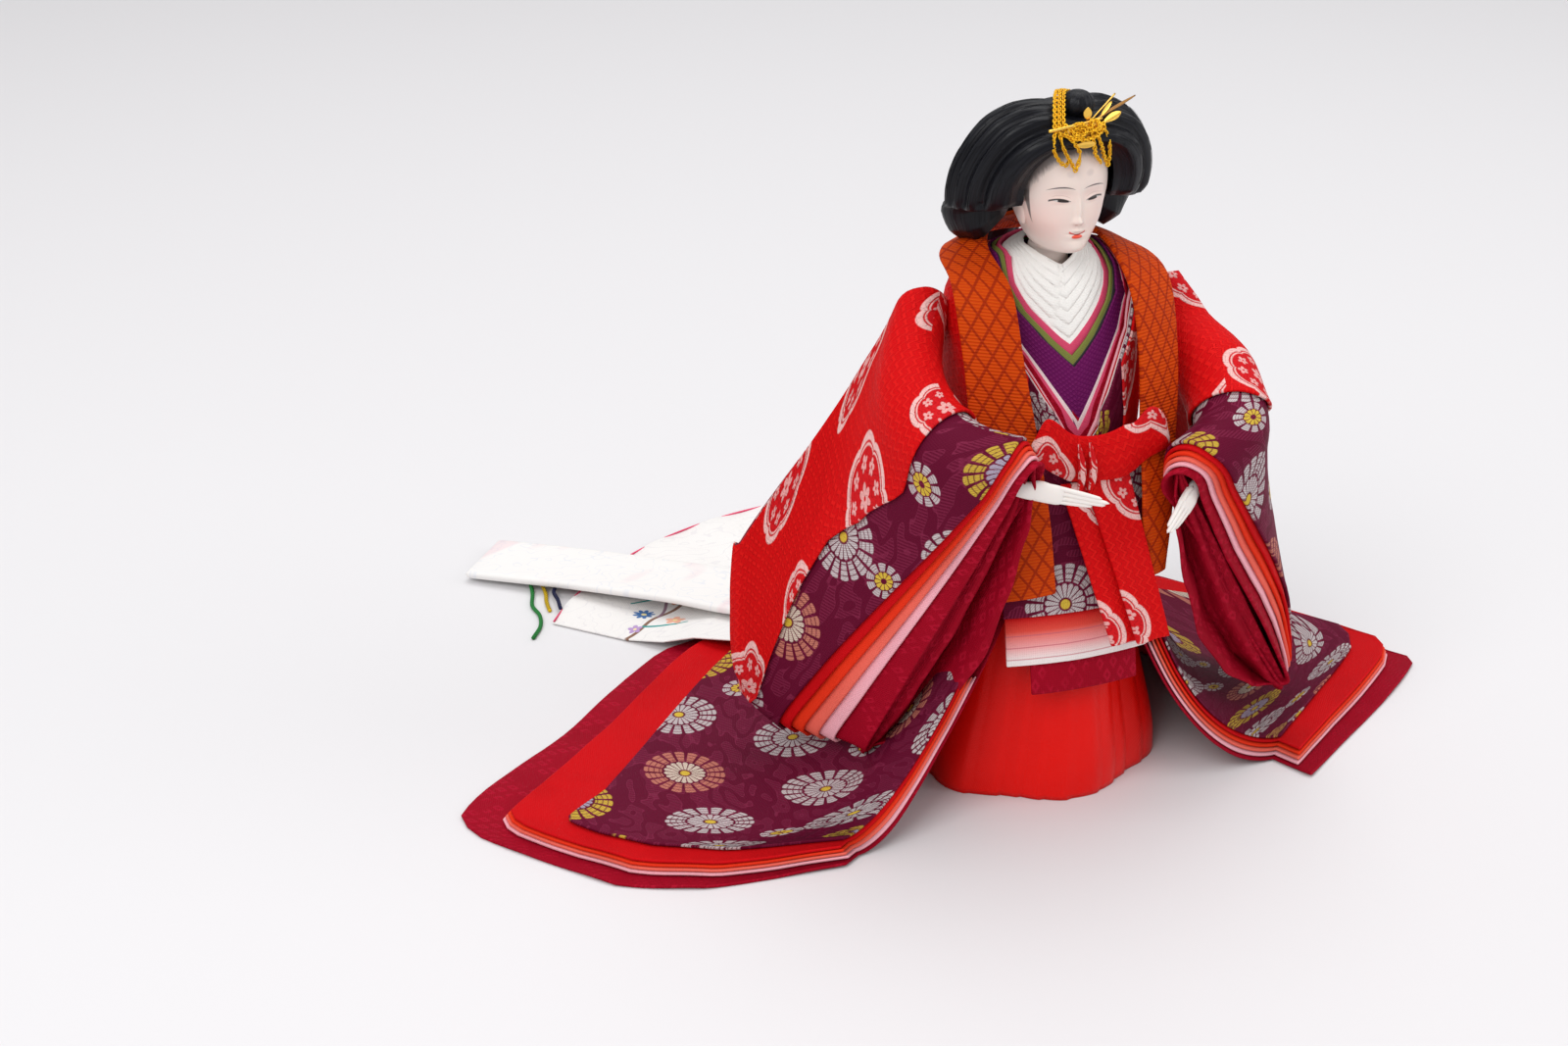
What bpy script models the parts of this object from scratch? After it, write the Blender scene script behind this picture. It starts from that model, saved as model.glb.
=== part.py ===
"""Seated court doll in layered silk robes, with a loose head on a neck stick and turning hands.

Metres, +Z up, the doll faces -Y. The neck's axis is the Z axis and the floor is Z = 0.
"Right" is the doll's own right, which is -X.
"""

import math

import bmesh
import bpy
import numpy as np
from mathutils import Vector

# Cloth: every layer is one thickness of lined silk, and a fit gap parts it from the next.
CLOTH = 0.0009
FIT_GAP = 0.00035
LAYER_PITCH = CLOTH + FIT_GAP
SKIRT_LAYERS = ("hitoe", "pale_pink", "salmon", "vermilion", "red", "uwagi")
SKIRT_FIT_GAP = 0.00045
SKIRT_PITCH = CLOTH + SKIRT_FIT_GAP
SKIRT_STACK = SKIRT_PITCH * (len(SKIRT_LAYERS) - 1) + CLOTH

# Main heights above the floor
WAIST_HEIGHT = 0.121
BODICE_HEM_HEIGHT = 0.1245
ARMHOLE_HEIGHT = 0.170
COLLAR_TOP_HEIGHT = 0.188

# Reach of the robes on the floor, from the neck's axis
RIGHT_REACH = 0.204
LEFT_REACH = 0.165
FRONT_REACH = 0.061
BACK_REACH = 0.118
WAIST_RADIUS = 0.034

# Frame inside the robes
BASE_HALF_WIDTH = 0.038
BASE_FRONT = 0.038
BASE_BACK = 0.030
BASE_THICKNESS = 0.008
BASE_BEVEL = 0.0009
CORE_HALF_WIDTH = 0.0165
CORE_TOP_HEIGHT = 0.174
STICK_RADIUS = 0.0024
STICK_BOTTOM_HEIGHT = 0.122
STICK_TOP_HEIGHT = 0.204
STICK_CLEARANCE = 0.0001
ARM_RADIUS = 0.0022
CUT_OVERRUN = 0.004

# Head, from the lower end of the neck to the crown, and hair
NECK_LOW_HEIGHT = 0.1762
HEAD_HEIGHT = 0.0516
HAIR_HALF_WIDTH = 0.0375

# Making
SHARP_ANGLE_DEG = 50
MITRE_LIMIT_SHARE = 0.5

MATERIALS = {
    "crimson": ((0.33, 0.008, 0.03), 0.75, 0.0),
    "pale_pink": ((0.86, 0.57, 0.60), 0.75, 0.0),
    "salmon": ((0.86, 0.28, 0.29), 0.75, 0.0),
    "vermilion": ((0.80, 0.09, 0.05), 0.75, 0.0),
    "red": ((0.66, 0.01, 0.012), 0.7, 0.0),
    "purple": ((0.17, 0.035, 0.075), 0.75, 0.0),
    "scarlet": ((0.72, 0.016, 0.018), 0.7, 0.0),
    "orange": ((0.66, 0.09, 0.012), 0.7, 0.0),
    "satin_red": ((0.82, 0.012, 0.008), 0.5, 0.0),
    "white_silk": ((0.86, 0.84, 0.80), 0.7, 0.0),
    "pink": ((0.85, 0.16, 0.24), 0.7, 0.0),
    "olive": ((0.33, 0.32, 0.06), 0.7, 0.0),
    "violet": ((0.10, 0.012, 0.14), 0.7, 0.0),
    "train_white": ((0.87, 0.86, 0.84), 0.7, 0.0),
    "gofun": ((0.90, 0.78, 0.72), 0.45, 0.0),
    "hair": ((0.01, 0.01, 0.013), 0.4, 0.0),
    "gold": ((0.83, 0.50, 0.08), 0.3, 1.0),
    "gold_thread": ((0.80, 0.46, 0.04), 0.5, 0.4),
    "wood": ((0.55, 0.38, 0.22), 0.7, 0.0),
    "straw": ((0.62, 0.50, 0.26), 0.9, 0.0),
    "cord_green": ((0.03, 0.38, 0.06), 0.8, 0.0),
    "cord_yellow": ((0.85, 0.60, 0.02), 0.8, 0.0),
    "cord_indigo": ((0.04, 0.02, 0.12), 0.8, 0.0),
    "cord_red": ((0.65, 0.03, 0.04), 0.8, 0.0),
}


def material(name):
    """The named finish, made once."""
    found = bpy.data.materials.get(name)
    if found:
        return found
    colour, roughness, metallic = MATERIALS[name]
    made = bpy.data.materials.new(name)
    made.use_nodes = True
    shader = made.node_tree.nodes["Principled BSDF"]
    shader.inputs["Base Color"].default_value = (*colour, 1)
    shader.inputs["Roughness"].default_value = roughness
    shader.inputs["Metallic"].default_value = metallic
    return made


def clear_scene():
    for thing in list(bpy.data.objects):
        bpy.data.objects.remove(thing)


def add_object(name, mesh, finish, smooth=True):
    mesh.materials.append(material(finish))
    if smooth:
        mesh.shade_smooth()
        mesh.set_sharp_from_angle(angle=math.radians(SHARP_ANGLE_DEG))
    made = bpy.data.objects.new(name, mesh)
    bpy.context.scene.collection.objects.link(made)
    return made


def mesh_from(name, points, faces):
    """A closed mesh with its faces turned out."""
    work = bmesh.new()
    corners = [work.verts.new(tuple(point)) for point in points]
    for face in faces:
        work.faces.new([corners[i] for i in face])
    bmesh.ops.recalc_face_normals(work, faces=work.faces)
    if work.calc_volume(signed=True) < 0:
        bmesh.ops.reverse_faces(work, faces=work.faces)
    mesh = bpy.data.meshes.new(name)
    work.to_mesh(mesh)
    work.free()
    return mesh


def shell(name, outer, inner, finish, wrap=False):
    """A sheet of cloth as a closed solid between two point grids, whose columns may wrap round."""
    outer, inner = np.asarray(outer), np.asarray(inner)
    rows, columns = outer.shape[:2]
    points = np.concatenate([outer.reshape(-1, 3), inner.reshape(-1, 3)])
    under = rows * columns
    faces = []
    for row in range(rows - 1):
        for column in range(columns if wrap else columns - 1):
            a, b = row * columns + column, row * columns + (column + 1) % columns
            c, d = b + columns, a + columns
            faces += [(a, b, c), (a, c, d)]
            faces += [(c + under, b + under, a + under), (d + under, c + under, a + under)]
    for column in range(columns if wrap else columns - 1):
        a, b = column, (column + 1) % columns
        faces.append((b, a, a + under, b + under))
        c, d = a + (rows - 1) * columns, b + (rows - 1) * columns
        faces.append((c, d, d + under, c + under))
    if not wrap:
        for row in range(rows - 1):
            a, b = row * columns, (row + 1) * columns
            faces.append((a, b, b + under, a + under))
            c, d = a + columns - 1, b + columns - 1
            faces.append((d, c, c + under, d + under))
    return add_object(name, mesh_from(name, points, faces), finish)


def loft(name, rings, finish, smooth=True):
    """A closed solid through rings of equal count, capped at both ends."""
    rings = np.asarray(rings)
    count = rings.shape[1]
    faces = []
    for level in range(len(rings) - 1):
        for step in range(count):
            a, b = level * count + step, level * count + (step + 1) % count
            faces.append((a, b, b + count, a + count))
    faces.append(tuple(range(count))[::-1])
    last = (len(rings) - 1) * count
    faces.append(tuple(range(last, last + count)))
    return add_object(name, mesh_from(name, rings.reshape(-1, 3), faces), finish, smooth)


def smooth_keys(keys, at):
    """A smooth curve through the rows of keys, at a place counted in rows."""
    keys = np.asarray(keys, float)
    last = len(keys) - 1
    start = min(int(math.floor(at)), last - 1)
    start = max(start, 0)
    t = at - start
    a, b = keys[start], keys[start + 1]
    before = keys[start - 1] if start > 0 else 2 * a - b
    after = keys[start + 2] if start + 2 <= last else 2 * b - a
    return (
        b * t * t * (3 - 2 * t)
        + a * (1 - t * t * (3 - 2 * t))
        + (b - before) / 2 * (t * (1 - t) * (1 - t))
        - (after - a) / 2 * (t * t * (1 - t))
    )


def straight_keys(keys, at):
    keys = np.asarray(keys, float)
    start = max(min(int(math.floor(at)), len(keys) - 2), 0)
    return keys[start] + (keys[start + 1] - keys[start]) * (at - start)


def between(start, end, share):
    return start * (1 - share) + end * share


def unit(vector):
    return vector / np.linalg.norm(vector)


def grid_triangles(rows, columns, wrap_columns):
    """Corner numbers of the two triangles of each cell, cut along the same diagonal everywhere."""
    found = []
    for row in range(rows - 1):
        for column in range(columns if wrap_columns else columns - 1):
            a, b = row * columns + column, row * columns + (column + 1) % columns
            c, d = b + columns, a + columns
            found += [(a, b, c), (a, c, d)]
    return np.array(found)


def grid_normals(points, wrap_columns=False, upright_shares=None):
    """Normals at the corners of a point grid, long enough that layers keep their pitch over a bend.

    upright_shares says, row by row, how far a normal is turned to point straight up.
    """
    points = np.asarray(points)
    rows, columns = points.shape[:2]
    flat = points.reshape(-1, 3)
    cells = grid_triangles(rows, columns, wrap_columns)
    crossed = np.cross(flat[cells[:, 1]] - flat[cells[:, 0]], flat[cells[:, 2]] - flat[cells[:, 0]])
    sides = np.linalg.norm(crossed, axis=1, keepdims=True)
    facing = crossed / sides
    normals = np.zeros_like(flat)
    for corner in range(3):
        np.add.at(normals, cells[:, corner], facing)
    normals /= np.linalg.norm(normals, axis=1, keepdims=True)
    if upright_shares is not None:
        if normals[-1][2] < 0:
            normals, facing = -normals, -facing
        upright = np.repeat(upright_shares, columns)[:, None]
        normals = normals * (1 - upright) + np.array((0, 0, 1)) * upright
        normals /= np.linalg.norm(normals, axis=1, keepdims=True)
    least = np.ones(len(flat))
    for corner in range(3):
        agree = (normals[cells[:, corner]] * facing).sum(axis=1)
        np.minimum.at(least, cells[:, corner], agree)
    normals /= np.maximum(least, MITRE_LIMIT_SHARE)[:, None]
    return normals.reshape(points.shape)


def oval(half_width, front, back, angle, power):
    """A point of an egg-shaped section: angle 0 is the front, which is -Y."""
    side, depth = math.sin(angle), math.cos(angle)
    reach = front if depth > 0 else back
    x = half_width * math.copysign(abs(side) ** (2 / power), side)
    y = -reach * math.copysign(abs(depth) ** (2 / power), depth)
    return x, y


# Base board and straw core
CORE_POWER = 2.2
CORE_SIDES = 20
BASE_SIDES = 28
# height share of the core, half width share, front share, back share
CORE_SHARES = (
    (0.0, 1.0, 1.0, 1.0),
    (0.68, 1.0, 1.0, 1.0),
    (0.82, 1.2, 1.0, 0.95),
    (0.92, 1.42, 0.8, 0.82),
    (0.97, 1.3, 0.7, 0.7),
    (1.0, 0.85, 0.5, 0.55),
)
CORE_DEPTH = 0.0148


def tube_cutter(name, radius, low, high, sides=CORE_SIDES):
    """A hidden upright cylinder on the neck's axis that a Boolean cuts with."""
    rings = [
        [
            (radius * math.cos(2 * math.pi * i / sides), radius * math.sin(2 * math.pi * i / sides), z)
            for i in range(sides)
        ]
        for z in (low, high)
    ]
    cutter = loft(name, rings, "wood", smooth=False)
    cutter.hide_render = True
    cutter.display_type = "WIRE"
    return cutter


def cut(target, cutter):
    boolean = target.modifiers.new("bore", "BOOLEAN")
    boolean.operation = "DIFFERENCE"
    boolean.object = cutter


def make_base():
    rings = []
    bevel = BASE_BEVEL
    for z, inset in ((0.0, bevel), (bevel, 0.0), (BASE_THICKNESS - bevel, 0.0), (BASE_THICKNESS, bevel)):
        rings.append(
            [
                (
                    *oval(
                        BASE_HALF_WIDTH - inset,
                        BASE_FRONT - inset,
                        BASE_BACK - inset,
                        2 * math.pi * i / BASE_SIDES,
                        CORE_POWER,
                    ),
                    z,
                )
                for i in range(BASE_SIDES)
            ]
        )
    return loft("base_board", rings, "wood")


def make_core():
    bottom = BASE_THICKNESS + FIT_GAP
    rings = []
    for height, width, front, back in CORE_SHARES:
        z = bottom + (CORE_TOP_HEIGHT - bottom) * height
        rings.append(
            [
                (
                    *oval(
                        CORE_HALF_WIDTH * width,
                        CORE_DEPTH * front,
                        CORE_DEPTH * back,
                        2 * math.pi * i / CORE_SIDES,
                        CORE_POWER,
                    ),
                    z,
                )
                for i in range(CORE_SIDES)
            ]
        )
    core = loft("straw_core", rings, "straw")
    bore = tube_cutter(
        "core_bore",
        STICK_RADIUS + STICK_CLEARANCE,
        STICK_BOTTOM_HEIGHT - STICK_CLEARANCE,
        CORE_TOP_HEIGHT + CUT_OVERRUN,
    )
    cut(core, bore)
    return core


def round_bar(name, points, radii, finish, sides):
    """A bar through the given points, with its own radius at each, capped flat."""
    points = [Vector(point) for point in points]
    rings = []
    for i, point in enumerate(points):
        before = points[max(i - 1, 0)]
        after = points[min(i + 1, len(points) - 1)]
        along = (after - before).normalized()
        side = along.cross(Vector((0, 0, 1)))
        if side.length < CLOTH:
            side = Vector((1, 0, 0))
        side.normalize()
        up = side.cross(along).normalized()
        rings.append(
            [
                tuple(
                    point
                    + side * radii[i] * math.cos(2 * math.pi * k / sides)
                    + up * radii[i] * math.sin(2 * math.pi * k / sides)
                )
                for k in range(sides)
            ]
        )
    return loft(name, rings, finish)


# Arms: padded wire from the side of the bodice, down the sleeve, to the wrist.
ARM_SIDES = 10
ARM_BORE_DEPTH = 0.006
PEG_RADIUS = 0.0009
PEG_CLEARANCE = 0.0001
PEG_SIDES = 14
ARM_START = 0.0040
# How near the arm keeps to the upper of the two middle rows of the sleeve's side
ARM_UPPER_SHARES = (0.28, 0.44, 0.6, 0.68, 0.74, 0.72)


def sleeve_middle(grid, column, row):
    """The middle of the sleeve at one place along it, between its two sheets."""
    return (grid[column, row] + grid[column, -row]) / 2


def arm_points(grid):
    """From the side of the bodice down the inside of the sleeve to the wrist."""
    middle_row = len(SLEEVE_SIDE_SHARES) // 2
    points = []
    for column, share in enumerate(ARM_UPPER_SHARES):
        upper = sleeve_middle(grid, column, middle_row - 1)
        lower = sleeve_middle(grid, column, middle_row)
        points.append(upper * share + lower * (1 - share))
    inward = unit(points[0] * (1, 0, 0))
    return [points[0] - inward * ARM_START, *points]


def make_arm(name, grid):
    points = arm_points(grid)
    arm = round_bar(name, points, [ARM_RADIUS] * len(points), "straw", ARM_SIDES)
    end = Vector(points[-1])
    along = (end - Vector(points[-2])).normalized()
    bore = round_bar(
        f"{name}_bore",
        (end - along * ARM_BORE_DEPTH, end + along * CUT_OVERRUN),
        (PEG_RADIUS + PEG_CLEARANCE,) * 2,
        "wood",
        PEG_SIDES,
    )
    bore.hide_render = True
    bore.display_type = "WIRE"
    cut(arm, bore)
    return arm


# Divided skirt under the robes, which stands on the floor round the base board.
HAKAMA_TOP_HEIGHT = 0.116
HAKAMA_THICKNESS = 0.0016
HAKAMA_HALF_WIDTH = 0.0435
HAKAMA_FRONT = 0.0455
HAKAMA_BACK = 0.034
HAKAMA_POWER = 2.3
HAKAMA_SIDES = 28
HAKAMA_FOLD_DEPTH = 0.0012
HAKAMA_FOLDS = 6
# height share, half width share, front share, back share
HAKAMA_SHARES = (
    (1.0, 0.46, 0.42, 0.54),
    (0.84, 0.54, 0.58, 0.58),
    (0.62, 0.65, 0.78, 0.66),
    (0.36, 0.80, 0.93, 0.80),
    (0.12, 0.96, 1.0, 0.94),
    (0.0, 1.0, 1.0, 1.0),
)


def make_hakama():
    outer, inner = [], []
    for height, width, front, back in HAKAMA_SHARES:
        z = HAKAMA_TOP_HEIGHT * height
        outer_row, inner_row = [], []
        for i in range(HAKAMA_SIDES):
            angle = 2 * math.pi * i / HAKAMA_SIDES
            fold = HAKAMA_FOLD_DEPTH * (1 - height) * math.cos(HAKAMA_FOLDS * angle)
            for row, wall in ((outer_row, 0.0), (inner_row, HAKAMA_THICKNESS)):
                x, y = oval(
                    HAKAMA_HALF_WIDTH * width - wall + fold,
                    HAKAMA_FRONT * front - wall + fold,
                    HAKAMA_BACK * back - wall + fold,
                    angle,
                    HAKAMA_POWER,
                )
                row.append((x, y, z))
        outer.append(outer_row)
        inner.append(inner_row)
    return shell("hakama", outer, inner, "satin_red", wrap=True)


# Spread skirts of the six robes.
# Each row: waist x, y; hip x, y (shares of the waist radius), hip height (share of the waist height);
# floor turn x, y (shares of the waist radius); hem of the top robe x, y and of the lowest x, y (of the reach).
SKIRT_SHARES = (
    (-0.53, -0.80, -0.70, -1.20, 0.62, -2.12, -1.53, -0.441, -0.885, -0.471, -0.96),
    (-0.77, -0.65, -1.12, -1.02, 0.36, -2.24, -1.38, -0.623, -0.75, -0.672, -0.90),
    (-0.91, -0.41, -1.30, -0.65, 0.17, -1.94, -0.88, -0.735, -0.57, -0.809, -0.70),
    (-1.00, -0.06, -1.32, -0.09, 0.11, -1.76, -0.06, -0.843, -0.18, -1.000, 0.093),
    (-0.94, 0.29, -1.24, 0.44, 0.13, -1.53, 0.65, -0.627, 0.27, -0.765, 0.44),
    (-0.59, 0.78, -0.80, 1.08, 0.14, -1.06, 1.53, -0.392, 0.69, -0.515, 0.83),
    (0.00, 0.94, 0.00, 1.24, 0.18, 0.00, 1.65, 0.000, 0.85, 0.000, 1.00),
    (0.59, 0.78, 0.80, 1.08, 0.14, 1.06, 1.47, 0.515, 0.63, 0.636, 0.75),
    (1.00, -0.06, 1.32, -0.09, 0.13, 1.71, -0.06, 0.891, 0.12, 1.000, -0.10),
    (0.53, -0.80, 0.50, -1.24, 0.66, 1.24, -1.41, 0.485, -0.77, 0.527, -1.00),
)
SKIRT_STEPS_PER_KEY = 2
SKIRT_ROW_SHARES = (0.0, 0.17, 0.34, 0.5, 0.66, 0.83, 1.0)
# Between these shares of the way down, the layers turn from lying side by side to lying on one another.
UPRIGHT_FROM, UPRIGHT_TO = 0.3, 0.8
# Each robe below the top one shows past the one above by this share of the way to the lowest hem.
HEM_SHARES = {"uwagi": 0.0, "red": 0.42, "vermilion": 0.52, "salmon": 0.62, "pale_pink": 0.72, "hitoe": 1.0}
# The front edges show past each other by these lengths.
LIP = 0.0052
LIP_SHARES = {"uwagi": 0.0, "red": 0.2, "vermilion": 0.4, "salmon": 0.6, "pale_pink": 0.8, "hitoe": 1.0}
LIP_STEP_SHARE = 0.3
SKIRT_FINISH = {
    "hitoe": "crimson",
    "pale_pink": "pale_pink",
    "salmon": "salmon",
    "vermilion": "vermilion",
    "red": "red",
    "uwagi": "purple",
}
# The three thin robes between are strips along the hem, sewn to the robe below.
SKIRT_FIRST_ROW = {"hitoe": 0, "pale_pink": 3, "salmon": 3, "vermilion": 3, "red": 0, "uwagi": 0}


def reach_point(x_share, y_share):
    x = x_share * (RIGHT_REACH if x_share < 0 else LEFT_REACH)
    y = y_share * (FRONT_REACH if y_share < 0 else BACK_REACH)
    return x, y


def skirt_column(at):
    """Points from the waist to the lowest hem, at a place counted in rows of SKIRT_SHARES."""
    curved = smooth_keys(SKIRT_SHARES, at)
    straight = straight_keys(SKIRT_SHARES, at)
    waist = np.array((curved[0] * WAIST_RADIUS, curved[1] * WAIST_RADIUS, WAIST_HEIGHT))
    hip = np.array((curved[2] * WAIST_RADIUS, curved[3] * WAIST_RADIUS, curved[4] * WAIST_HEIGHT))
    turn = np.array((curved[5] * WAIST_RADIUS, curved[6] * WAIST_RADIUS, SKIRT_STACK))
    hem = np.array((*reach_point(straight[7], straight[8]), SKIRT_STACK))
    lowest = np.array((*reach_point(straight[9], straight[10]), SKIRT_STACK))
    points = []
    for t in SKIRT_ROW_SHARES:
        points.append(
            waist * (1 - t) ** 3 + 3 * hip * t * (1 - t) ** 2 + 3 * turn * t * t * (1 - t) + hem * t**3
        )
    for name in reversed(SKIRT_LAYERS[:-1]):
        points.append(hem + (lowest - hem) * HEM_SHARES[name])
    return np.array(points)


def skirt_grid():
    """Rows from waist to hem, columns from the right front edge round the back to the left one."""
    last = len(SKIRT_SHARES) - 1
    count = last * SKIRT_STEPS_PER_KEY
    columns = [skirt_column(i / SKIRT_STEPS_PER_KEY) for i in range(count + 1)]
    right_away = columns[0] - skirt_column(LIP_STEP_SHARE)
    left_away = columns[-1] - skirt_column(last - LIP_STEP_SHARE)
    for away in (right_away, left_away):
        away /= np.linalg.norm(away, axis=1, keepdims=True)
    lips = [LIP * LIP_SHARES[name] for name in reversed(SKIRT_LAYERS[:-1])]
    right_edge, left_edge = columns[0], columns[-1]
    for lip in lips:
        columns.insert(0, right_edge + right_away * lip)
        columns.append(left_edge + left_away * lip)
    return np.array(columns).transpose(1, 0, 2)


def make_skirts():
    grid = skirt_grid()
    upright = [max(0, (share - UPRIGHT_FROM) / (UPRIGHT_TO - UPRIGHT_FROM)) for share in SKIRT_ROW_SHARES]
    upright = np.minimum(upright + [1] * (len(grid) - len(upright)), 1)
    normals = grid_normals(grid, upright_shares=upright)
    lips = len(SKIRT_LAYERS) - 1
    for level, name in enumerate(SKIRT_LAYERS):
        rank = len(SKIRT_LAYERS) - 1 - level
        first, last = SKIRT_FIRST_ROW[name], len(SKIRT_ROW_SHARES) + rank
        left = grid.shape[1] - lips + rank
        part = grid[first:last, lips - rank : left]
        out = normals[first:last, lips - rank : left]
        outer = part - out * SKIRT_PITCH * rank
        inner = outer - out * CLOTH
        floor = SKIRT_PITCH * level
        outer[:, :, 2] = np.maximum(outer[:, :, 2], floor + CLOTH)
        inner[:, :, 2] = np.maximum(inner[:, :, 2], floor)
        shell(f"{name}_skirt", outer, inner, SKIRT_FINISH[name])


# Sleeves: flat bags that hang from the forearm, nested seven deep at the mouth.
# Each row: top x, y, z; bottom x, y, z; half thickness, at equal steps from the armhole to the mouth.
RIGHT_SLEEVE_SHARES = (
    (-0.2247, 0.0206, 1.0088, -0.6, 0.0706, 0.5118, 0.0353),
    (-0.2824, -0.0588, 0.9412, -0.5941, 0.0471, 0.2706, 0.0382),
    (-0.3118, -0.1588, 0.8735, -0.5588, 0.0471, 0.1912, 0.0412),
    (-0.2882, -0.2706, 0.8294, -0.5118, -0.0118, 0.1529, 0.0341),
    (-0.1765, -0.3647, 0.8029, -0.4235, -0.1765, 0.1471, 0.0306),
)
LEFT_SLEEVE_SHARES = (
    (0.25, 0.0206, 0.9882, 0.4676, 0.0824, 0.5412, 0.0365),
    (0.3, -0.0118, 0.9, 0.4824, 0.0235, 0.3059, 0.0412),
    (0.3235, -0.1235, 0.8471, 0.5176, -0.0353, 0.2, 0.0365),
    (0.2824, -0.2529, 0.7765, 0.5294, -0.1235, 0.1529, 0.0282),
    (0.1353, -0.3176, 0.7176, 0.4941, -0.2353, 0.1471, 0.0306),
)
SLEEVE_LAYERS = ("hitoe", "pale_pink", "salmon", "vermilion", "red", "uwagi", "karaginu")
# The way the sleeve runs at the armhole and at the mouth, for the right one
ARMHOLE_FORWARD, MOUTH_FORWARD = (-0.1, -0.95, -0.3), (0.45, -0.85, -0.2)
FORWARD_TURN_SHARE = 0.6
# Down one sheet: share of the way down, share of the half thickness.
SLEEVE_SIDE_SHARES = (
    (0.012, 0.62),
    (0.055, 1.0),
    (0.15, 0.72),
    (0.38, 0.42),
    (0.75, 0.45),
    (0.97, 0.28),
)
# Where the short jacket's sleeve ends: share of the way down, share of the way to the mouth, for each side
JACKET_MOUTH_SHARES = {
    -1: ((0.0, 0.68), (0.15, 0.71), (0.3, 0.62), (0.45, 0.5), (0.65, 0.46), (1.0, 0.45)),
    1: ((0.0, 0.68), (0.15, 0.58), (0.38, 0.38), (0.75, 0.26), (1.0, 0.22)),
}
UWAGI_TOP_SHARE, UWAGI_LOW_SHARE = 0.93, 0.72
CUFF_SHARES = {"red": 0.18, "vermilion": 0.34, "salmon": 0.5, "pale_pink": 0.66, "hitoe": 1.0}
# First and last column of each layer; the thin cuffs start inside the top robe's mouth.
SLEEVE_COLUMNS = {
    "karaginu": (0, 3),
    "uwagi": (0, 5),
    "red": (3, 6),
    "vermilion": (4, 7),
    "salmon": (4, 8),
    "pale_pink": (4, 9),
    "hitoe": (0, 10),
}
# How many layers lie under the top robe's sleeve at each column; the thin cuffs need room near the mouth.
UWAGI_LEVEL_SHARES = (0.2, 0.44, 0.72, 1.0)
SLEEVE_FINISH = dict(SKIRT_FINISH, karaginu="scarlet")


def sleeve_places(down, side):
    """Where the columns cross a height, as shares of the way from the armhole to the mouth."""
    karaginu = np.interp(down, *np.transpose(JACKET_MOUTH_SHARES[side]))
    uwagi = UWAGI_TOP_SHARE + (UWAGI_LOW_SHARE - UWAGI_TOP_SHARE) * down
    places = [0.0, karaginu / 3, karaginu * 2 / 3, karaginu, (karaginu + uwagi) / 2, uwagi]
    return places + [uwagi + (1 - uwagi) * share for share in CUFF_SHARES.values()]


def sleeve_grid(key_shares, side):
    """Rows from armhole to mouth, columns once round: top, outer sheet, bottom, inner sheet."""
    round_trip = [(0.0, 0.0)]
    round_trip += list(SLEEVE_SIDE_SHARES)
    round_trip += [(1.0, 0.0)]
    round_trip += [(down, -thick) for down, thick in reversed(SLEEVE_SIDE_SHARES)]
    columns = []
    for down, thick in round_trip:
        column = []
        for place in sleeve_places(down, side):
            key = smooth_keys(key_shares, place * (len(key_shares) - 1)) * ARMHOLE_HEIGHT
            top, bottom, half = key[:3], key[3:6], key[6]
            chord = bottom - top
            turn = min(place / FORWARD_TURN_SHARE, 1)
            forward = np.array(ARMHOLE_FORWARD) * (1 - turn) + np.array(MOUTH_FORWARD) * turn
            forward *= (-side, 1, 1)
            outward = unit(np.cross(forward, chord)) * side
            column.append(top + chord * down + outward * thick * half)
        columns.append(column)
    return np.array(columns).transpose(1, 0, 2)


def make_sleeves(grid, hand):
    normals = grid_normals(grid, wrap_columns=True)
    outer_column = len(SLEEVE_SIDE_SHARES) // 2
    across = grid[:, outer_column] - grid[:, -outer_column]
    if (across * normals[:, outer_column]).sum() < 0:
        normals = -normals
    top_level = len(SLEEVE_LAYERS) - 2
    for level, name in enumerate(SLEEVE_LAYERS):
        first, last = SLEEVE_COLUMNS[name]
        levels = np.full(len(grid), float(level))
        if name in ("uwagi", "karaginu"):
            shares = list(UWAGI_LEVEL_SHARES) + [1.0] * (len(grid) - len(UWAGI_LEVEL_SHARES))
            levels = np.array(shares) * top_level + (name == "karaginu")
        rise = (levels * LAYER_PITCH)[:, None, None]
        part = (grid + normals * rise)[first : last + 1]
        out = normals[first : last + 1]
        shell(f"{name}_{hand}_sleeve", part + out * CLOTH, part, SLEEVE_FINISH[name], wrap=True)


# Bodice: rings round the neck that open in a V, one over the other.
# Height above the floor; half width, front and back of the innermost layer.
BODICE_PROFILE_SHARES = (
    (0.6277, 0.1277, 0.1383, 0.1277),
    (0.7074, 0.133, 0.1356, 0.117),
    (0.7979, 0.1383, 0.1117, 0.109),
    (0.8511, 0.141, 0.0984, 0.0984),
    (0.9043, 0.133, 0.0824, 0.0851),
    (0.9415, 0.109, 0.0702, 0.0734),
    (0.9734, 0.0771, 0.0612, 0.0649),
    (1.0, 0.0628, 0.0543, 0.0585),
    (1.0426, 0.0574, 0.0521, 0.0553),
)
BODICE_ANGLES_DEG = (0, 14, 30, 50, 75, 105, 135, 160, 180)
BODICE_POWER = 2.2
# Heights of each ring in front, at the side of the neck and at the back
BODICE_RING_SHARES = (
    (0.8583, 0.9717, 1.0),
    (0.5118, 0.9449, 0.9764),
    (0.4567, 0.9213, 0.9496),
    (0.378, 0.8976, 0.9244),
    (0.1575, 0.8709, 0.8976),
    (0.1024, 0.8346, 0.8661),
    (0.063, 0.7008, 0.7323),
    (0.0268, 0.4016, 0.4016),
    (0.0, 0.0, 0.0),
)
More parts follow.
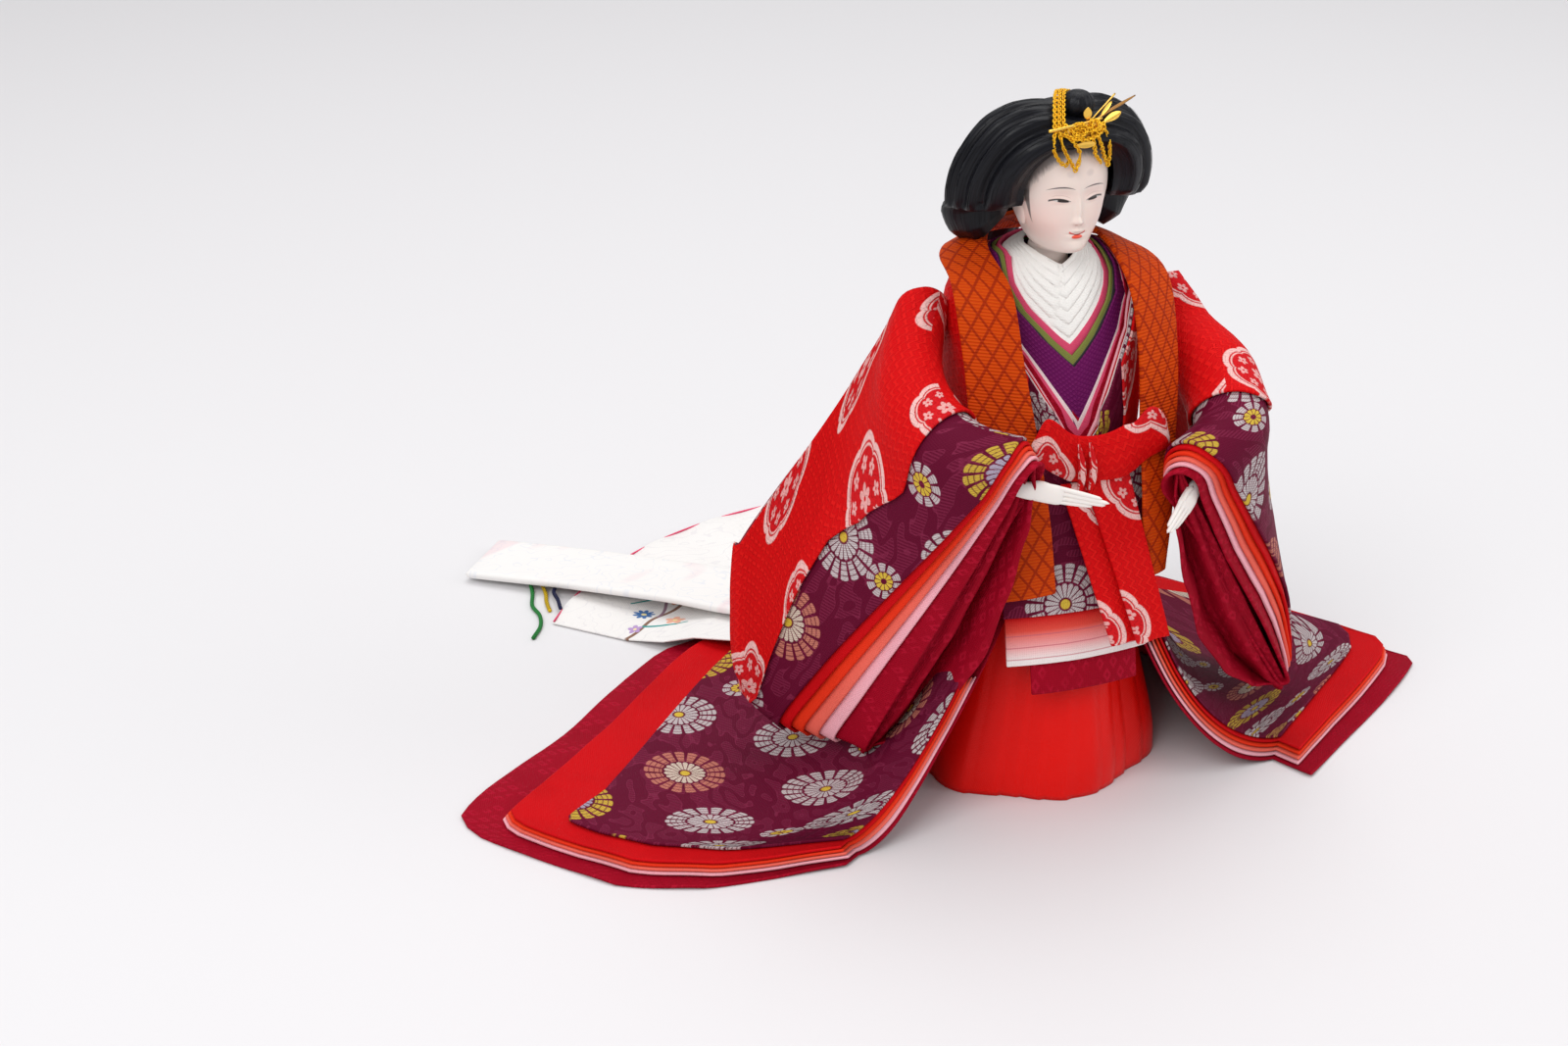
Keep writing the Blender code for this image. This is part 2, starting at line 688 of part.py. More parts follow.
# name, finish, first ring, last ring
BODICE_LAYERS = (
    ("white_collar", "white_silk", 0, 2),
    ("pink_collar", "pink", 1, 3),
    ("green_collar", "olive", 2, 4),
    ("violet_kosode", "violet", 3, 8),
    ("kasane_bodice", "pale_pink", 4, 8),
    ("uwagi_bodice", "purple", 5, 8),
)
KARAGINU_FIRST_ANGLE = 2
KARAGINU_FIRST_RING = 5


def bodice_point(angle, height):
    table = np.array(BODICE_PROFILE_SHARES) * COLLAR_TOP_HEIGHT
    width, front, back = (np.interp(height, table[:, 0], table[:, k]) for k in (1, 2, 3))
    x, y = oval(width, front, back, angle, BODICE_POWER)
    return np.array((x, y, height))


def bodice_grid():
    """Rows from the neck outwards, columns once round from the front."""
    half = [math.radians(angle) for angle in BODICE_ANGLES_DEG]
    angles = half + [2 * math.pi - angle for angle in reversed(half[1:-1])]
    rows = []
    rise = COLLAR_TOP_HEIGHT - BODICE_HEM_HEIGHT
    for front, side, back in BODICE_HEM_HEIGHT + np.array(BODICE_RING_SHARES) * rise:
        row = []
        for angle in angles:
            turned = abs(math.sin(angle))
            end = front if math.cos(angle) > 0 else back
            height = end + (side - end) * turned
            row.append(bodice_point(angle, height))
        rows.append(row)
    return np.array(rows)


def make_bodice():
    grid = bodice_grid()
    normals = grid_normals(grid, wrap_columns=True)
    if (grid[-1] * normals[-1]).sum() < 0:
        normals = -normals
    for level, (name, finish, first, last) in enumerate(BODICE_LAYERS):
        rise = LAYER_PITCH * level
        part = (grid + normals * rise)[first : last + 1]
        out = normals[first : last + 1]
        shell(name, part + out * CLOTH, part, finish, wrap=True)
    rise = LAYER_PITCH * len(BODICE_LAYERS)
    count = grid.shape[1]
    open_columns = list(range(KARAGINU_FIRST_ANGLE, count - KARAGINU_FIRST_ANGLE + 1))
    part = (grid + normals * rise)[KARAGINU_FIRST_RING:, open_columns]
    out = normals[KARAGINU_FIRST_RING:, open_columns]
    shell("karaginu_body", part + out * CLOTH, part, "scarlet")


# Orange collar band of the short jacket: down the front on both sides, behind the neck.
# Inner edge x, y, z; outer edge x, y, z, from the right front end round to the left one.
LAPEL_EDGE_SHARES = (
    (-0.0745, -0.2473, 0.4388, -0.1649, -0.234, 0.4309),
    (-0.0851, -0.2287, 0.5745, -0.1809, -0.2048, 0.5745),
    (-0.0984, -0.1968, 0.7074, -0.1968, -0.1543, 0.7181),
    (-0.1011, -0.1649, 0.8298, -0.1968, -0.117, 0.8351),
    (-0.0984, -0.109, 0.9468, -0.1915, -0.0532, 0.9468),
    (-0.0968, -0.008, 0.9973, -0.1729, 0.0426, 0.9723),
    (-0.0612, 0.0798, 1.0053, -0.1064, 0.117, 0.9681),
    (0.0, 0.1037, 1.0106, 0.0, 0.1436, 0.9707),
    (0.0612, 0.0798, 1.0027, 0.109, 0.1144, 0.9628),
    (0.0984, -0.008, 0.992, 0.1729, 0.0372, 0.9574),
    (0.1064, -0.1064, 0.9388, 0.2048, -0.0559, 0.9282),
    (0.1064, -0.1649, 0.8245, 0.1995, -0.1223, 0.8191),
    (0.1011, -0.1968, 0.7074, 0.1835, -0.1649, 0.7021),
    (0.1011, -0.2287, 0.5638, 0.1649, -0.2101, 0.5638),
    (0.1011, -0.242, 0.4362, 0.1489, -0.2314, 0.4388),
)
LAPEL_STEPS = 20
LAPEL_THICKNESS = 0.0014


def make_lapel():
    grid = []
    for step in range(LAPEL_STEPS + 1):
        place = step * (len(LAPEL_EDGE_SHARES) - 1) / LAPEL_STEPS
        key = smooth_keys(LAPEL_EDGE_SHARES, place) * COLLAR_TOP_HEIGHT
        grid.append([key[:3], key[3:6]])
    grid = np.array(grid)
    normals = grid_normals(grid)
    if normals[0, 0][1] > 0:
        normals = -normals
    shell("karaginu_lapel", grid + normals * LAPEL_THICKNESS, grid, "orange")


# Short panels that hang in front of the divided skirt, under the sash.
PANEL_TOP_HEIGHT = BODICE_HEM_HEIGHT - FIT_GAP
PANEL_TOP_FRONT = 0.0315
PANEL_LOW_FRONT = 0.0490
PANEL_LOW_HEIGHT = 0.045
PANEL_ROUND = 0.0035
PANEL_HALF_WIDTH = 0.03
# name, finish, then right and left edge as shares of the half width, and bottom share of the top height
FRONT_PANEL_SHARES = (
    ("hitoe_front_panel", "crimson", -0.667, 0.6, 0.366),
    ("kasane_front_panel", "pale_pink", -0.95, 0.717, 0.455),
    ("uwagi_front_panel", "purple", -0.983, 0.75, 0.592),
)
PANEL_COLUMNS = 6
PANEL_ROWS = 3


def panel_surface(x, z, lift=0.0):
    down = (PANEL_TOP_HEIGHT - z) / (PANEL_TOP_HEIGHT - PANEL_LOW_HEIGHT)
    front = PANEL_TOP_FRONT + (PANEL_LOW_FRONT - PANEL_TOP_FRONT) * down
    return np.array((x, -front + PANEL_ROUND * (x / PANEL_HALF_WIDTH) ** 2 - lift, z))


def hanging_panel(name, finish, lifts, top, bottom, columns, thickness=CLOTH):
    """A panel before the front surface: top and bottom are (right edge, left edge, height)."""
    outer, inner = [], []
    for row in range(PANEL_ROWS + 1):
        t = row / PANEL_ROWS
        lift = lifts[0] + (lifts[1] - lifts[0]) * t
        right, left, z = (top[k] + (bottom[k] - top[k]) * t for k in range(3))
        outer_row, inner_row = [], []
        for column in range(columns + 1):
            x = right + (left - right) * column / columns
            inner_row.append(panel_surface(x, z, lift))
            outer_row.append(panel_surface(x, z, lift + thickness))
        outer.append(outer_row)
        inner.append(inner_row)
    return shell(name, outer, inner, finish)


def make_front_panels():
    for level, (name, finish, right_share, left_share, low_share) in enumerate(FRONT_PANEL_SHARES):
        lift = (LAYER_PITCH + FIT_GAP) * level
        right, left = PANEL_HALF_WIDTH * right_share, PANEL_HALF_WIDTH * left_share
        top = (right, left, PANEL_TOP_HEIGHT)
        bottom = (right, left, PANEL_TOP_HEIGHT * low_share)
        hanging_panel(name, finish, (lift, lift), top, bottom, PANEL_COLUMNS)


# Sash of the short jacket, tied in front in a flat bow with two hanging ends.
BOW_CENTRE = (0.0035, 0.1300)
BOW_HALF_WIDTH = 0.0245
BOW_HALF_HEIGHT = 0.0115
BOW_THICKNESS = 0.0022
BOW_STEPS = 12
# shares of the half width, of the half height for both edges, and of the set back
BOW_SHARES = (
    (-1.0, 0.30, 0.05, 0.0),
    (-0.84, 1.00, -0.36, 0.0),
    (-0.52, 0.50, -0.80, -0.2),
    (-0.30, 0.34, -0.92, -0.3),
    (0.00, 0.32, -0.95, -0.3),
    (0.28, 0.48, -0.98, -0.3),
    (0.44, 0.55, -0.85, -0.2),
    (0.66, 0.92, -0.55, 0.0),
    (0.88, 0.55, -0.40, 0.4),
    (1.0, -0.28, -0.42, 1.0),
)
BOW_FRONT = 0.0420
BOW_SET_BACK = 0.0022
# name, then top and bottom: both edges as shares of the bow's half width, height as one of the panels' top
TAIL_END_SHARES = (
    ("sash_tail_inner", (-0.388, 0.061, 0.938), (0.163, 0.612, 0.515)),
    ("sash_tail_outer", (-0.082, 0.551, 0.955), (0.531, 1.02, 0.511)),
)
TAIL_LIFTS = (0.0060, 0.0105)
TAIL_COLUMNS = 3
TAIL_THICKNESS = 0.0013


def make_sash():
    front, back = [], []
    for share, upper, lower, away in BOW_SHARES:
        x = BOW_CENTRE[0] + BOW_HALF_WIDTH * share
        high = BOW_CENTRE[1] + BOW_HALF_HEIGHT * upper
        low = BOW_CENTRE[1] + BOW_HALF_HEIGHT * lower
        y = -BOW_FRONT + BOW_SET_BACK * away
        middle = (high + low) / 2
        bulge = BOW_THICKNESS / 2
        front.append([(x, y, high), (x, y - bulge, middle), (x, y, low)])
        back.append([(x, y + BOW_THICKNESS / 2, z) for z in (high, middle, low)])
    shell("sash_bow", np.array(front), np.array(back), "scarlet")
    sizes = np.array((BOW_HALF_WIDTH, BOW_HALF_WIDTH, PANEL_TOP_HEIGHT))
    for level, (name, top, bottom) in enumerate(TAIL_END_SHARES):
        lifts = [lift + (TAIL_THICKNESS + FIT_GAP) * level for lift in TAIL_LIFTS]
        hanging_panel(name, "scarlet", lifts, top * sizes, bottom * sizes, TAIL_COLUMNS, TAIL_THICKNESS)


# Pleated train, its waist board and its two long bands.
BOARD_HALF_WIDTH = 0.0455
BOARD_TOP_HEIGHT, BOARD_LOW_HEIGHT = 0.1240, 0.1010
BOARD_INNER, BOARD_THICKNESS = 0.0349, 0.0040
BOARD_STEPS = 8
TRAIN_HALF_ANGLE_DEG = 57
TRAIN_RADIUS = 0.160
TRAIN_CENTRE = (-0.005, 0.048)
TRAIN_THICKNESS = 0.0008
TRAIN_COLUMNS = 20
TRAIN_PLEAT = 0.0011
TRAIN_BEHIND_BOARD = 0.0013
TRAIN_TOP_SHARE = 0.94
TRAIN_STEEP_SHARE = 0.1
# share of the way out to the rim, height above the floor, share of the pleats' depth
TRAIN_ROW_SHARES = (
    (0.0, 0.9597, 0.3),
    (0.02, 0.7742, 0.5),
    (0.05, 0.5161, 0.7),
    (0.12, 0.2984, 0.9),
    (0.23, 0.1613, 1.0),
    (0.38, 0.1008, 1.0),
    (0.54, 0.0726, 1.0),
    (0.64, 0.0323, 1.0),
    (0.76, 0.0097, 1.0),
    (1.0, 0.0089, 1.0),
)


def train_point(turn, share, height):
    """A place on the train: turn runs from -1 at its right edge to 1 at its left one."""
    angle = math.radians(TRAIN_HALF_ANGLE_DEG) * turn
    behind = BOARD_INNER + BOARD_THICKNESS + TRAIN_BEHIND_BOARD
    start = (BOARD_HALF_WIDTH * turn * TRAIN_TOP_SHARE, behind)
    rim = (
        TRAIN_CENTRE[0] + TRAIN_RADIUS * math.sin(angle),
        TRAIN_CENTRE[1] + TRAIN_RADIUS * math.cos(angle),
    )
    return (start[0] + (rim[0] - start[0]) * share, start[1] + (rim[1] - start[1]) * share, height)


def make_train():
    grid = []
    for share, height_share, pleat in TRAIN_ROW_SHARES:
        row = []
        for column in range(TRAIN_COLUMNS + 1):
            turn = 2 * column / TRAIN_COLUMNS - 1
            lift = TRAIN_PLEAT * pleat * (column % 2)
            out = lift if share < TRAIN_STEEP_SHARE else 0
            up = 0 if share < TRAIN_STEEP_SHARE else lift
            x, y, z = train_point(turn, share, BOARD_TOP_HEIGHT * height_share)
            row.append((x, y + out, z + up))
        grid.append(row)
    grid = np.array(grid)
    normals = grid_normals(grid)
    if normals[-1, TRAIN_COLUMNS // 2][2] < 0:
        normals = -normals
    inner = grid - normals * TRAIN_THICKNESS
    inner[:, :, 2] = np.maximum(inner[:, :, 2], 0)
    shell("train", grid, inner, "train_white")


def make_waist_board():
    outer, inner = [], []
    for z in (BOARD_TOP_HEIGHT, (BOARD_TOP_HEIGHT + BOARD_LOW_HEIGHT) / 2, BOARD_LOW_HEIGHT):
        outer_row, inner_row = [], []
        for step in range(BOARD_STEPS + 1):
            x = BOARD_HALF_WIDTH * (2 * step / BOARD_STEPS - 1)
            inner_row.append((x, BOARD_INNER, z))
            outer_row.append((x, BOARD_INNER + BOARD_THICKNESS, z))
        outer.append(outer_row)
        inner.append(inner_row)
    shell("waist_board", outer, inner, "train_white")


BAND_WIDTH = 0.0300
BAND_THICKNESS = 0.0032
BAND_STEPS = 14
BAND_REACH = 0.195
# x, y, z of the middle of the right band's lower face; the left one mirrors it
BAND_ROUTE_SHARES = (
    (-0.1795, 0.2549, 0.5231),
    (-0.2051, 0.2903, 0.359),
    (-0.2462, 0.3651, 0.1923),
    (-0.3077, 0.5026, 0.0779),
    (-0.4359, 0.6821, 0.0431),
    (-0.6103, 0.8615, 0.0195),
    (-0.7846, 1.0, 0.0082),
)


def make_band(name, side):
    last = len(BAND_ROUTE_SHARES) - 1
    steps = [smooth_keys(BAND_ROUTE_SHARES, i * last / BAND_STEPS) for i in range(BAND_STEPS + 1)]
    route = np.array(steps) * BAND_REACH * (-side, 1, 1)
    lower = []
    for i, point in enumerate(route):
        along = route[min(i + 1, BAND_STEPS)] - route[max(i - 1, 0)]
        along[2] = 0
        across = unit(np.cross(along, (0, 0, 1)))
        lower.append([point - across * BAND_WIDTH / 2, point, point + across * BAND_WIDTH / 2])
    lower = np.array(lower)
    normals = grid_normals(lower)
    if normals[-1, 1][2] < 0:
        normals = -normals
    shell(name, lower + normals * BAND_THICKNESS, lower, "train_white")


# Loose ends of the band's stitching cords, lying on the floor.
CORD_RADIUS = 0.0008
CORD_BEVEL_STEPS = 2
CORD_STEPS_PER_KEY = 3
CORD_ON_FLOOR, CORD_ON_TRAIN, CORD_AT_BAND = 0.0009, 0.0026, 0.0018
CORD_ENDS = (
    (
        "cord_green",
        (
            (-0.1400, 0.1708, CORD_AT_BAND),
            (-0.1412, 0.1620, CORD_ON_FLOOR),
            (-0.1438, 0.1520, CORD_ON_FLOOR),
            (-0.1430, 0.1430, CORD_ON_FLOOR),
            (-0.1450, 0.1340, CORD_ON_FLOOR),
            (-0.1500, 0.1257, CORD_ON_FLOOR),
        ),
    ),
    (
        "cord_yellow",
        (
            (-0.1358, 0.1676, CORD_AT_BAND),
            (-0.1362, 0.1600, CORD_ON_FLOOR),
            (-0.1376, 0.1530, CORD_ON_FLOOR),
            (-0.1382, 0.1455, CORD_ON_FLOOR),
        ),
    ),
    (
        "cord_indigo",
        (
            (-0.1318, 0.1610, CORD_ON_TRAIN),
            (-0.1335, 0.1570, CORD_ON_TRAIN),
            (-0.1336, 0.1500, CORD_ON_TRAIN),
            (-0.1344, 0.1430, CORD_ON_TRAIN),
        ),
    ),
    (
        "cord_red",
        (
            (-0.1270, 0.1610, CORD_ON_TRAIN),
            (-0.1240, 0.1580, CORD_ON_TRAIN),
            (-0.1200, 0.1565, CORD_ON_TRAIN),
            (-0.1177, 0.1545, CORD_ON_TRAIN),
        ),
    ),
)


def make_cord(name, route):
    """A round cord through the route's points, capped flat."""
    curve = bpy.data.curves.new(name, "CURVE")
    curve.dimensions = "3D"
    curve.bevel_depth = CORD_RADIUS
    curve.bevel_resolution = CORD_BEVEL_STEPS
    curve.use_fill_caps = True
    count = (len(route) - 1) * CORD_STEPS_PER_KEY
    spline = curve.splines.new("POLY")
    spline.points.add(count)
    for step in range(count + 1):
        place = smooth_keys(route, step / CORD_STEPS_PER_KEY)
        spline.points[step].co = (*place, 1)
    curve.materials.append(material(name))
    made = bpy.data.objects.new(name, curve)
    bpy.context.scene.collection.objects.link(made)
    return made


# Head: face, skull and neck in one, bored for the stick.
HEAD_SIDES = 28
HEAD_POWER = 2.15
# height, middle of the ring, half width, front, back
HEAD_RING_SHARES = (
    (0.0, -0.0194, 0.1279, 0.1279, 0.1279),
    (0.1124, -0.0291, 0.1279, 0.1318, 0.1318),
    (0.186, -0.0581, 0.1434, 0.1899, 0.1357),
    (0.2132, -0.0775, 0.1667, 0.2674, 0.1667),
    (0.2481, -0.0969, 0.1957, 0.2907, 0.2035),
    (0.3023, -0.0969, 0.2287, 0.3062, 0.2422),
    (0.374, -0.0969, 0.2578, 0.3159, 0.2713),
    (0.4516, -0.0969, 0.2829, 0.3159, 0.2946),
    (0.5291, -0.0969, 0.2984, 0.312, 0.3101),
    (0.6066, -0.0969, 0.3043, 0.3101, 0.3198),
    (0.6938, -0.0969, 0.3023, 0.3198, 0.3198),
    (0.781, -0.0969, 0.2888, 0.3217, 0.3062),
    (0.8585, -0.0969, 0.2597, 0.3023, 0.2771),
    (0.9264, -0.0969, 0.2132, 0.2519, 0.2287),
    (0.9767, -0.0969, 0.1453, 0.1705, 0.155),
    (1.0, -0.0969, 0.062, 0.0698, 0.0659),
)
NOSE_REACH, NOSE_HALF_WIDTH = 0.0026, 0.0019
# height share of the head, share of the nose's reach
NOSE_SHARES = ((0.3934, 0.0), (0.4322, 0.55), (0.4651, 1.0), (0.5097, 0.85), (0.5872, 0.4), (0.6744, 0.0))
LIP_REACH, LIP_HALF_WIDTH = 0.0006, 0.0034
MOUTH_SHARES = ((0.2965, 0.0), (0.3411, 1.0), (0.3702, 1.0), (0.3992, 0.0))
STICK_SOCKET_HEIGHT = STICK_TOP_HEIGHT + FIT_GAP


def head_ring(height):
    share = (height - NECK_LOW_HEIGHT) / HEAD_HEIGHT
    table = np.array(HEAD_RING_SHARES)
    return [np.interp(share, table[:, 0], table[:, k]) * HEAD_HEIGHT for k in (1, 2, 3, 4)]


def make_head():
    rings = []
    for share, *size_shares in HEAD_RING_SHARES:
        middle, width, front, back = (HEAD_HEIGHT * size for size in size_shares)
        ring = []
        for i in range(HEAD_SIDES):
            x, y = oval(width, front, back, 2 * math.pi * i / HEAD_SIDES, HEAD_POWER)
            if y < 0:
                nose = np.interp(share, *np.transpose(NOSE_SHARES)) * NOSE_REACH
                lips = np.interp(share, *np.transpose(MOUTH_SHARES)) * LIP_REACH
                y -= nose * math.exp(-((x / NOSE_HALF_WIDTH) ** 2))
                y -= lips * math.exp(-((x / LIP_HALF_WIDTH) ** 2))
            ring.append((x, y + middle, NECK_LOW_HEIGHT + HEAD_HEIGHT * share))
        rings.append(ring)
    head = loft("head", rings, "gofun")
    socket = tube_cutter(
        "head_socket", STICK_RADIUS + STICK_CLEARANCE, NECK_LOW_HEIGHT - CUT_OVERRUN, STICK_SOCKET_HEIGHT
    )
    cut(head, socket)
    return head


def make_stick():
    points = [(0, 0, z) for z in (STICK_BOTTOM_HEIGHT, STICK_TOP_HEIGHT - STICK_RADIUS, STICK_TOP_HEIGHT)]
    radii = (STICK_RADIUS, STICK_RADIUS, STICK_RADIUS / 2)
    return round_bar("neck_stick", points, radii, "wood", CORE_SIDES)


# Hair: a wide thick hood of two wings round the face, a bun on the crown, and a long tail behind.
HAIR_CENTRE_HEIGHT = 0.2060
HAIR_GAP = 0.0009
HAIR_DEPTH_SHARES = (0.12, 0.35, 0.65, 0.85, 0.95)
# angle from the crown; then as shares of the hood's half width: hairline y, front bulge radius and y,
# rim radius and y, back bulge y
HAIR_SECTION_SHARES = (
    (-128, 0.16, 0.6667, 0.0533, 0.7733, 0.2533, 0.44),
    (-117, 0.0533, 0.7333, -0.0267, 0.92, 0.2, 0.4667),
    (-104, -0.12, 0.6933, -0.16, 1.0267, 0.12, 0.48),
    (-92, -0.28, 0.72, -0.32, 1.0453, 0.04, 0.4933),
    (-78, -0.3413, 0.7467, -0.4, 1.0453, -0.0133, 0.4933),
    (-62, -0.4, 0.7333, -0.48, 1.0, -0.0667, 0.4933),
    (-45, -0.4587, 0.6933, -0.5467, 0.92, -0.12, 0.48),
    (-28, -0.512, 0.6267, -0.592, 0.7813, -0.1733, 0.4667),
    (-10, -0.544, 0.5467, -0.6187, 0.688, -0.2133, 0.4533),
    (10, -0.544, 0.5467, -0.6187, 0.688, -0.2133, 0.4533),
    (28, -0.512, 0.6267, -0.592, 0.7813, -0.1733, 0.4667),
    (45, -0.4587, 0.6933, -0.5467, 0.92, -0.12, 0.48),
    (62, -0.4, 0.7333, -0.48, 1.0, -0.0667, 0.4933),
    (78, -0.3413, 0.7467, -0.4, 1.0453, -0.0133, 0.4933),
    (92, -0.28, 0.72, -0.32, 1.0453, 0.04, 0.4933),
    (104, -0.12, 0.6933, -0.16, 1.0267, 0.12, 0.48),
    (117, 0.0533, 0.7333, -0.0267, 0.92, 0.2, 0.4667),
    (128, 0.16, 0.6667, 0.0533, 0.7733, 0.2533, 0.44),
)
HAIR_RIM = 0.0020
HAIR_BACK_GAP = 0.00225
RIM_FRONT_SHARE, BACK_BULGE_SHARE, BACK_END_SHARE = 0.7, 0.72, 0.4
HAIR_POLE_RADIUS = 0.0030
HAIR_POLE_Y = 0.0190
BISECTIONS = 30


def skull_radius(angle, y, gap):
    """How far the skull reaches from the hair's centre line, in one direction at one depth."""
    low, high = 0.0, HAIR_HALF_WIDTH
    for _ in range(BISECTIONS):
        radius = (low + high) / 2
        x, z = radius * math.sin(angle), HAIR_CENTRE_HEIGHT + radius * math.cos(angle)
        middle, width, front, back = head_ring(z)
        reach = (front if y < middle else back) + gap
        inside = z < NECK_LOW_HEIGHT + HEAD_HEIGHT and (abs(x) / (width + gap)) ** HEAD_POWER + (
            abs(y - middle) / reach
        ) ** HEAD_POWER < 1
        if inside:
            low = radius
        else:
            high = radius
    return high


def make_hair_cap():
    rings = []
    for degrees, *size_shares in HAIR_SECTION_SHARES:
        angle = math.radians(degrees)
        sizes = [HAIR_HALF_WIDTH * share for share in size_shares]
        line_y, front_radius, front_y, rim_radius, rim_y, back_y = sizes
        middle_y = head_ring(HAIR_CENTRE_HEIGHT)[0]
        skull_end = middle_y + head_ring(HAIR_CENTRE_HEIGHT)[3]
        depths = [line_y]
        for share in HAIR_DEPTH_SHARES:
            depths.append(line_y + (skull_end - line_y) * share)
        inner = [(skull_radius(angle, y, HAIR_GAP) + HAIR_GAP, y) for y in depths]
        section = [
            (HAIR_POLE_RADIUS, skull_end + HAIR_BACK_GAP),
            *reversed(inner),
            (between(inner[0][0], front_radius, 1 / 3), between(line_y, front_y, 2 / 3)),
            (front_radius, front_y),
            (between(front_radius, rim_radius, 1 / 2), between(front_y, rim_y, 1 / 4)),
            (rim_radius - HAIR_RIM, between(front_y, rim_y, RIM_FRONT_SHARE)),
            (rim_radius, rim_y + HAIR_RIM),
            (rim_radius - HAIR_RIM, rim_y + HAIR_RIM * 3),
            (rim_radius * BACK_BULGE_SHARE, between(rim_y, back_y, 3 / 4)),
            (rim_radius * BACK_END_SHARE, back_y),
            (HAIR_POLE_RADIUS, HAIR_POLE_Y),
        ]
        rings.append(
            [(r * math.sin(angle), y, HAIR_CENTRE_HEIGHT + r * math.cos(angle)) for r, y in section]
        )
    return loft("hair_cap", rings, "hair")


BUN_CENTRE = (0.0005, -0.0135, 0.2364)
BUN_RADIUS = 0.0058
BUN_SQUASH = 0.85
BUN_SIDES = 18
# share of the bun's height from its middle, share of its radius
BUN_SHARES = (
    (-1.2, 0.45),
    (-0.72, 0.78),
    (-0.3, 0.98),
    (0.15, 1.0),
    (0.55, 0.85),
    (0.82, 0.58),
    (0.97, 0.25),
)


def make_bun():
    rings = []
    for rise, width in BUN_SHARES:
        rings.append(
            [
                (
                    BUN_CENTRE[0] + BUN_RADIUS * width * math.cos(2 * math.pi * i / BUN_SIDES),
                    BUN_CENTRE[1] + BUN_RADIUS * width * math.sin(2 * math.pi * i / BUN_SIDES),
                    BUN_CENTRE[2] + BUN_RADIUS * BUN_SQUASH * rise,
                )
                for i in range(BUN_SIDES)
            ]
        )
    return loft("hair_bun", rings, "hair")


# x, y, z of the middle, half width, half thickness
TAIL_ROUTE_SHARES = (
    (0.0, 0.1029, 1.0097, 0.0223, 0.0097),
    (0.0, 0.1189, 0.9709, 0.0291, 0.0136),
    (0.0, 0.1505, 0.9126, 0.033, 0.0146),
    (0.0, 0.182, 0.8252, 0.032, 0.0146),
    (0.0, 0.2087, 0.7282, 0.0291, 0.0136),
    (0.0, 0.233, 0.6408, 0.0272, 0.0126),
    (0.0, 0.2573, 0.5728, 0.0252, 0.0117),
    (0.0, 0.2767, 0.5243, 0.0214, 0.0097),
    (0.0, 0.2864, 0.4951, 0.0126, 0.0058),
)
TAIL_SIDES = 12
TAIL_STEPS_PER_KEY = 2
TAIL_STEP_SHARE = 0.1


def tail_ring(at):
    route = np.array(TAIL_ROUTE_SHARES) * HAIR_CENTRE_HEIGHT
    key = smooth_keys(route, at)
    after = smooth_keys(route, min(at + TAIL_STEP_SHARE, len(route) - 1))
    near = after - smooth_keys(route, max(at - TAIL_STEP_SHARE, 0))
    along = unit(near[:3])
    back = np.cross((1, 0, 0), along)
    ring = []
    for i in range(TAIL_SIDES):
        angle = 2 * math.pi * i / TAIL_SIDES
        side = key[3] * math.cos(angle)
        depth = key[4] * math.sin(angle)
        ring.append(key[:3] + np.array((1, 0, 0)) * side + back * depth)
    return ring


def make_tail():
    steps = (len(TAIL_ROUTE_SHARES) - 1) * TAIL_STEPS_PER_KEY
    return loft("hair_tail", [tail_ring(i / TAIL_STEPS_PER_KEY) for i in range(steps + 1)], "hair")


# Gold ornaments before the bun
PLATE_CENTRE = (0.0005, -0.0245, 0.2245)
PLATE_SIZE = (0.0095, 0.0010, 0.0062)
PLATE_CORNER = 0.0012
PIN_ENDS = ((-0.0120, -0.0290, 0.2280), (0.0190, -0.0222, 0.2348))
PIN_RADII = (0.0008, 0.0005)
ORNAMENT_SIDES = 10
CORD_BAND_RADIUS = 0.0019
BOW_CORD_RADIUS = 0.0009


def make_plate():
    """A small flat plate with cut corners."""
    cx, cy, cz = PLATE_CENTRE
    w, t, h = (size / 2 for size in PLATE_SIZE)
    c = PLATE_CORNER
    corner = [(w, h - c), (w - c, h)]
    outline = [(-x, -z) for x, z in corner]
    outline += [(x, -z) for x, z in reversed(corner)]
    outline += corner
    outline += [(-x, z) for x, z in reversed(corner)]
    rings = [[(cx + x, cy + side, cz + z) for x, z in outline] for side in (-t, t)]
    return loft("gold_plate", rings, "gold", smooth=False)


CORD_BAND_ROUTE = (
    (-0.0090, -0.0257, 0.2264),
    (-0.0105, -0.0225, 0.2340),
    (-0.0092, -0.0150, 0.2388),
    (-0.0085, -0.0070, 0.2385),
    (-0.0080, 0.0000, 0.2360),
)
CORD_BOW_ROUTE = (
    (-0.0065, -0.0262, 0.2235),
    (-0.0085, -0.0268, 0.2170),
    (-0.0070, -0.0268, 0.2125),
    (-0.0040, -0.0268, 0.2130),
    (-0.0042, -0.0266, 0.2175),
    (-0.0010, -0.0262, 0.2205),
    (0.0030, -0.0262, 0.2205),
    (0.0062, -0.0262, 0.2165),
    (0.0068, -0.0262, 0.2125),
    (0.0098, -0.0258, 0.2125),
    (0.0105, -0.0256, 0.2170),
    (0.0085, -0.0254, 0.2235),
)
LEAVES = (
    ("gold_leaf_middle", (0.0010, -0.0231, 0.2278), (0.0012, -0.0253, 0.2363), 0.0022),
    ("gold_leaf_left", (0.0078, -0.0222, 0.2280), (0.0125, -0.0195, 0.2360), 0.0018),
)
# share of the leaf's length, share of its half width
LEAF_SHARES = ((0.0, 0.2), (0.3, 0.35), (0.55, 1.0), (0.8, 0.85), (1.0, 0.2))
LEAF_THICKNESS = 0.0007


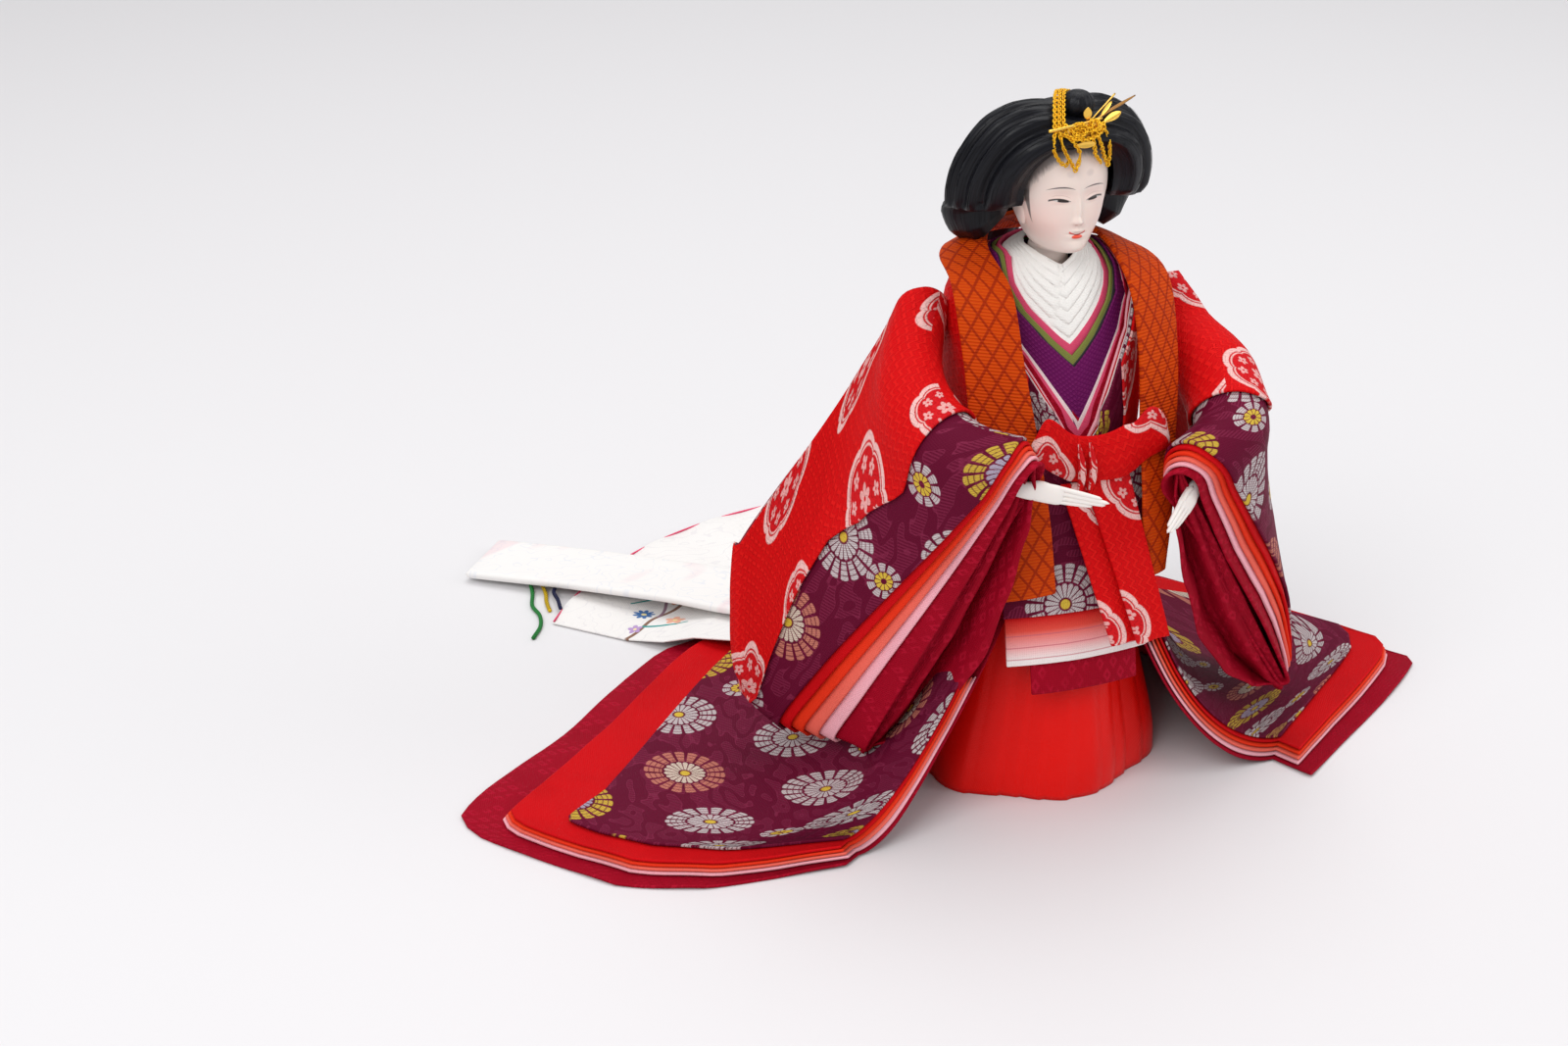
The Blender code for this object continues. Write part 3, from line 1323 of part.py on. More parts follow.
def make_leaf(name, start, end, half_width):
    start, end = Vector(start), Vector(end)
    along = (end - start).normalized()
    side = along.cross(Vector((0, -1, 0))).normalized()
    out = side.cross(along).normalized()
    rings = []
    for share, width in LEAF_SHARES:
        middle = start.lerp(end, share)
        reach, depth = half_width * width, LEAF_THICKNESS / 2
        corners = ((-reach, 0), (0, -depth), (reach, 0), (0, depth))
        rings.append([tuple(middle + side * a + out * b) for a, b in corners])
    return loft(name, rings, "gold")


def make_ornaments():
    make_plate()
    round_bar("gold_pin", PIN_ENDS, PIN_RADII, "gold", ORNAMENT_SIDES)
    for leaf in LEAVES:
        make_leaf(*leaf)
    for name, route, radius in (
        ("gold_cord_band", CORD_BAND_ROUTE, CORD_BAND_RADIUS),
        ("gold_cord_bow", CORD_BOW_ROUTE, BOW_CORD_RADIUS),
    ):
        count = (len(route) - 1) * TAIL_STEPS_PER_KEY
        points = [smooth_keys(route, i / TAIL_STEPS_PER_KEY) for i in range(count + 1)]
        round_bar(name, points, [radius] * len(points), "gold_thread", ORNAMENT_SIDES)


# Hands: a slim flat palm and joined fingers, on a round peg in the arm's end.
HAND_SIDES = 14
WRIST_GAP = 0.0004
PEG_DEPTH = ARM_BORE_DEPTH - WRIST_GAP * 2
# share of the hand's length, half width and half thickness as shares of the palm's
HAND_SHARES = (
    (0.0, 0.56, 1.1),
    (0.15, 0.62, 1.15),
    (0.36, 0.96, 1.1),
    (0.55, 1.0, 1.0),
    (0.7, 0.84, 0.85),
    (0.86, 0.66, 0.7),
    (0.96, 0.42, 0.5),
    (1.0, 0.2, 0.3),
)
PALM_HALF_WIDTH, PALM_HALF_THICKNESS = 0.0034, 0.0015
# Over this share of its length the hand bends from the arm's line to its own.
HAND_BEND_SHARE = 0.35
# Fingertip, and the way the hand is wide
HAND_AIMS = {
    "right": ((-0.0092, -0.0705, 0.1238), (0.25, -0.2, -1.0)),
    "left": ((0.0185, -0.0608, 0.1046), (0.9, 0.2, -0.3)),
}


def make_hand(name, grid, fingertip, across_hint):
    """The hand, with the peg that it turns on; its origin is on the peg."""
    points = arm_points(grid)
    end = Vector(points[-1])
    axis = (end - Vector(points[-2])).normalized()
    wrist = end + axis * WRIST_GAP
    tip = Vector(fingertip)
    across = Vector(across_hint)
    rings = []
    side = axis.cross(across).normalized()
    up = axis.cross(side).normalized()
    for along, radius in ((end - axis * PEG_DEPTH, PEG_RADIUS), (wrist, PEG_RADIUS)):
        rings.append(
            [
                tuple(along + side * radius * math.cos(a) + up * radius * math.sin(a))
                for a in (2 * math.pi * k / HAND_SIDES for k in range(HAND_SIDES))
            ]
        )
    length = (tip - wrist).length
    for share, width, thick in HAND_SHARES:
        bend = min(share / HAND_BEND_SHARE, 1)
        straight = wrist + axis * length * share
        aimed = wrist.lerp(tip, share)
        middle = straight.lerp(aimed, bend)
        along = axis.lerp((tip - wrist).normalized(), bend)
        flat = along.cross(across).normalized()
        wide = flat.cross(along).normalized()
        rings.append(
            [
                tuple(
                    middle
                    + wide * PALM_HALF_WIDTH * width * math.cos(a)
                    + flat * PALM_HALF_THICKNESS * thick * math.sin(a)
                )
                for a in (2 * math.pi * k / HAND_SIDES for k in range(HAND_SIDES))
            ]
        )
    hand = loft(name, [[Vector(corner) - end for corner in ring] for ring in rings], "gofun")
    hand.location = end
    return hand


def main():
    clear_scene()
    make_base()
    make_core()
    make_hakama()
    make_skirts()
    for hand, key_shares, side in (("right", RIGHT_SLEEVE_SHARES, -1), ("left", LEFT_SLEEVE_SHARES, 1)):
        grid = sleeve_grid(key_shares, side)
        make_sleeves(grid, hand)
        make_arm(f"{hand}_arm", grid)
        tip, across = HAND_AIMS[hand]
        make_hand(f"{hand}_hand", grid, tip, across)
    make_bodice()
    make_lapel()
    make_front_panels()
    make_sash()
    make_waist_board()
    make_train()
    make_band("band_right", -1)
    make_band("band_left", 1)
    for name, route in CORD_ENDS:
        make_cord(name, route)
    make_stick()
    make_head()
    make_hair_cap()
    make_bun()
    make_tail()
    make_ornaments()


main()
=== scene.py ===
import math
import bpy
import bmesh
import numpy as np
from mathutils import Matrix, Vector, noise


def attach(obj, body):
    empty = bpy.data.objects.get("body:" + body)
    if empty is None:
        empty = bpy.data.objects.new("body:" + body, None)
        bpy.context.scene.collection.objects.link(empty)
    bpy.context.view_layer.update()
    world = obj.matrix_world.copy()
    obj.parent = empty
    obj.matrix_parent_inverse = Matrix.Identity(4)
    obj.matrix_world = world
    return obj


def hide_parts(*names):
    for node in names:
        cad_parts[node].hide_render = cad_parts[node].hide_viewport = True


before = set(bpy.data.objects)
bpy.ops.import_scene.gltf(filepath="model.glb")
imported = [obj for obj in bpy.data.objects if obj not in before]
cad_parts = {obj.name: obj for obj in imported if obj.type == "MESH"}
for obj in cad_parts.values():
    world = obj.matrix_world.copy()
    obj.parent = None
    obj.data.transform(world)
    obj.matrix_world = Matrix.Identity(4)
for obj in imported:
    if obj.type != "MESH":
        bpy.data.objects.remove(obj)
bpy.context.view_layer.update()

# Wiring
# A small helper so that a pattern reads as arithmetic on sockets.


class Value:
    def __init__(self, wiring, socket):
        self.wiring, self.socket = wiring, socket

    def math(self, operation, *others, clamp=False):
        node = self.wiring.tree.nodes.new("ShaderNodeMath")
        node.operation, node.use_clamp = operation, clamp
        for slot, item in zip(node.inputs, (self, *others)):
            self.wiring.plug(slot, item)
        return Value(self.wiring, node.outputs[0])

    def __add__(self, other): return self.math("ADD", other)
    __radd__ = __add__
    def __sub__(self, other): return self.math("SUBTRACT", other)
    def __rsub__(self, other): return (self * -1.0) + other
    def __mul__(self, other): return self.math("MULTIPLY", other)
    __rmul__ = __mul__
    def __truediv__(self, other): return self.math("DIVIDE", other)
    def abs(self): return self.math("ABSOLUTE")
    def floor(self): return self.math("FLOOR")
    def fract(self): return self.math("FRACT")
    def sin(self): return self.math("SINE")
    def cos(self): return self.math("COSINE")
    def sqrt(self): return self.math("SQRT")
    def most(self, other): return self.math("MAXIMUM", other)
    # 1 where the value is under the limit, 0 over it, with a soft edge
    def below(self, limit, soft):
        if isinstance(limit, Value):
            return ((limit - self) / soft + 0.5).math("ADD", 0.0, clamp=True)
        return self.math("MULTIPLY_ADD", -1.0 / soft, limit / soft + 0.5, clamp=True)

    def above(self, limit, soft): return 1.0 - self.below(limit, soft)


class Wiring:
    def __init__(self, name, colour, roughness=0.7, metallic=0.0, sheen=0.0, sheenTint=None, coat=0.0, level=None):
        self.material = bpy.data.materials.new(name)
        self.material.use_nodes = True
        self.tree = self.material.node_tree
        self.shader = self.tree.nodes["Principled BSDF"]
        self.set("Base Color", (*colour, 1))
        self.set("Roughness", roughness)
        self.set("Metallic", metallic)
        self.set("Sheen Weight", sheen)
        self.set("Coat Weight", coat)
        if sheenTint:
            self.set("Sheen Tint", (*sheenTint, 1))
        if level is not None:
            self.set("Specular IOR Level", level)
        self.base = None
        self.lastBump = None

    def set(self, socket, value):
        self.shader.inputs[socket].default_value = value

    def plug(self, slot, item):
        if isinstance(item, Value):
            self.tree.links.new(item.socket, slot)
        else:
            slot.default_value = item

    def uv(self):
        node = self.tree.nodes.new("ShaderNodeUVMap")
        node.uv_map = "UVMap"
        return self.split(node.outputs[0])[:2]

    def place(self):
        return self.split(self.tree.nodes.new("ShaderNodeTexCoord").outputs["Object"])

    def split(self, socket):
        node = self.tree.nodes.new("ShaderNodeSeparateXYZ")
        self.tree.links.new(socket, node.inputs[0])
        return [Value(self, out) for out in node.outputs]

    def join(self, x, y, z=0.0):
        node = self.tree.nodes.new("ShaderNodeCombineXYZ")
        for slot, item in zip(node.inputs, (x, y, z)):
            self.plug(slot, item)
        return Value(self, node.outputs[0])

    def noise(self, scale, detail=2.0, at=None, rough=0.5):
        node = self.tree.nodes.new("ShaderNodeTexNoise")
        node.inputs["Scale"].default_value = scale
        node.inputs["Detail"].default_value = detail
        node.inputs["Roughness"].default_value = rough
        if at is None:
            self.tree.links.new(self.tree.nodes.new("ShaderNodeTexCoord").outputs["Object"], node.inputs["Vector"])
        else:
            self.plug(node.inputs["Vector"], at)
        return Value(self, node.outputs["Fac"])

    def speckle(self, x, y):
        node = self.tree.nodes.new("ShaderNodeTexWhiteNoise")
        node.noise_dimensions = "3D"
        self.plug(node.inputs["Vector"], self.join(x, y))
        return Value(self, node.outputs["Value"])

    def mix(self, first, second, mask):
        node = self.tree.nodes.new("ShaderNodeMix")
        node.data_type = "RGBA"
        self.plug(node.inputs["Factor"], mask)
        for slot, colour in (("A", first), ("B", second)):
            self.plug(node.inputs[slot], colour if isinstance(colour, Value) else (*colour, 1)[:4])
        return Value(self, node.outputs["Result"])

    def paint(self, colour, mask):
        # lays a colour, or another colour socket, over what is there
        self.base = self.mix(self.base or tuple(self.shader.inputs["Base Color"].default_value), colour, mask)
        self.plug(self.shader.inputs["Base Color"], self.base)
        return self

    def relief(self, height, depth):
        node = self.tree.nodes.new("ShaderNodeBump")
        node.inputs["Strength"].default_value = 1.0
        node.inputs["Distance"].default_value = depth
        self.plug(node.inputs["Height"], height)
        if self.lastBump:
            self.tree.links.new(self.lastBump, node.inputs["Normal"])
        self.lastBump = node.outputs["Normal"]
        self.tree.links.new(self.lastBump, self.shader.inputs["Normal"])
        return self

    def rough(self, value):
        self.plug(self.shader.inputs["Roughness"], value)
        return self


turn = 2 * math.pi


def weave(w, u, v, pitch, depth):
    # warp and weft threads of one cloth, with a slight slub
    threads = (u * (turn / pitch)).sin() * 0.5 + (v * (turn / pitch)).sin() * 0.5
    w.relief(threads + w.noise(900, 2) * 0.6, depth)
    return threads


def worn(w, colour, share, scale=60):
    # a slow change of tone over the cloth
    w.paint(colour, w.noise(scale, 3) * share)


def cells(w, u, v, pitch, shift=(0.0, 0.0)):
    # staggered lattice: place inside the cell from its middle, and two random numbers for the cell
    p, q = u / pitch + shift[0], v / pitch + shift[1]
    row = q.floor()
    p = p + row * 0.5
    column = p.floor()
    x, y = (p.fract() - 0.5) * pitch, (q.fract() - 0.5) * pitch
    return x, y, w.speckle(column, row), w.speckle(row + 7.0, column + 3.0)


def polar(x, y):
    return (x * x + y * y).sqrt(), y.math("ARCTAN2", x)


def mumRoundel(x, y, radius, petals=18):
    # chrysanthemum: outer petals, inner petals, heart
    r, angle = polar(x, y)
    edge = radius * 0.02 + 0.00012
    half = petals / 2
    gap = (angle * half).cos().abs()
    lace = (r * (turn / (radius * 0.13))).sin().above(-0.75, 0.3) * 0.7 + 0.3
    outer = r.below(gap.sqrt() * (radius * 0.1) + radius * 0.9, edge) * r.above(radius * 0.56, edge)
    outer = outer * gap.above(0.42, 0.16) * lace
    turned = (angle * half + math.pi / 2)
    inner = r.below(turned.cos().abs().sqrt() * (radius * 0.09) + radius * 0.42, edge)
    inner = inner * r.above(radius * 0.17, edge) * turned.cos().abs().above(0.3, 0.2)
    heart = r.below(radius * 0.12, edge)
    return outer, inner, heart


def plumRoundel(x, y, radius, lobes=6):
    # lobed double outline, a ring of small flowers and one in the middle
    r, angle = polar(x, y)
    edge = radius * 0.02 + 0.00010
    lobe = (angle * (lobes / 2)).cos().abs().sqrt() * 0.12 + 0.88
    s = r / lobe
    outline = s.below(radius, edge) * s.above(radius * 0.86, edge)
    outline = outline + s.below(radius * 0.82, edge) * s.above(radius * 0.78, edge)
    count = 8
    sector = ((angle * (count / turn)).fract() - 0.5) * (turn / count)
    px, py = sector * (radius * 0.54), r - radius * 0.54
    pr, pa = polar(px, py)
    small = pr.below((pa * 2.5).cos().abs() * (radius * 0.07) + radius * 0.07, edge) * pr.above(radius * 0.03, edge)
    middle = r.below((angle * 3).cos().abs() * (radius * 0.12) + radius * 0.14, edge) * r.above(radius * 0.045, edge)
    return outline.math("MINIMUM", 1.0), (small + middle).math("MINIMUM", 1.0)


def fret(u, v, cell, width):
    # self-coloured key fret: a turned grid whose bars break in turn
    p, q = (u + v) / (cell * 1.414), (u - v) / (cell * 1.414)
    a, b = p.fract(), q.fract()
    barA = (a - 0.5).abs().below(width, 0.05) * ((q * 0.5 + p.floor() * 0.5).fract() - 0.5).abs().above(0.12, 0.05)
    barB = (b - 0.5).abs().below(width, 0.05) * ((p * 0.5 + q.floor() * 0.5).fract() - 0.5).abs().above(0.12, 0.05)
    return barA.most(barB)


def hatchClouds(w, u, v):
    # ground of the top robe: drifting bands of short ribs
    drift = w.noise(60, 1, w.join(u, v * 2.2))
    band = (drift * 22).sin()
    ribs = ((u + v * 0.35) * (turn / 0.0012)).sin()
    return band.above(0.0, 0.6) * (ribs * 0.5 + 0.5) + band.abs().below(0.18, 0.1) * 0.8


def plainSilk(name, colour, fold=0.45, level=0.05):
    w = Wiring(name, colour, roughness=0.60, level=level)
    u, v = w.uv()
    threads = weave(w, u, v, 0.00075, 0.00006)
    # painted shade of folds: soft random patches darkened to the share of the colour that fold gives
    dark = tuple(c * fold for c in colour)
    w.paint(dark, w.noise(35, 3).above(0.62, 0.35) * 0.35)
    # painted highlight: a lighter copy of the colour on the crests of the threads
    w.paint(tuple(min(1, c * 1.25 + 0.02) for c in colour), threads.above(0.35, 0.4) * 0.12)
    return w


def makeMaterials():
    m = {}
    # plain linings and the thin robes between
    silks = dict(
        red=(0.56, 0.003, 0.006), vermilion=(0.78, 0.035, 0.010), salmon=(0.84, 0.14, 0.10),
        pink=(0.88, 0.42, 0.48), pale=(0.86, 0.68, 0.68), rose=(0.74, 0.08, 0.17),
        olive=(0.21, 0.23, 0.055), slate=(0.05, 0.045, 0.05),
    )
    for name, colour in silks.items():
        m[name] = plainSilk(name + "Silk", colour)

    # front panel of the robes between, shaded from red to white toward its edge
    w = m["kasanePanel"] = plainSilk("kasaneSilk", (0.86, 0.78, 0.76), fold=0.8)
    z = w.place()[2]
    w.paint((0.86, 0.40, 0.40), z.above(0.0602, 0.004)).paint((0.80, 0.10, 0.07), z.above(0.0650, 0.006))
    w.paint((0.60, 0.006, 0.008), z.above(0.0695, 0.006))
    # thin rose lines a little under each change of colour, painted as shade
    for at in (0.0585, 0.0625, 0.0665):
        w.paint((0.55, 0.12, 0.16), (z - at).abs().below(0.00018, 0.0002) * 0.7)

    # wine crimson robe with tone-on-tone diamonds
    w = m["crimson"] = plainSilk("crimsonSilk", (0.31, 0.0015, 0.014), fold=0.6)
    u, v = w.uv()
    p, q = (u + v * 0.6) / 0.0052, (u - v * 0.6) / 0.0052
    lines = (p.fract() - 0.5).abs().most((q.fract() - 0.5).abs())
    diamond = lines.below(0.30, 0.08)
    heart = lines.below(0.12, 0.06)
    figure = (diamond - heart) * w.noise(90, 1).above(0.46, 0.08)
    w.paint((0.46, 0.008, 0.032), figure * 0.55).relief(figure, 0.00008)

    # eggplant top robe with chrysanthemum roundels
    w = m["uwagi"] = Wiring("purpleBrocade", (0.115, 0.004, 0.024), roughness=0.55, level=0.05)
    u, v = w.uv()
    weave(w, u, v, 0.0008, 0.00005)
    ground = hatchClouds(w, u, v)
    w.paint((0.20, 0.018, 0.055), ground * 0.75).relief(ground, 0.00010)
    x, y, one, two = cells(w, u, v, 0.041, (0.13, 0.3))
    outer, inner, heart = mumRoundel(x, y, 0.0140)
    silver, cream, gold = (0.60, 0.55, 0.55), (0.70, 0.60, 0.48), (0.62, 0.43, 0.05)
    coral, lilac = (0.56, 0.20, 0.14), (0.42, 0.38, 0.48)
    petal = w.mix(w.mix(silver, gold, one.above(0.64, 0.01)), coral, one.above(0.80, 0.01))
    middle = w.mix(w.mix(silver, lilac, one.above(0.64, 0.01)), cream, one.above(0.80, 0.01))
    thread = ((u + v) * (turn / 0.0010)).sin() * 0.22 + 0.78
    w.paint(petal, outer * thread).paint(middle, inner * thread).paint(gold, heart)
    w.relief((outer + inner + heart), 0.00012)
    x, y, one, two = cells(w, u, v, 0.041, (0.63, 0.8))
    outer, inner, heart = mumRoundel(x, y, 0.0066, 10)
    seldom = two.above(0.62, 0.01)
    w.paint(silver, outer * seldom * 0.8).paint(gold, inner * seldom)

    # bright red short jacket: fret relief and pale plum roundels
    w = m["karaginu"] = Wiring("scarletBrocade", (0.60, 0.0035, 0.005), roughness=0.58, level=0.05)
    u, v = w.uv()
    weave(w, u, v, 0.0008, 0.00005)
    bars = fret(u, v, 0.0024, 0.17)
    w.paint((0.78, 0.012, 0.010), bars * 0.5).relief(bars, 0.00022)
    x, y, one, two = cells(w, u, v, 0.048, (0.28, 0.42))
    outline, flowers = plumRoundel(x, y, 0.0138)
    inside = polar(x, y)[0].below(0.0124, 0.0004)
    w.paint((0.60, 0.010, 0.014), inside)
    thread = ((u - v) * (turn / 0.0008)).sin() * 0.10 + 0.90
    w.paint((0.86, 0.55, 0.52), outline * thread).paint((0.82, 0.42, 0.40), flowers * thread)
    w.relief(outline + flowers, 0.00012)

    # burnt orange collar of the jacket: fine ribs and crossing lines
    w = m["orange"] = Wiring("orangeBrocade", (0.58, 0.052, 0.002), roughness=0.55, level=0.05)
    u, v = w.uv()
    ribs = (v * (turn / 0.0011)).sin()
    w.relief(ribs, 0.00010)
    p, q = ((u * 1.5 + v) / 0.0085), ((u * 1.5 - v) / 0.0085)
    cross = (p.fract() - 0.5).abs().below(0.085, 0.05).most((q.fract() - 0.5).abs().below(0.085, 0.05))
    # painted highlight: a brighter orange on the crests of the ribs
    w.paint((0.70, 0.095, 0.004), ribs.above(0.2, 0.6) * 0.6)
    w.paint((0.26, 0.012, 0.003), cross * 0.75).relief(cross, 0.00010)
    worn(w, (0.42, 0.030, 0.004), 0.35)

    # white ribbed collar
    w = m["white"] = Wiring("whiteCollarSilk", (0.93, 0.915, 0.88), roughness=0.6, level=0.08)
    u, v = w.uv()
    weave(w, u, v, 0.0007, 0.00005)
    worn(w, (0.84, 0.81, 0.76), 0.4, 90)

    # violet under robe
    w = m["violet"] = plainSilk("violetSilk", (0.125, 0.006, 0.085), fold=0.5)
    u, v = w.uv()
    lozenge = ((u + v) * (turn / 0.0030)).sin() * ((u - v) * (turn / 0.0030)).sin()
    w.paint((0.20, 0.02, 0.13), lozenge.above(0.25, 0.2) * 0.5).relief(lozenge, 0.00006)

    # divided skirt
    w = m["hakama"] = Wiring("redSatin", (0.80, 0.006, 0.003), roughness=0.30, level=0.14)
    u, v = w.uv()
    weave(w, u, v, 0.0006, 0.00003)
    worn(w, (0.50, 0.004, 0.004), 0.35, 40)

    # white train, with grey clouds
    w = m["train"] = Wiring("trainSilk", (0.82, 0.80, 0.78), roughness=0.55, level=0.08)
    u, v = w.uv()
    weave(w, u, v, 0.0008, 0.00004)
    drift = w.noise(36, 2, w.join(u, v * 1.8))
    w.paint((0.66, 0.64, 0.66), ((drift * 30).sin().abs().below(0.16, 0.12)) * 0.45)
    worn(w, (0.74, 0.72, 0.70), 0.35, 30)

    # a spray of pine and plum in the fan's near corner
    def blossom(cx, cy, radius, petals, spin):
        r, angle = polar(u - cx, v - cy)
        lobes = ((angle + spin) * (petals / 2)).cos().abs()
        return r.below(lobes * (radius * 0.45) + radius * 0.55, 0.0003), r.below(radius * 0.24, 0.0002)

    def twig(ax, ay, bx, by, width):
        length = math.hypot(bx - ax, by - ay)
        cx, cy = (bx - ax) / length, (by - ay) / length
        along = (u - ax) * cx + (v - ay) * cy
        side = (v - ay) * cx - (u - ax) * cy + (along * 260).sin() * 0.0007
        return side.abs().below(width, 0.0003) * along.above(0.0, 0.0005) * along.below(length, 0.0005)

    brown, mauve, teal, blue = (0.24, 0.13, 0.09), (0.30, 0.18, 0.24), (0.03, 0.30, 0.28), (0.06, 0.16, 0.38)
    for a, b, width, colour in (
        ((-0.116, 0.112), (-0.066, 0.142), 0.0009, brown), ((-0.100, 0.122), (-0.082, 0.150), 0.0007, mauve),
        ((-0.088, 0.129), (-0.070, 0.118), 0.0006, mauve), ((-0.108, 0.117), (-0.092, 0.108), 0.0006, teal),
        ((-0.092, 0.137), (-0.106, 0.140), 0.0005, teal),
    ):
        w.paint(colour, twig(*a, *b, width))
    for cx, cy, radius, petals, colour in (
        (-0.098, 0.150, 0.0062, 9, blue), (-0.074, 0.140, 0.0058, 9, (0.05, 0.13, 0.32)),
        (-0.104, 0.128, 0.0046, 9, blue), (-0.088, 0.134, 0.0050, 5, (0.82, 0.36, 0.22)),
        (-0.095, 0.115, 0.0042, 5, (0.82, 0.42, 0.30)), (-0.078, 0.124, 0.0036, 5, (0.70, 0.50, 0.10)),
        (-0.111, 0.117, 0.0030, 5, (0.45, 0.30, 0.55)),
    ):
        flower, heart = blossom(cx, cy, radius, petals, cx * 90)
        w.paint(colour, flower).paint((0.85, 0.72, 0.35), heart)

    # brocade of the waist board and bands: white, with pale rose and blue threads
    w = m["band"] = Wiring("bandSilk", (0.83, 0.81, 0.79), roughness=0.55, level=0.08)
    u, v = w.uv()
    weave(w, u, v, 0.0009, 0.00005)
    drift = w.noise(50, 2, w.join(u * 1.5, v))
    w.paint((0.62, 0.66, 0.74), (drift * 26).sin().abs().below(0.16, 0.12) * 0.35)
    w.paint((0.78, 0.50, 0.55), w.noise(22, 1, w.join(u, v * 2.5, 4.0)).above(0.60, 0.08) * 0.35)
    w = m["board"] = Wiring("boardSilk", (0.83, 0.81, 0.79), roughness=0.55, level=0.08)
    u, v = w.uv()
    weave(w, u, v, 0.0009, 0.00005)
    worn(w, (0.70, 0.68, 0.70), 0.35, 40)

    # twisted cords and threads
    for name, colour in dict(cordGreen=(0.02, 0.28, 0.05), cordYellow=(0.80, 0.52, 0.01), cordIndigo=(0.010, 0.014, 0.07),
                             cordRed=(0.62, 0.01, 0.012)).items():
        w = m[name] = Wiring(name, colour, roughness=0.6, level=0.25)
        u, v = w.uv()
        twist = ((u * 2 + v) * (turn / 0.0017)).sin()
        # painted shade: a darker copy of the colour in the grooves of the twist
        w.paint(tuple(c * 0.45 for c in colour), twist.below(-0.2, 0.6) * 0.8).relief(twist, 0.00020)

    # gold wire and plate
    w = m["gold"] = Wiring("giltMetal", (0.90, 0.55, 0.10), roughness=0.28, metallic=1.0)
    w.rough(w.noise(500, 3) * 0.20 + 0.20).relief(w.noise(350, 2), 0.00006)
    w = m["goldThread"] = Wiring("goldThread", (0.95, 0.55, 0.02), roughness=0.38, metallic=0.75, level=0.6)
    w.paint((0.55, 0.24, 0.01), w.noise(700, 2).above(0.55, 0.2) * 0.45)

    # face and hands in shell white
    w = m["skin"] = Wiring("shellWhite", (0.86, 0.80, 0.755), roughness=0.40, coat=0.12, level=0.35)
    w.set("Subsurface Weight", 0.08)
    w.set("Subsurface Radius", (0.004, 0.002, 0.0014))
    w.set("Subsurface Scale", 0.5)
    w.relief(w.noise(260, 3), 0.00003)

    # wood, straw and paper of the frame
    w = m["wood"] = Wiring("cedar", (0.52, 0.33, 0.17), roughness=0.6)
    x, y, z = w.place()
    rings = w.noise(40, 3, w.join(x * 6, y * 6, z * 0.8))
    w.paint((0.36, 0.20, 0.09), (rings * 40).sin().above(0.2, 0.8) * 0.6).relief(rings, 0.0002)
    w = m["straw"] = Wiring("paperedStraw", (0.66, 0.52, 0.30), roughness=0.8)
    x, y, z = w.place()
    stalks = w.noise(300, 2, w.join(x * 4, y * 4, z * 0.15))
    w.paint((0.42, 0.30, 0.14), stalks.above(0.5, 0.1) * 0.7).relief(stalks, 0.0004)
    return m


mats = makeMaterials()
print("silks wired")

# Curves and sheets


def smoothKeys(keys, at):
    keys = np.asarray(keys, float)
    last = len(keys) - 1
    start = max(min(int(math.floor(at)), last - 1), 0)
    t = at - start
    a, b = keys[start], keys[start + 1]
    before = keys[start - 1] if start > 0 else 2 * a - b
    after = keys[start + 2] if start + 2 <= last else 2 * b - a
    ease = t * t * (3 - 2 * t)
    return b * ease + a * (1 - ease) + (b - before) / 2 * (t * (1 - t) ** 2) - (after - a) / 2 * (t * t * (1 - t))


def straightKeys(keys, at):
    keys = np.asarray(keys, float)
    start = max(min(int(math.floor(at)), len(keys) - 2), 0)
    return keys[start] + (keys[start + 1] - keys[start]) * (at - start)


def smoothTable(table, at):
    # eased steps between the rows of a table, whose first column is where they stand
    where, values = np.transpose(table)
    i = int(np.clip(np.searchsorted(where, at) - 1, 0, len(where) - 2))
    t = np.clip((at - where[i]) / (where[i + 1] - where[i]), 0, 1)
    ease = t * t * (3 - 2 * t) * 0.6 + t * 0.4
    return values[i] + (values[i + 1] - values[i]) * ease


def unit(vector):
    return vector / max(np.linalg.norm(vector), 1e-9)


def units(grid):
    return grid / np.maximum(np.linalg.norm(grid, axis=-1, keepdims=True), 1e-9)


def gridNormals(grid, wrap=False):
    if wrap:
        across = np.roll(grid, -1, axis=1) - np.roll(grid, 1, axis=1)
    else:
        across = np.gradient(grid, axis=1)
    return units(np.cross(across, np.gradient(grid, axis=0)))


def outwardNormals(grid, wrap=True):
    normals = gridNormals(grid, wrap)
    return -normals if (grid[:, :, :2] * normals[:, :, :2]).sum() < 0 else normals


def frontNormals(grid):
    normals = gridNormals(grid)
    return -normals if normals[0, 0][1] > 0 else normals


def upperNormals(grid):
    normals = gridNormals(grid)
    return -normals if normals[-1, normals.shape[1] // 2][2] < 0 else normals


def metricUv(grid, wrap=False):
    # distance along each row and down each column, so that a pattern keeps its scale
    if wrap:
        grid = np.concatenate([grid, grid[:, :1]], axis=1)
    stepU = np.linalg.norm(np.diff(grid, axis=1), axis=2)
    stepV = np.linalg.norm(np.diff(grid, axis=0), axis=2)
    u = np.concatenate([np.zeros((len(grid), 1)), np.cumsum(stepU, axis=1)], axis=1)
    v = np.concatenate([np.zeros((1, grid.shape[1])), np.cumsum(stepV, axis=0)], axis=0)
    middle = grid.shape[1] // 2
    return np.stack([u - u[:, middle : middle + 1], v], axis=2)


def wrinkle(grid, normals, depth, scale, seed=0.0, stretch=(1, 1, 1)):
    # soft unevenness of padded silk, the same for every layer at the same place
    out = np.empty(grid.shape[:2])
    for r in range(grid.shape[0]):
        for c in range(grid.shape[1]):
            p = Vector(grid[r, c] * np.array(stretch) * scale) + Vector((seed, seed * 2, -seed))
            out[r, c] = noise.noise(p) + 0.5 * noise.noise(p * 2.1)
    return grid + normals * (out * depth)[:, :, None]


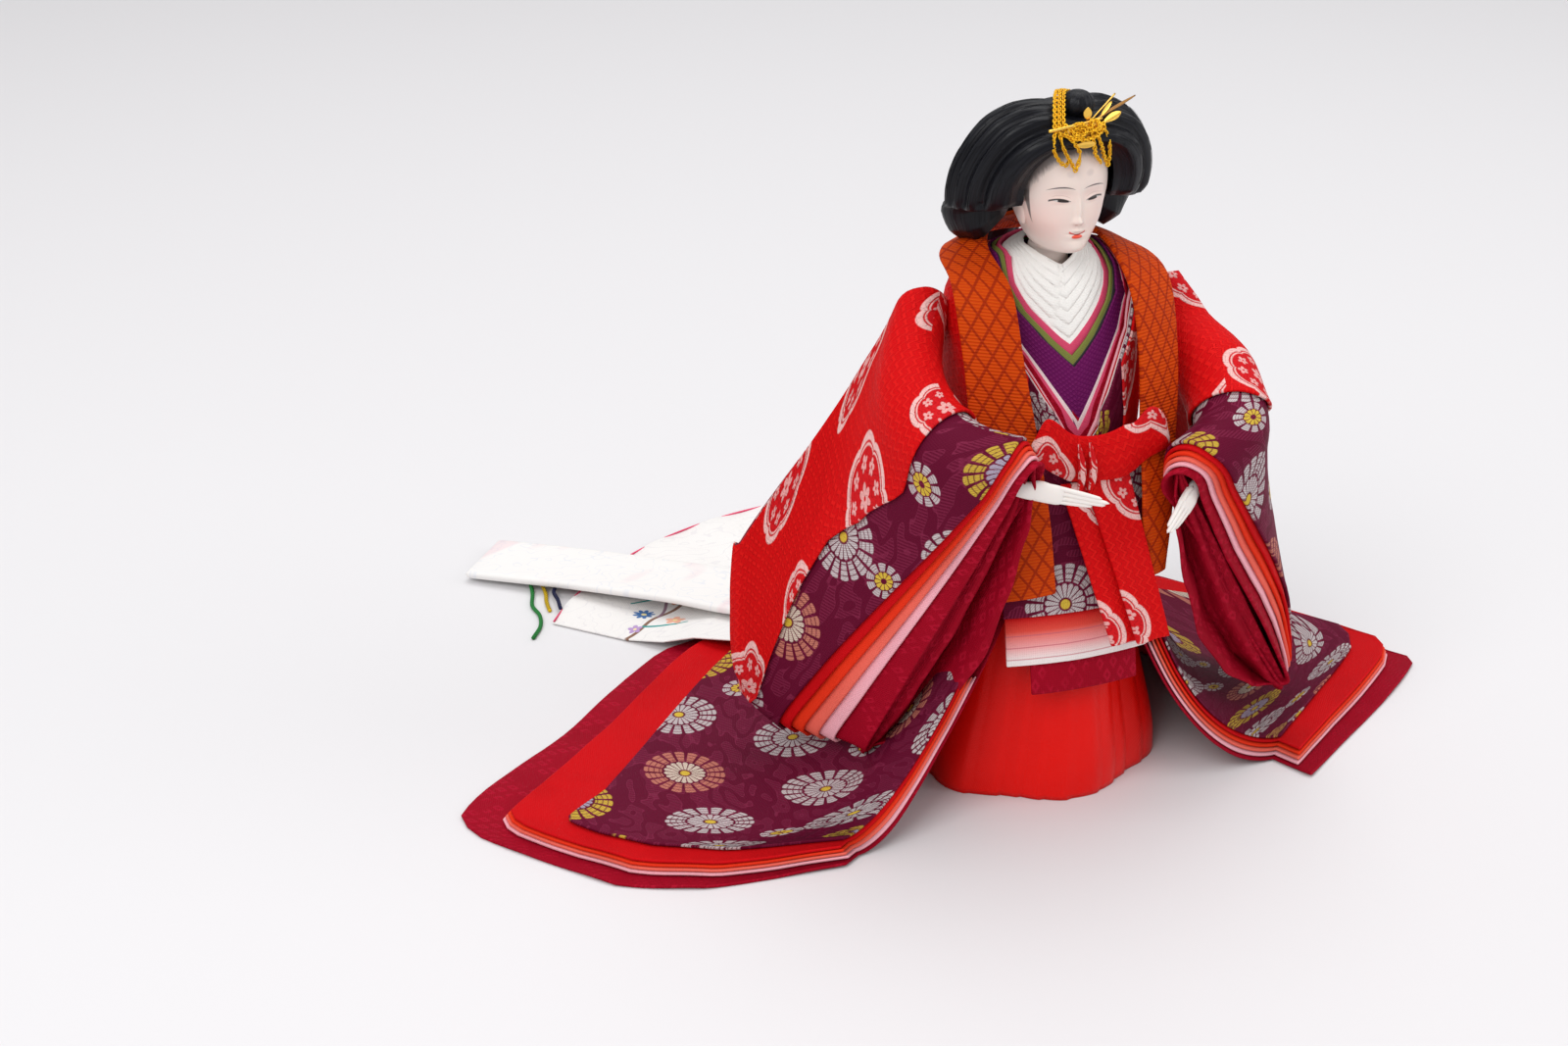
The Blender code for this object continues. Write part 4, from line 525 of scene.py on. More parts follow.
def clothPiece(name, material, grid, normals, thickness, wrap=False, rims="ab", uv=None,
               nodes=(), plump=1.0):
    # a lined sheet: the grid is its back, and its edges are padded and round
    if uv is None:
        uv = metricUv(grid, wrap)
    middle = grid + normals * thickness / 2
    half = np.full(grid.shape[:2], thickness / 2)
    if plump != 1.0:
        rows = np.arange(len(grid))[::-1] if "b" in rims else np.arange(len(grid))
        half *= (1 + (plump - 1) * np.exp(-rows / 1.2))[:, None]
        middle = middle + normals * (half - thickness / 2)[:, :, None]
    if wrap:
        middle, normals, half = (np.concatenate([a, a[:, :1]], axis=1) for a in (middle, normals, half))
    # each free edge gets two thinner rows, so that it turns over softly
    for edge, axis in (("a", 0), ("b", 0), ("l", 1), ("r", 1)):
        if (axis == 0 and edge not in rims) or (axis == 1 and wrap):
            continue
        first = edge in "al"
        at, near = (0, 1) if first else (-1, -2)
        last, base = np.take(middle, at, axis), np.take(half, at, axis)
        away = units(last - np.take(middle, near, axis)) * base[:, None]
        rim = [last, np.take(normals, at, axis), base, np.take(uv, at, axis)]
        for out, thin in ((0.55, 0.80), (0.9, 0.42)):
            rim[0], rim[2] = last + away * out, base * thin
            pairs = zip([np.expand_dims(row, axis) for row in rim], (middle, normals, half, uv))
            middle, normals, half, uv = [np.concatenate([a, b] if first else [b, a], axis) for a, b in pairs]
    rows, columns = middle.shape[:2]
    front, back = middle + normals * half[:, :, None], middle - normals * half[:, :, None]
    points = np.concatenate([front.reshape(-1, 3), back.reshape(-1, 3)])
    flatUv = np.concatenate([uv.reshape(-1, 2)] * 2)
    under = rows * columns
    r, c = np.meshgrid(np.arange(rows - 1), np.arange(columns - 1), indexing="ij")
    a = (r * columns + c).ravel()
    quad = np.stack([a, a + 1, a + 1 + columns, a + columns], axis=1)
    faces = [quad, quad[:, ::-1] + under]
    c = np.arange(columns - 1)
    faces.append(np.stack([c + 1, c, c + under, c + 1 + under], axis=1))
    c = c + (rows - 1) * columns
    faces.append(np.stack([c, c + 1, c + 1 + under, c + under], axis=1))
    if not wrap:
        r = np.arange(rows - 1) * columns
        faces.append(np.stack([r, r + columns, r + columns + under, r + under], axis=1))
        r = r + columns - 1
        faces.append(np.stack([r + columns, r, r + under, r + columns + under], axis=1))
    faces = np.concatenate(faces)
    mesh = bpy.data.meshes.new(name)
    mesh.from_pydata(points.tolist(), [], faces.tolist())
    layer = mesh.uv_layers.new(name="UVMap")
    layer.uv.foreach_set("vector", flatUv[faces.ravel()].ravel().astype(np.float32))
    piece = finishMesh(name, mesh, material, merge=True)
    place(piece, "doll", nodes)
    down, across = grid[1:, :-1] - grid[:-1, :-1], grid[:-1, 1:] - grid[:-1, :-1]
    area = float(np.linalg.norm(np.cross(down, across), axis=2).sum())
    width = float(np.linalg.norm(np.diff(grid, axis=1), axis=2).sum(axis=1).max())
    length = float(np.linalg.norm(np.diff(grid, axis=0), axis=2).sum(axis=0).max())
    width, length = max(width, 0.011), max(length, 0.011)
    area = min(max(area, 0.31 * width * length), width * length)


def finishMesh(name, mesh, material, merge=False, smooth=True):
    work = bmesh.new()
    work.from_mesh(mesh)
    if merge:
        bmesh.ops.remove_doubles(work, verts=work.verts, dist=2e-6)
    bmesh.ops.recalc_face_normals(work, faces=work.faces)
    if work.calc_volume(signed=True) < 0:
        bmesh.ops.reverse_faces(work, faces=work.faces)
    work.to_mesh(mesh)
    work.free()
    if smooth:
        mesh.shade_smooth()
    mesh.materials.append(material.material if isinstance(material, Wiring) else material)
    piece = bpy.data.objects.new(name, mesh)
    bpy.context.scene.collection.objects.link(piece)
    return piece


def place(piece, body, nodes=()):
    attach(piece, body)
    if nodes:
        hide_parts(*nodes)
    return piece


def ringMesh(name, rings, material, body, nodes=()):
    # closed solid through rings of equal count, with round-off left to the rings
    rings = np.asarray(rings, float)
    count = rings.shape[1]
    points = rings.reshape(-1, 3).tolist()
    faces, uvs = [], []
    along = np.concatenate([[0], np.cumsum(np.linalg.norm(np.diff(rings[:, 0], axis=0), axis=1))])
    around = np.linalg.norm(rings[len(rings) // 2] - np.roll(rings[len(rings) // 2], 1, axis=0), axis=1).sum()
    for level in range(len(rings) - 1):
        for step in range(count):
            a, b = level * count + step, level * count + (step + 1) % count
            faces.append((a, b, b + count, a + count))
            left, right = step / count * around, (step + 1) / count * around
            below, above = along[level], along[level + 1]
            uvs += [(left, below), (right, below), (right, above), (left, above)]
    faces.append(tuple(range(count))[::-1])
    last = (len(rings) - 1) * count
    faces.append(tuple(range(last, last + count)))
    uvs += [(0, 0)] * count + [(0, along[-1])] * count
    mesh = bpy.data.meshes.new(name)
    mesh.from_pydata(points, [], faces)
    layer = mesh.uv_layers.new(name="UVMap")
    layer.uv.foreach_set("vector", np.array(uvs, np.float32).ravel())
    return place(finishMesh(name, mesh, material), body, nodes)


def tube(name, points, radii, material, body, sides=10, nodes=()):
    points = [Vector(p) for p in points]
    if isinstance(radii, float):
        radii = [radii] * len(points)
    rings = []
    side = None
    for i, point in enumerate(points):
        along = (points[min(i + 1, len(points) - 1)] - points[max(i - 1, 0)]).normalized()
        if side is None:
            side = along.cross(Vector((0, 0, 1)))
            if side.length < 0.05:
                side = Vector((1, 0, 0))
        side = (side - along * side.dot(along)).normalized()
        up = side.cross(along)
        ring = []
        for k in range(sides):
            a = turn * k / sides
            ring.append(point + (side * math.cos(a) + up * math.sin(a)) * radii[i])
        rings.append(ring)
    return ringMesh(name, rings, material, body, nodes)


def route(keys, count):
    return [smoothKeys(keys, i * (len(keys) - 1) / (count - 1)) for i in range(count)]


# Camera, floor and light

cameraValues = dict(place=(-0.3108, -0.6038, 0.4123), turnDeg=-20.0, downDeg=26.0, lens=49.5)


def makeStage():
    camera = bpy.data.objects.new("camera", bpy.data.cameras.new("camera"))
    camera.data.lens = cameraValues["lens"]
    camera.location = cameraValues["place"]
    camera.rotation_euler = (math.radians(90 - cameraValues["downDeg"]), 0, math.radians(cameraValues["turnDeg"]))
    bpy.context.scene.collection.objects.link(camera)
    bpy.context.scene.camera = camera

    mesh = bpy.data.meshes.new("tableTop")
    mesh.from_pydata([(-6, -6, 0), (6, -6, 0), (6, 6, 0), (-6, 6, 0)], [], [(0, 1, 2, 3)])
    table = Wiring("paleTable", (0.735, 0.725, 0.735), roughness=0.5, level=0.25)
    finishMesh("tableTop", mesh, table, smooth=False)

    world = bpy.data.worlds.new("studio")
    world.use_nodes = True
    bpy.context.scene.world = world
    tree = world.node_tree
    plain, seen = tree.nodes["Background"], tree.nodes.new("ShaderNodeBackground")
    for node, colour, strength in ((plain, (0.97, 0.965, 0.98, 1), 0.62), (seen, (0.90, 0.90, 0.915, 1), 0.97)):
        node.inputs[0].default_value, node.inputs[1].default_value = colour, strength
    rays = tree.nodes.new("ShaderNodeLightPath")
    mix = tree.nodes.new("ShaderNodeMixShader")
    tree.links.new(rays.outputs["Is Camera Ray"], mix.inputs[0])
    tree.links.new(plain.outputs[0], mix.inputs[1])
    tree.links.new(seen.outputs[0], mix.inputs[2])
    tree.links.new(mix.outputs[0], tree.nodes["World Output"].inputs[0])

    for name, at, size, power in (
        ("softboxLeft", (-1.3, -0.9, 1.7), 1.3, 22),
        ("softboxTop", (0.3, 0.5, 2.0), 1.6, 18),
        ("softboxRight", (1.5, -0.8, 1.0), 1.0, 7),
    ):
        lamp = bpy.data.lights.new(name, "AREA")
        lamp.size, lamp.energy = size, power
        holder = bpy.data.objects.new(name, lamp)
        holder.location = at
        holder.rotation_euler = (Vector((0, 0, 0.1)) - Vector(at)).to_track_quat("-Z", "Y").to_euler()
        bpy.context.scene.collection.objects.link(holder)
    bpy.context.scene.view_settings.view_transform = "Standard"


makeStage()
print("camera and light set")

# Spread robes

robes = dict(
    order=("hitoe", "pale_pink", "salmon", "vermilion", "red", "uwagi"),
    looks=("crimson", "pink", "salmon", "vermilion", "red", "uwagi"),
    cloth=0.0009, pitch=0.00135, waist=0.034, waistHeight=0.121,
    # right, left, front, back
    reach=(0.204, 0.165, 0.061, 0.118),
    hems=(1.0, 0.61, 0.585, 0.56, 0.53, 0.0), lips=(1.0, 0.8, 0.6, 0.4, 0.2, 0.0), lip=0.0052,
    firstShare=(0, 0.45, 0.45, 0.45, 0, 0), upright=(0.3, 0.8),
    unevenness=0.0011, waveScale=24, rows=34, hemRows=7, columns=96,
)
# waist x, y; hip x, y, height; floor turn x, y; top hem x, y; lowest hem x, y
robeShares = (
    (-0.53, -0.80, -0.70, -1.20, 0.62, -2.12, -1.53, -0.441, -0.885, -0.471, -0.96),
    (-0.77, -0.65, -1.12, -1.02, 0.36, -2.24, -1.38, -0.623, -0.75, -0.672, -0.90),
    (-0.91, -0.41, -1.30, -0.65, 0.17, -1.94, -0.88, -0.735, -0.57, -0.809, -0.70),
    (-1.00, -0.06, -1.32, -0.09, 0.11, -1.76, -0.06, -0.843, -0.18, -1.000, 0.093),
    (-0.94, 0.29, -1.24, 0.44, 0.13, -1.53, 0.65, -0.627, 0.27, -0.765, 0.44),
    (-0.59, 0.78, -0.80, 1.08, 0.14, -1.06, 1.53, -0.392, 0.69, -0.515, 0.83),
    (0.00, 0.94, 0.00, 1.24, 0.18, 0.00, 1.65, 0.000, 0.85, 0.000, 1.00),
    (0.59, 0.78, 0.80, 1.08, 0.14, 1.06, 1.47, 0.515, 0.63, 0.636, 0.75),
    (1.00, -0.06, 1.32, -0.09, 0.13, 1.71, -0.06, 0.891, 0.12, 1.000, -0.10),
    (0.53, -0.80, 0.50, -1.24, 0.66, 1.24, -1.41, 0.485, -0.77, 0.527, -1.00),
)


def reachPoint(x, y):
    right, left, front, back = robes["reach"]
    return x * (right if x < 0 else left), y * (front if y < 0 else back)


def robePoint(at, down, beyond):
    curved, straight = smoothKeys(robeShares, at), straightKeys(robeShares, at)
    curved[7:] = curved[7:] * 0.35 + straight[7:] * 0.65
    w, top = robes["waist"], robes["waistHeight"]
    stack = robes["pitch"] * 5 + robes["cloth"]
    waist = np.array((curved[0] * w, curved[1] * w, top))
    hip = np.array((curved[2] * w, curved[3] * w, curved[4] * top))
    knee = np.array((curved[5] * w, curved[6] * w, stack))
    hem = np.array((*reachPoint(curved[7], curved[8]), stack))
    low = np.array((*reachPoint(curved[9], curved[10]), stack))
    t = down
    point = waist * (1 - t) ** 3 + 3 * hip * t * (1 - t) ** 2 + 3 * knee * t * t * (1 - t) + hem * t ** 3
    return point + (low - hem) * beyond


def makeRobes():
    last = len(robeShares) - 1
    for level, name in enumerate(robes["order"]):
        rank = 5 - level
        hem, lip = robes["hems"][level], robes["lips"][level]
        downs = [(t, 0) for t in np.linspace(robes["firstShare"][level], 1, robes["rows"])]
        if hem:
            downs += [(1, hem * s) for s in np.linspace(0.14, 1, robes["hemRows"])]
        places = np.linspace(0, last, robes["columns"])
        grid = np.array([[robePoint(at, t, more) for at in places] for t, more in downs])
        if lip:
            for at, inner, side in ((0, 0.3, 0), (last, last - 0.3, -1)):
                edge = grid[:, side]
                near = np.array([robePoint(inner, t, more) for t, more in downs])
                away = units(edge - near)
                for share in (0.5, 1.0):
                    column = (edge + away * robes["lip"] * lip * share)[:, None]
                    grid = np.concatenate([column, grid] if side == 0 else [grid, column], axis=1)
        normals = upperNormals(grid)
        share = np.array([t for t, more in downs])
        low, high = robes["upright"]
        up = np.clip((share - low) / (high - low), 0, 1)[:, None, None]
        normals = units(normals * (1 - up) + np.array((0, 0, 1)) * up)
        # soft waves where the cloth lies on the table, alike for every layer
        wave = np.zeros(grid.shape[:2])
        for r in range(len(grid)):
            strength = min(max((share[r] - 0.25) * 1.6, 0), 1)
            for c in range(grid.shape[1]):
                p = Vector(grid[r, c]) * robes["waveScale"]
                wave[r, c] = (noise.noise(p) + 0.5 * noise.noise(p * 2.3)) * strength
        grid = grid + normals * (np.abs(wave) * robes["unevenness"])[:, :, None]
        back = grid - normals * (robes["pitch"] * rank + robes["cloth"])
        back[:, :, 2] = np.maximum(back[:, :, 2], robes["pitch"] * level + 0.00005)
        clothPiece(f"{name}RobeSkirt", mats[robes["looks"][level]], back, normals, robes["cloth"],
                   rims="b", nodes=[f"{name}_skirt"], plump=1.25)


makeRobes()
print("robes spread")

# Sleeves

sleeves = dict(
    order=("hitoe", "pale_pink", "salmon", "vermilion", "red", "uwagi", "karaginu"),
    looks=("crimson", "pink", "salmon", "vermilion", "red", "uwagi", "karaginu"),
    right=(
        (-0.0382, 0.0035, 0.1715, -0.1020, 0.0120, 0.0870, 0.0060),
        (-0.0480, -0.0100, 0.1600, -0.1010, 0.0080, 0.0460, 0.0065),
        (-0.0530, -0.0270, 0.1485, -0.0950, 0.0080, 0.0325, 0.0070),
        (-0.0490, -0.0460, 0.1410, -0.0870, -0.0020, 0.0260, 0.0058),
        (-0.0300, -0.0620, 0.1365, -0.0720, -0.0300, 0.0250, 0.0052),
    ),
    left=(
        (0.0425, 0.0035, 0.1680, 0.0795, 0.0140, 0.0920, 0.0062),
        (0.0510, -0.0020, 0.1530, 0.0820, 0.0040, 0.0520, 0.0070),
        (0.0550, -0.0210, 0.1440, 0.0880, -0.0060, 0.0340, 0.0062),
        (0.0480, -0.0430, 0.1320, 0.0900, -0.0210, 0.0260, 0.0048),
        (0.0230, -0.0540, 0.1220, 0.0840, -0.0400, 0.0250, 0.0052),
    ),
    round=((0.012, 0.62), (0.055, 1.0), (0.15, 0.72), (0.38, 0.42), (0.75, 0.45), (0.97, 0.28)),
    # share of the way down, share of the way to the mouth where the short jacket's sleeve ends
    jacketMouth={-1: ((0, 0.68), (0.15, 0.71), (0.3, 0.62), (0.45, 0.5), (0.65, 0.46), (1, 0.45)),
                 1: ((0, 0.68), (0.15, 0.58), (0.38, 0.38), (0.75, 0.26), (1, 0.22))},
    cloth=0.0009, pitch=0.00125, cuffs=(1.0, 0.66, 0.5, 0.34, 0.18), unevenness=0.0007,
    perKey=5, broadRows=40, narrowRows=16,
)


def jacketMouth(down, side): return smoothTable(sleeves["jacketMouth"][side], down)
def robeMouth(down): return 0.93 - 0.21 * down


def sleevePoint(keys, side, place, down, thick):
    key = smoothKeys(keys, place * (len(keys) - 1))
    chord = key[3:6] - key[:3]
    bend = min(place / 0.6, 1)
    forward = np.array((-0.1, -0.95, -0.3)) * (1 - bend) + np.array((0.45, -0.85, -0.2)) * bend
    outward = unit(np.cross(forward * (-side, 1, 1), chord)) * side
    return key[:3] + chord * down + outward * thick * key[6]


def makeSleeves(hand, keys, side):
    loop = [(0.0, 0.0), *sleeves["round"], (1.0, 0.0), *((d, -t) for d, t in reversed(sleeves["round"]))]
    count = len(loop)
    closed = [loop[-2], loop[-1], *loop, loop[0], loop[1], loop[2]]
    around = [smoothKeys(closed, 2 + i / sleeves["perKey"]) for i in range(count * sleeves["perKey"])]
    around = [(min(max(d, 0), 1), t) for d, t in around]
    for level, name in enumerate(sleeves["order"]):
        steps = sleeves["broadRows" if name in ("hitoe", "uwagi", "karaginu") else "narrowRows"]
        grid, levels = [], []
        for i in range(steps + 1):
            row, rowLevels = [], []
            for down, thick in around:
                jacket, robe = jacketMouth(down, side), robeMouth(down)
                if name == "karaginu":
                    start, end = 0.0, jacket
                elif name == "uwagi":
                    start, end = 0.0, robe
                elif name == "hitoe":
                    start, end = 0.0, 1.0
                else:
                    start = jacket if name == "red" else (jacket + robe) / 2
                    end = robe + (1 - robe) * sleeves["cuffs"][level]
                at = start + (end - start) * i / steps
                row.append(sleevePoint(keys, side, at, down, thick))
                if level >= 5:
                    rise = np.interp(at / jacket, (0, 1 / 3, 2 / 3, 1), (0.2, 0.44, 0.72, 1.0)) * 5 + (level - 5)
                else:
                    rise = level
                rowLevels.append(rise)
            grid.append(row)
            levels.append(rowLevels)
        grid, levels = np.array(grid), np.array(levels)
        normals = gridNormals(grid, wrap=True)
        sheet = len(around) // 4
        if ((grid[:, sheet] - grid[:, -sheet]) * normals[:, sheet]).sum() < 0:
            normals = -normals
        base = grid + normals * (levels * sleeves["pitch"])[:, :, None]
        base = wrinkle(base, normals, sleeves["unevenness"], 42, 3.0)
        clothPiece(f"{name}Sleeve{hand.capitalize()}", mats[sleeves["looks"][level]], base, normals, sleeves["cloth"],
                   wrap=True, rims="b", nodes=[f"{name}_{hand}_sleeve"], plump=1.45)


mouths = dict(
    # share of the way down, reach of the inner wall
    reach=((0, 0.0015), (0.08, 0.0060), (0.2, 0.0110), (0.4, 0.0165), (0.6, 0.0205), (0.8, 0.0185), (0.93, 0.0120),
           (1, 0.0030)),
    # share of the way across, depth of the pocket
    pocket=((0, 0.0), (0.18, 0.0015), (0.34, 0.0000), (0.52, 0.0085), (0.66, 0.0120), (0.80, 0.0050), (0.92, 0.0005),
            (1, 0.0)),
    thickness=0.0008, place=0.975, hang=0.0030, rows=64, columns=41,
    right=(0.88, -0.38, -0.30), left=(-0.84, -0.10, -0.40), into=(0.15, 0.90, 0.05),
)


def makeMouth(hand, keys, side):
    toward, into = unit(np.array(mouths[hand])), np.array(mouths["into"])
    grid = []
    for down in np.linspace(0.01, 1.0, mouths["rows"]):
        start = sleevePoint(keys, side, mouths["place"], down, 0.0)
        reach = smoothTable(mouths["reach"], down)
        drop = mouths["hang"] * max(0, down - 0.75) * 4
        row = []
        for s in np.linspace(0, 1, mouths["columns"]):
            pocket = smoothTable(mouths["pocket"], s) * min(1, reach / 0.012)
            row.append(start + toward * reach * s + into * pocket + np.array((0, 0, -drop * math.sin(math.pi * s))))
        grid.append(row)
    grid = np.array(grid)
    normals = gridNormals(grid)
    if normals[30, 5][1] > 0:
        normals = -normals
    grid = wrinkle(grid, normals, 0.0009, 55, 4.0, (1.6, 1.6, 0.5))
    clothPiece(f"sleeveLining{hand.capitalize()}", mats["crimson"], grid, normals, mouths["thickness"],
               plump=1.3)


for make in (makeSleeves, makeMouth):
    make("right", sleeves["right"], -1)
    make("left", sleeves["left"], 1)
print("sleeves hung")

# Collars and bodice

bodice = dict(
    # height; half width, front, back of the innermost layer
    profile=((0.118, 0.0240, 0.0260, 0.0240), (0.133, 0.0250, 0.0255, 0.0220), (0.150, 0.0260, 0.0210, 0.0205),
             (0.160, 0.0265, 0.0185, 0.0185), (0.170, 0.0250, 0.0155, 0.0160), (0.177, 0.0205, 0.0132, 0.0138),
             (0.183, 0.0145, 0.0115, 0.0122), (0.188, 0.0118, 0.0102, 0.0110), (0.196, 0.0108, 0.0098, 0.0104)),
    # ring heights in front, beside the neck, behind
    rings=((0.1790, 0.1862, 0.1880), (0.1570, 0.1845, 0.1865), (0.1535, 0.1830, 0.1848), (0.1498, 0.1818, 0.1832),
           (0.1235, 0.1798, 0.1815), (0.1205, 0.1775, 0.1795), (0.1200, 0.1690, 0.1710), (0.1195, 0.1500, 0.1500),
           (0.1190, 0.1190, 0.1190)),
    power=2.2, cloth=0.0009, pitch=0.00125,
)


def oval(halfWidth, front, back, angle, power):
    side, depth = math.sin(angle), math.cos(angle)
    reach = front if depth > 0 else back
    x, y = (math.copysign(abs(part) ** (2 / power), part) for part in (side, depth))
    return halfWidth * x, -reach * y


def bodicePoint(angle, ring):
    front, side, back = straightKeys(bodice["rings"], ring)
    end = front if math.cos(angle) > 0 else back
    height = end + (side - end) * abs(math.sin(angle))
    table = np.array(bodice["profile"])
    x, y = oval(*(np.interp(height, table[:, 0], table[:, k]) for k in (1, 2, 3)), angle, bodice["power"])
    return np.array((x, y, height))


def bodiceGrid(first, last, steps, angles):
    return np.array([[bodicePoint(a, first + (last - first) * i / steps) for a in angles] for i in range(steps + 1)])


def makeBodice():
    ringed = [turn * i / 72 for i in range(72)]
    layers = (
        ("pinkCollar", "pink_collar", "rose", 1, 3, 1),
        ("greenCollar", "green_collar", "olive", 2, 4, 2),
        ("slateCollar", None, "slate", 2.74, 3.6, 2.6),
        ("violetKosode", "violet_kosode", "violet", 3, 8, 3),
        ("crimsonCollar", None, "crimson", 3.52, 4.6, 3.25),
        ("paleCollar", None, "pale", 3.62, 4.7, 3.45),
        ("roseCollar", None, "rose", 3.72, 4.8, 3.65),
        ("deepCollar", None, "crimson", 3.82, 4.9, 3.82),
        ("kasaneBodice", "kasane_bodice", "pink", 4, 8, 4),
        ("redCollar", None, "red", 4.28, 5.6, 4.55),
        ("paleOuterCollar", None, "pale", 4.62, 5.8, 4.75),
        ("uwagiBodice", "uwagi_bodice", "uwagi", 5, 8, 5),
    )
    for name, node, look, first, last, level in layers:
        grid = bodiceGrid(first, last, int(6 + 3 * (last - first)), ringed)
        normals = outwardNormals(grid)
        cloth = bodice["cloth"] if node else bodice["cloth"] * 0.45
        clothPiece(name, mats[look], grid + normals * bodice["pitch"] * level, normals, cloth, wrap=True,
                   rims="a", nodes=[node] if node else [])
    half = [math.radians(a) for a in np.linspace(30, 330, 60)]
    grid = bodiceGrid(5, 8, 15, half)
    normals = outwardNormals(grid, wrap=False)
    clothPiece("jacketBody", mats["karaginu"], grid + normals * bodice["pitch"] * 6, normals, bodice["cloth"],
               nodes=["karaginu_body"])


makeBodice()

collar = dict(
    # half width, front, back, middle; heights in front, beside the neck, behind
    top=(0.0080, 0.0100, 0.0080, -0.0012), heights=(0.1814, 0.1861, 0.1890),
    folds=7, depth=0.00055, thickness=0.0005, over=0.0008, rows=90, columns=160,
)


def makeWhiteCollar():
    width, front, back, middle = collar["top"]
    endFront, endSide, endBack = collar["heights"]
    grid = []
    for r in np.linspace(0, 1, collar["rows"]):
        row = []
        for k in range(collar["columns"]):
            angle = turn * k / collar["columns"]
            x, y = oval(width, front, back, angle, 2.0)
            end = endFront if math.cos(angle) > 0 else endBack
            high = np.array((x, y + middle, end + (endSide - end) * abs(math.sin(angle)) ** 0.9))
            low = bodicePoint(angle, 2)
            row.append(high + (low - high) * r + np.array((x, y, 0)) * 0.10 * math.sin(math.pi * r))
        grid.append(row)
    grid = np.array(grid)
    normals = outwardNormals(grid)
    rows = np.linspace(0, 1, collar["rows"])[:, None]
    around = np.arange(collar["columns"])[None, :] * turn / collar["columns"]
    # the doll's left side laps over its right, and its folds run on across the middle
    lap = np.clip((np.sin(around) + 0.10 + rows * 0.16) / 0.05, 0, 1) * np.clip((np.cos(around) + 0.9) / 0.4, 0, 1)
    phase = (rows * collar["folds"] + lap * 0.5 + np.sin(around * 3) * 0.12) % 1.0
    rib = np.where(phase < 0.82, (phase / 0.82) ** 0.7, (1 - phase) / 0.18)
    rib = rib * collar["depth"] * np.clip((1.02 - rows) * 8, 0, 1)
    grid = grid + normals * (rib + lap * collar["over"])[:, :, None]
    grid = wrinkle(grid, normals, 0.00015, 160, 3.0)
    ribbed = gridNormals(grid, wrap=True)
    ribbed = ribbed * np.sign((ribbed * normals).sum())
    clothPiece("whiteCollar", mats["white"], grid, ribbed, collar["thickness"], wrap=True, rims="a",
               nodes=["white_collar"])


makeWhiteCollar()

lapel = dict(
    # inner edge x, y, z; outer edge x, y, z
    edges=(
        (-0.0140, -0.0465, 0.0825, -0.0310, -0.0440, 0.0810), (-0.0160, -0.0430, 0.1080, -0.0340, -0.0385, 0.1080),
        (-0.0185, -0.0370, 0.1330, -0.0370, -0.0290, 0.1350), (-0.0210, -0.0300, 0.1560, -0.0375, -0.0220, 0.1570),
        (-0.0215, -0.0195, 0.1775, -0.0370, -0.0100, 0.1780), (-0.0215, -0.0005, 0.1866, -0.0335, 0.0080, 0.1828),
        (-0.0115, 0.0150, 0.1890, -0.0200, 0.0220, 0.1820), (0.0000, 0.0195, 0.1900, 0.0000, 0.0270, 0.1825),
        (0.0115, 0.0150, 0.1885, 0.0205, 0.0215, 0.1810), (0.0185, -0.0015, 0.1865, 0.0325, 0.0070, 0.1800),
        (0.0200, -0.0200, 0.1765, 0.0385, -0.0105, 0.1745), (0.0200, -0.0310, 0.1550, 0.0375, -0.0230, 0.1540),
        (0.0190, -0.0370, 0.1330, 0.0345, -0.0310, 0.1320), (0.0190, -0.0430, 0.1060, 0.0310, -0.0395, 0.1060),
        (0.0190, -0.0455, 0.0820, 0.0280, -0.0435, 0.0825),
    ),
    thickness=0.0014, crown=0.0007,
)


def makeLapel():
    keys = lapel["edges"]
    grid = []
    for key in route(keys, 110):
        grid.append([key[:3] + (key[3:6] - key[:3]) * s for s in np.linspace(0, 1, 9)])
    grid = np.array(grid)
    normals = frontNormals(grid)
    crown = np.sin(np.linspace(0, math.pi, 9))[None, :, None]
    grid = wrinkle(grid + normals * crown * lapel["crown"], normals, 0.0004, 60, 9.0)
    uv = metricUv(grid)
    uv[:, :, 1] = uv[:, 4:5, 1]
    clothPiece("jacketLapel", mats["orange"], grid, normals, lapel["thickness"], rims="ab", uv=uv, nodes=["karaginu_lapel"])


makeLapel()
print("collars and lapel made")

# Front panels and sash

panels = dict(
    top=0.1242, low=0.045, topFront=0.0315, lowFront=0.0490, round=0.0035, halfWidth=0.03,
    pieces=(("hitoe_front_panel", "crimson", 0, -0.020, 0.018, 0.0455),
            ("kasane_front_panel", "kasanePanel", 1, -0.0285, 0.0215, 0.0565),
            ("uwagi_front_panel", "uwagi", 2, -0.0295, 0.0225, 0.0735)),
)
sash = dict(
    centre=(0.0035, 0.1300), halfWidth=0.0245, halfHeight=0.0115, thickness=0.0022, front=0.0420, back=0.0022,
    # along, upper edge, lower edge, set back
    shares=((-1.0, 0.30, 0.05, 0.0), (-0.84, 1.00, -0.36, 0.0), (-0.52, 0.50, -0.80, -0.2), (-0.30, 0.34, -0.92, -0.3),
            (0.00, 0.32, -0.95, -0.3), (0.28, 0.48, -0.98, -0.3), (0.44, 0.55, -0.85, -0.2), (0.66, 0.92, -0.55, 0.0),
            (0.88, 0.55, -0.40, 0.4), (1.0, -0.28, -0.42, 1.0)),
    tails=(("sash_tail_inner", 0, (-0.0095, 0.0015, 0.1165), (0.0040, 0.0150, 0.0640)),
           ("sash_tail_outer", 1, (-0.0020, 0.0135, 0.1186), (0.0130, 0.0250, 0.0635))),
)


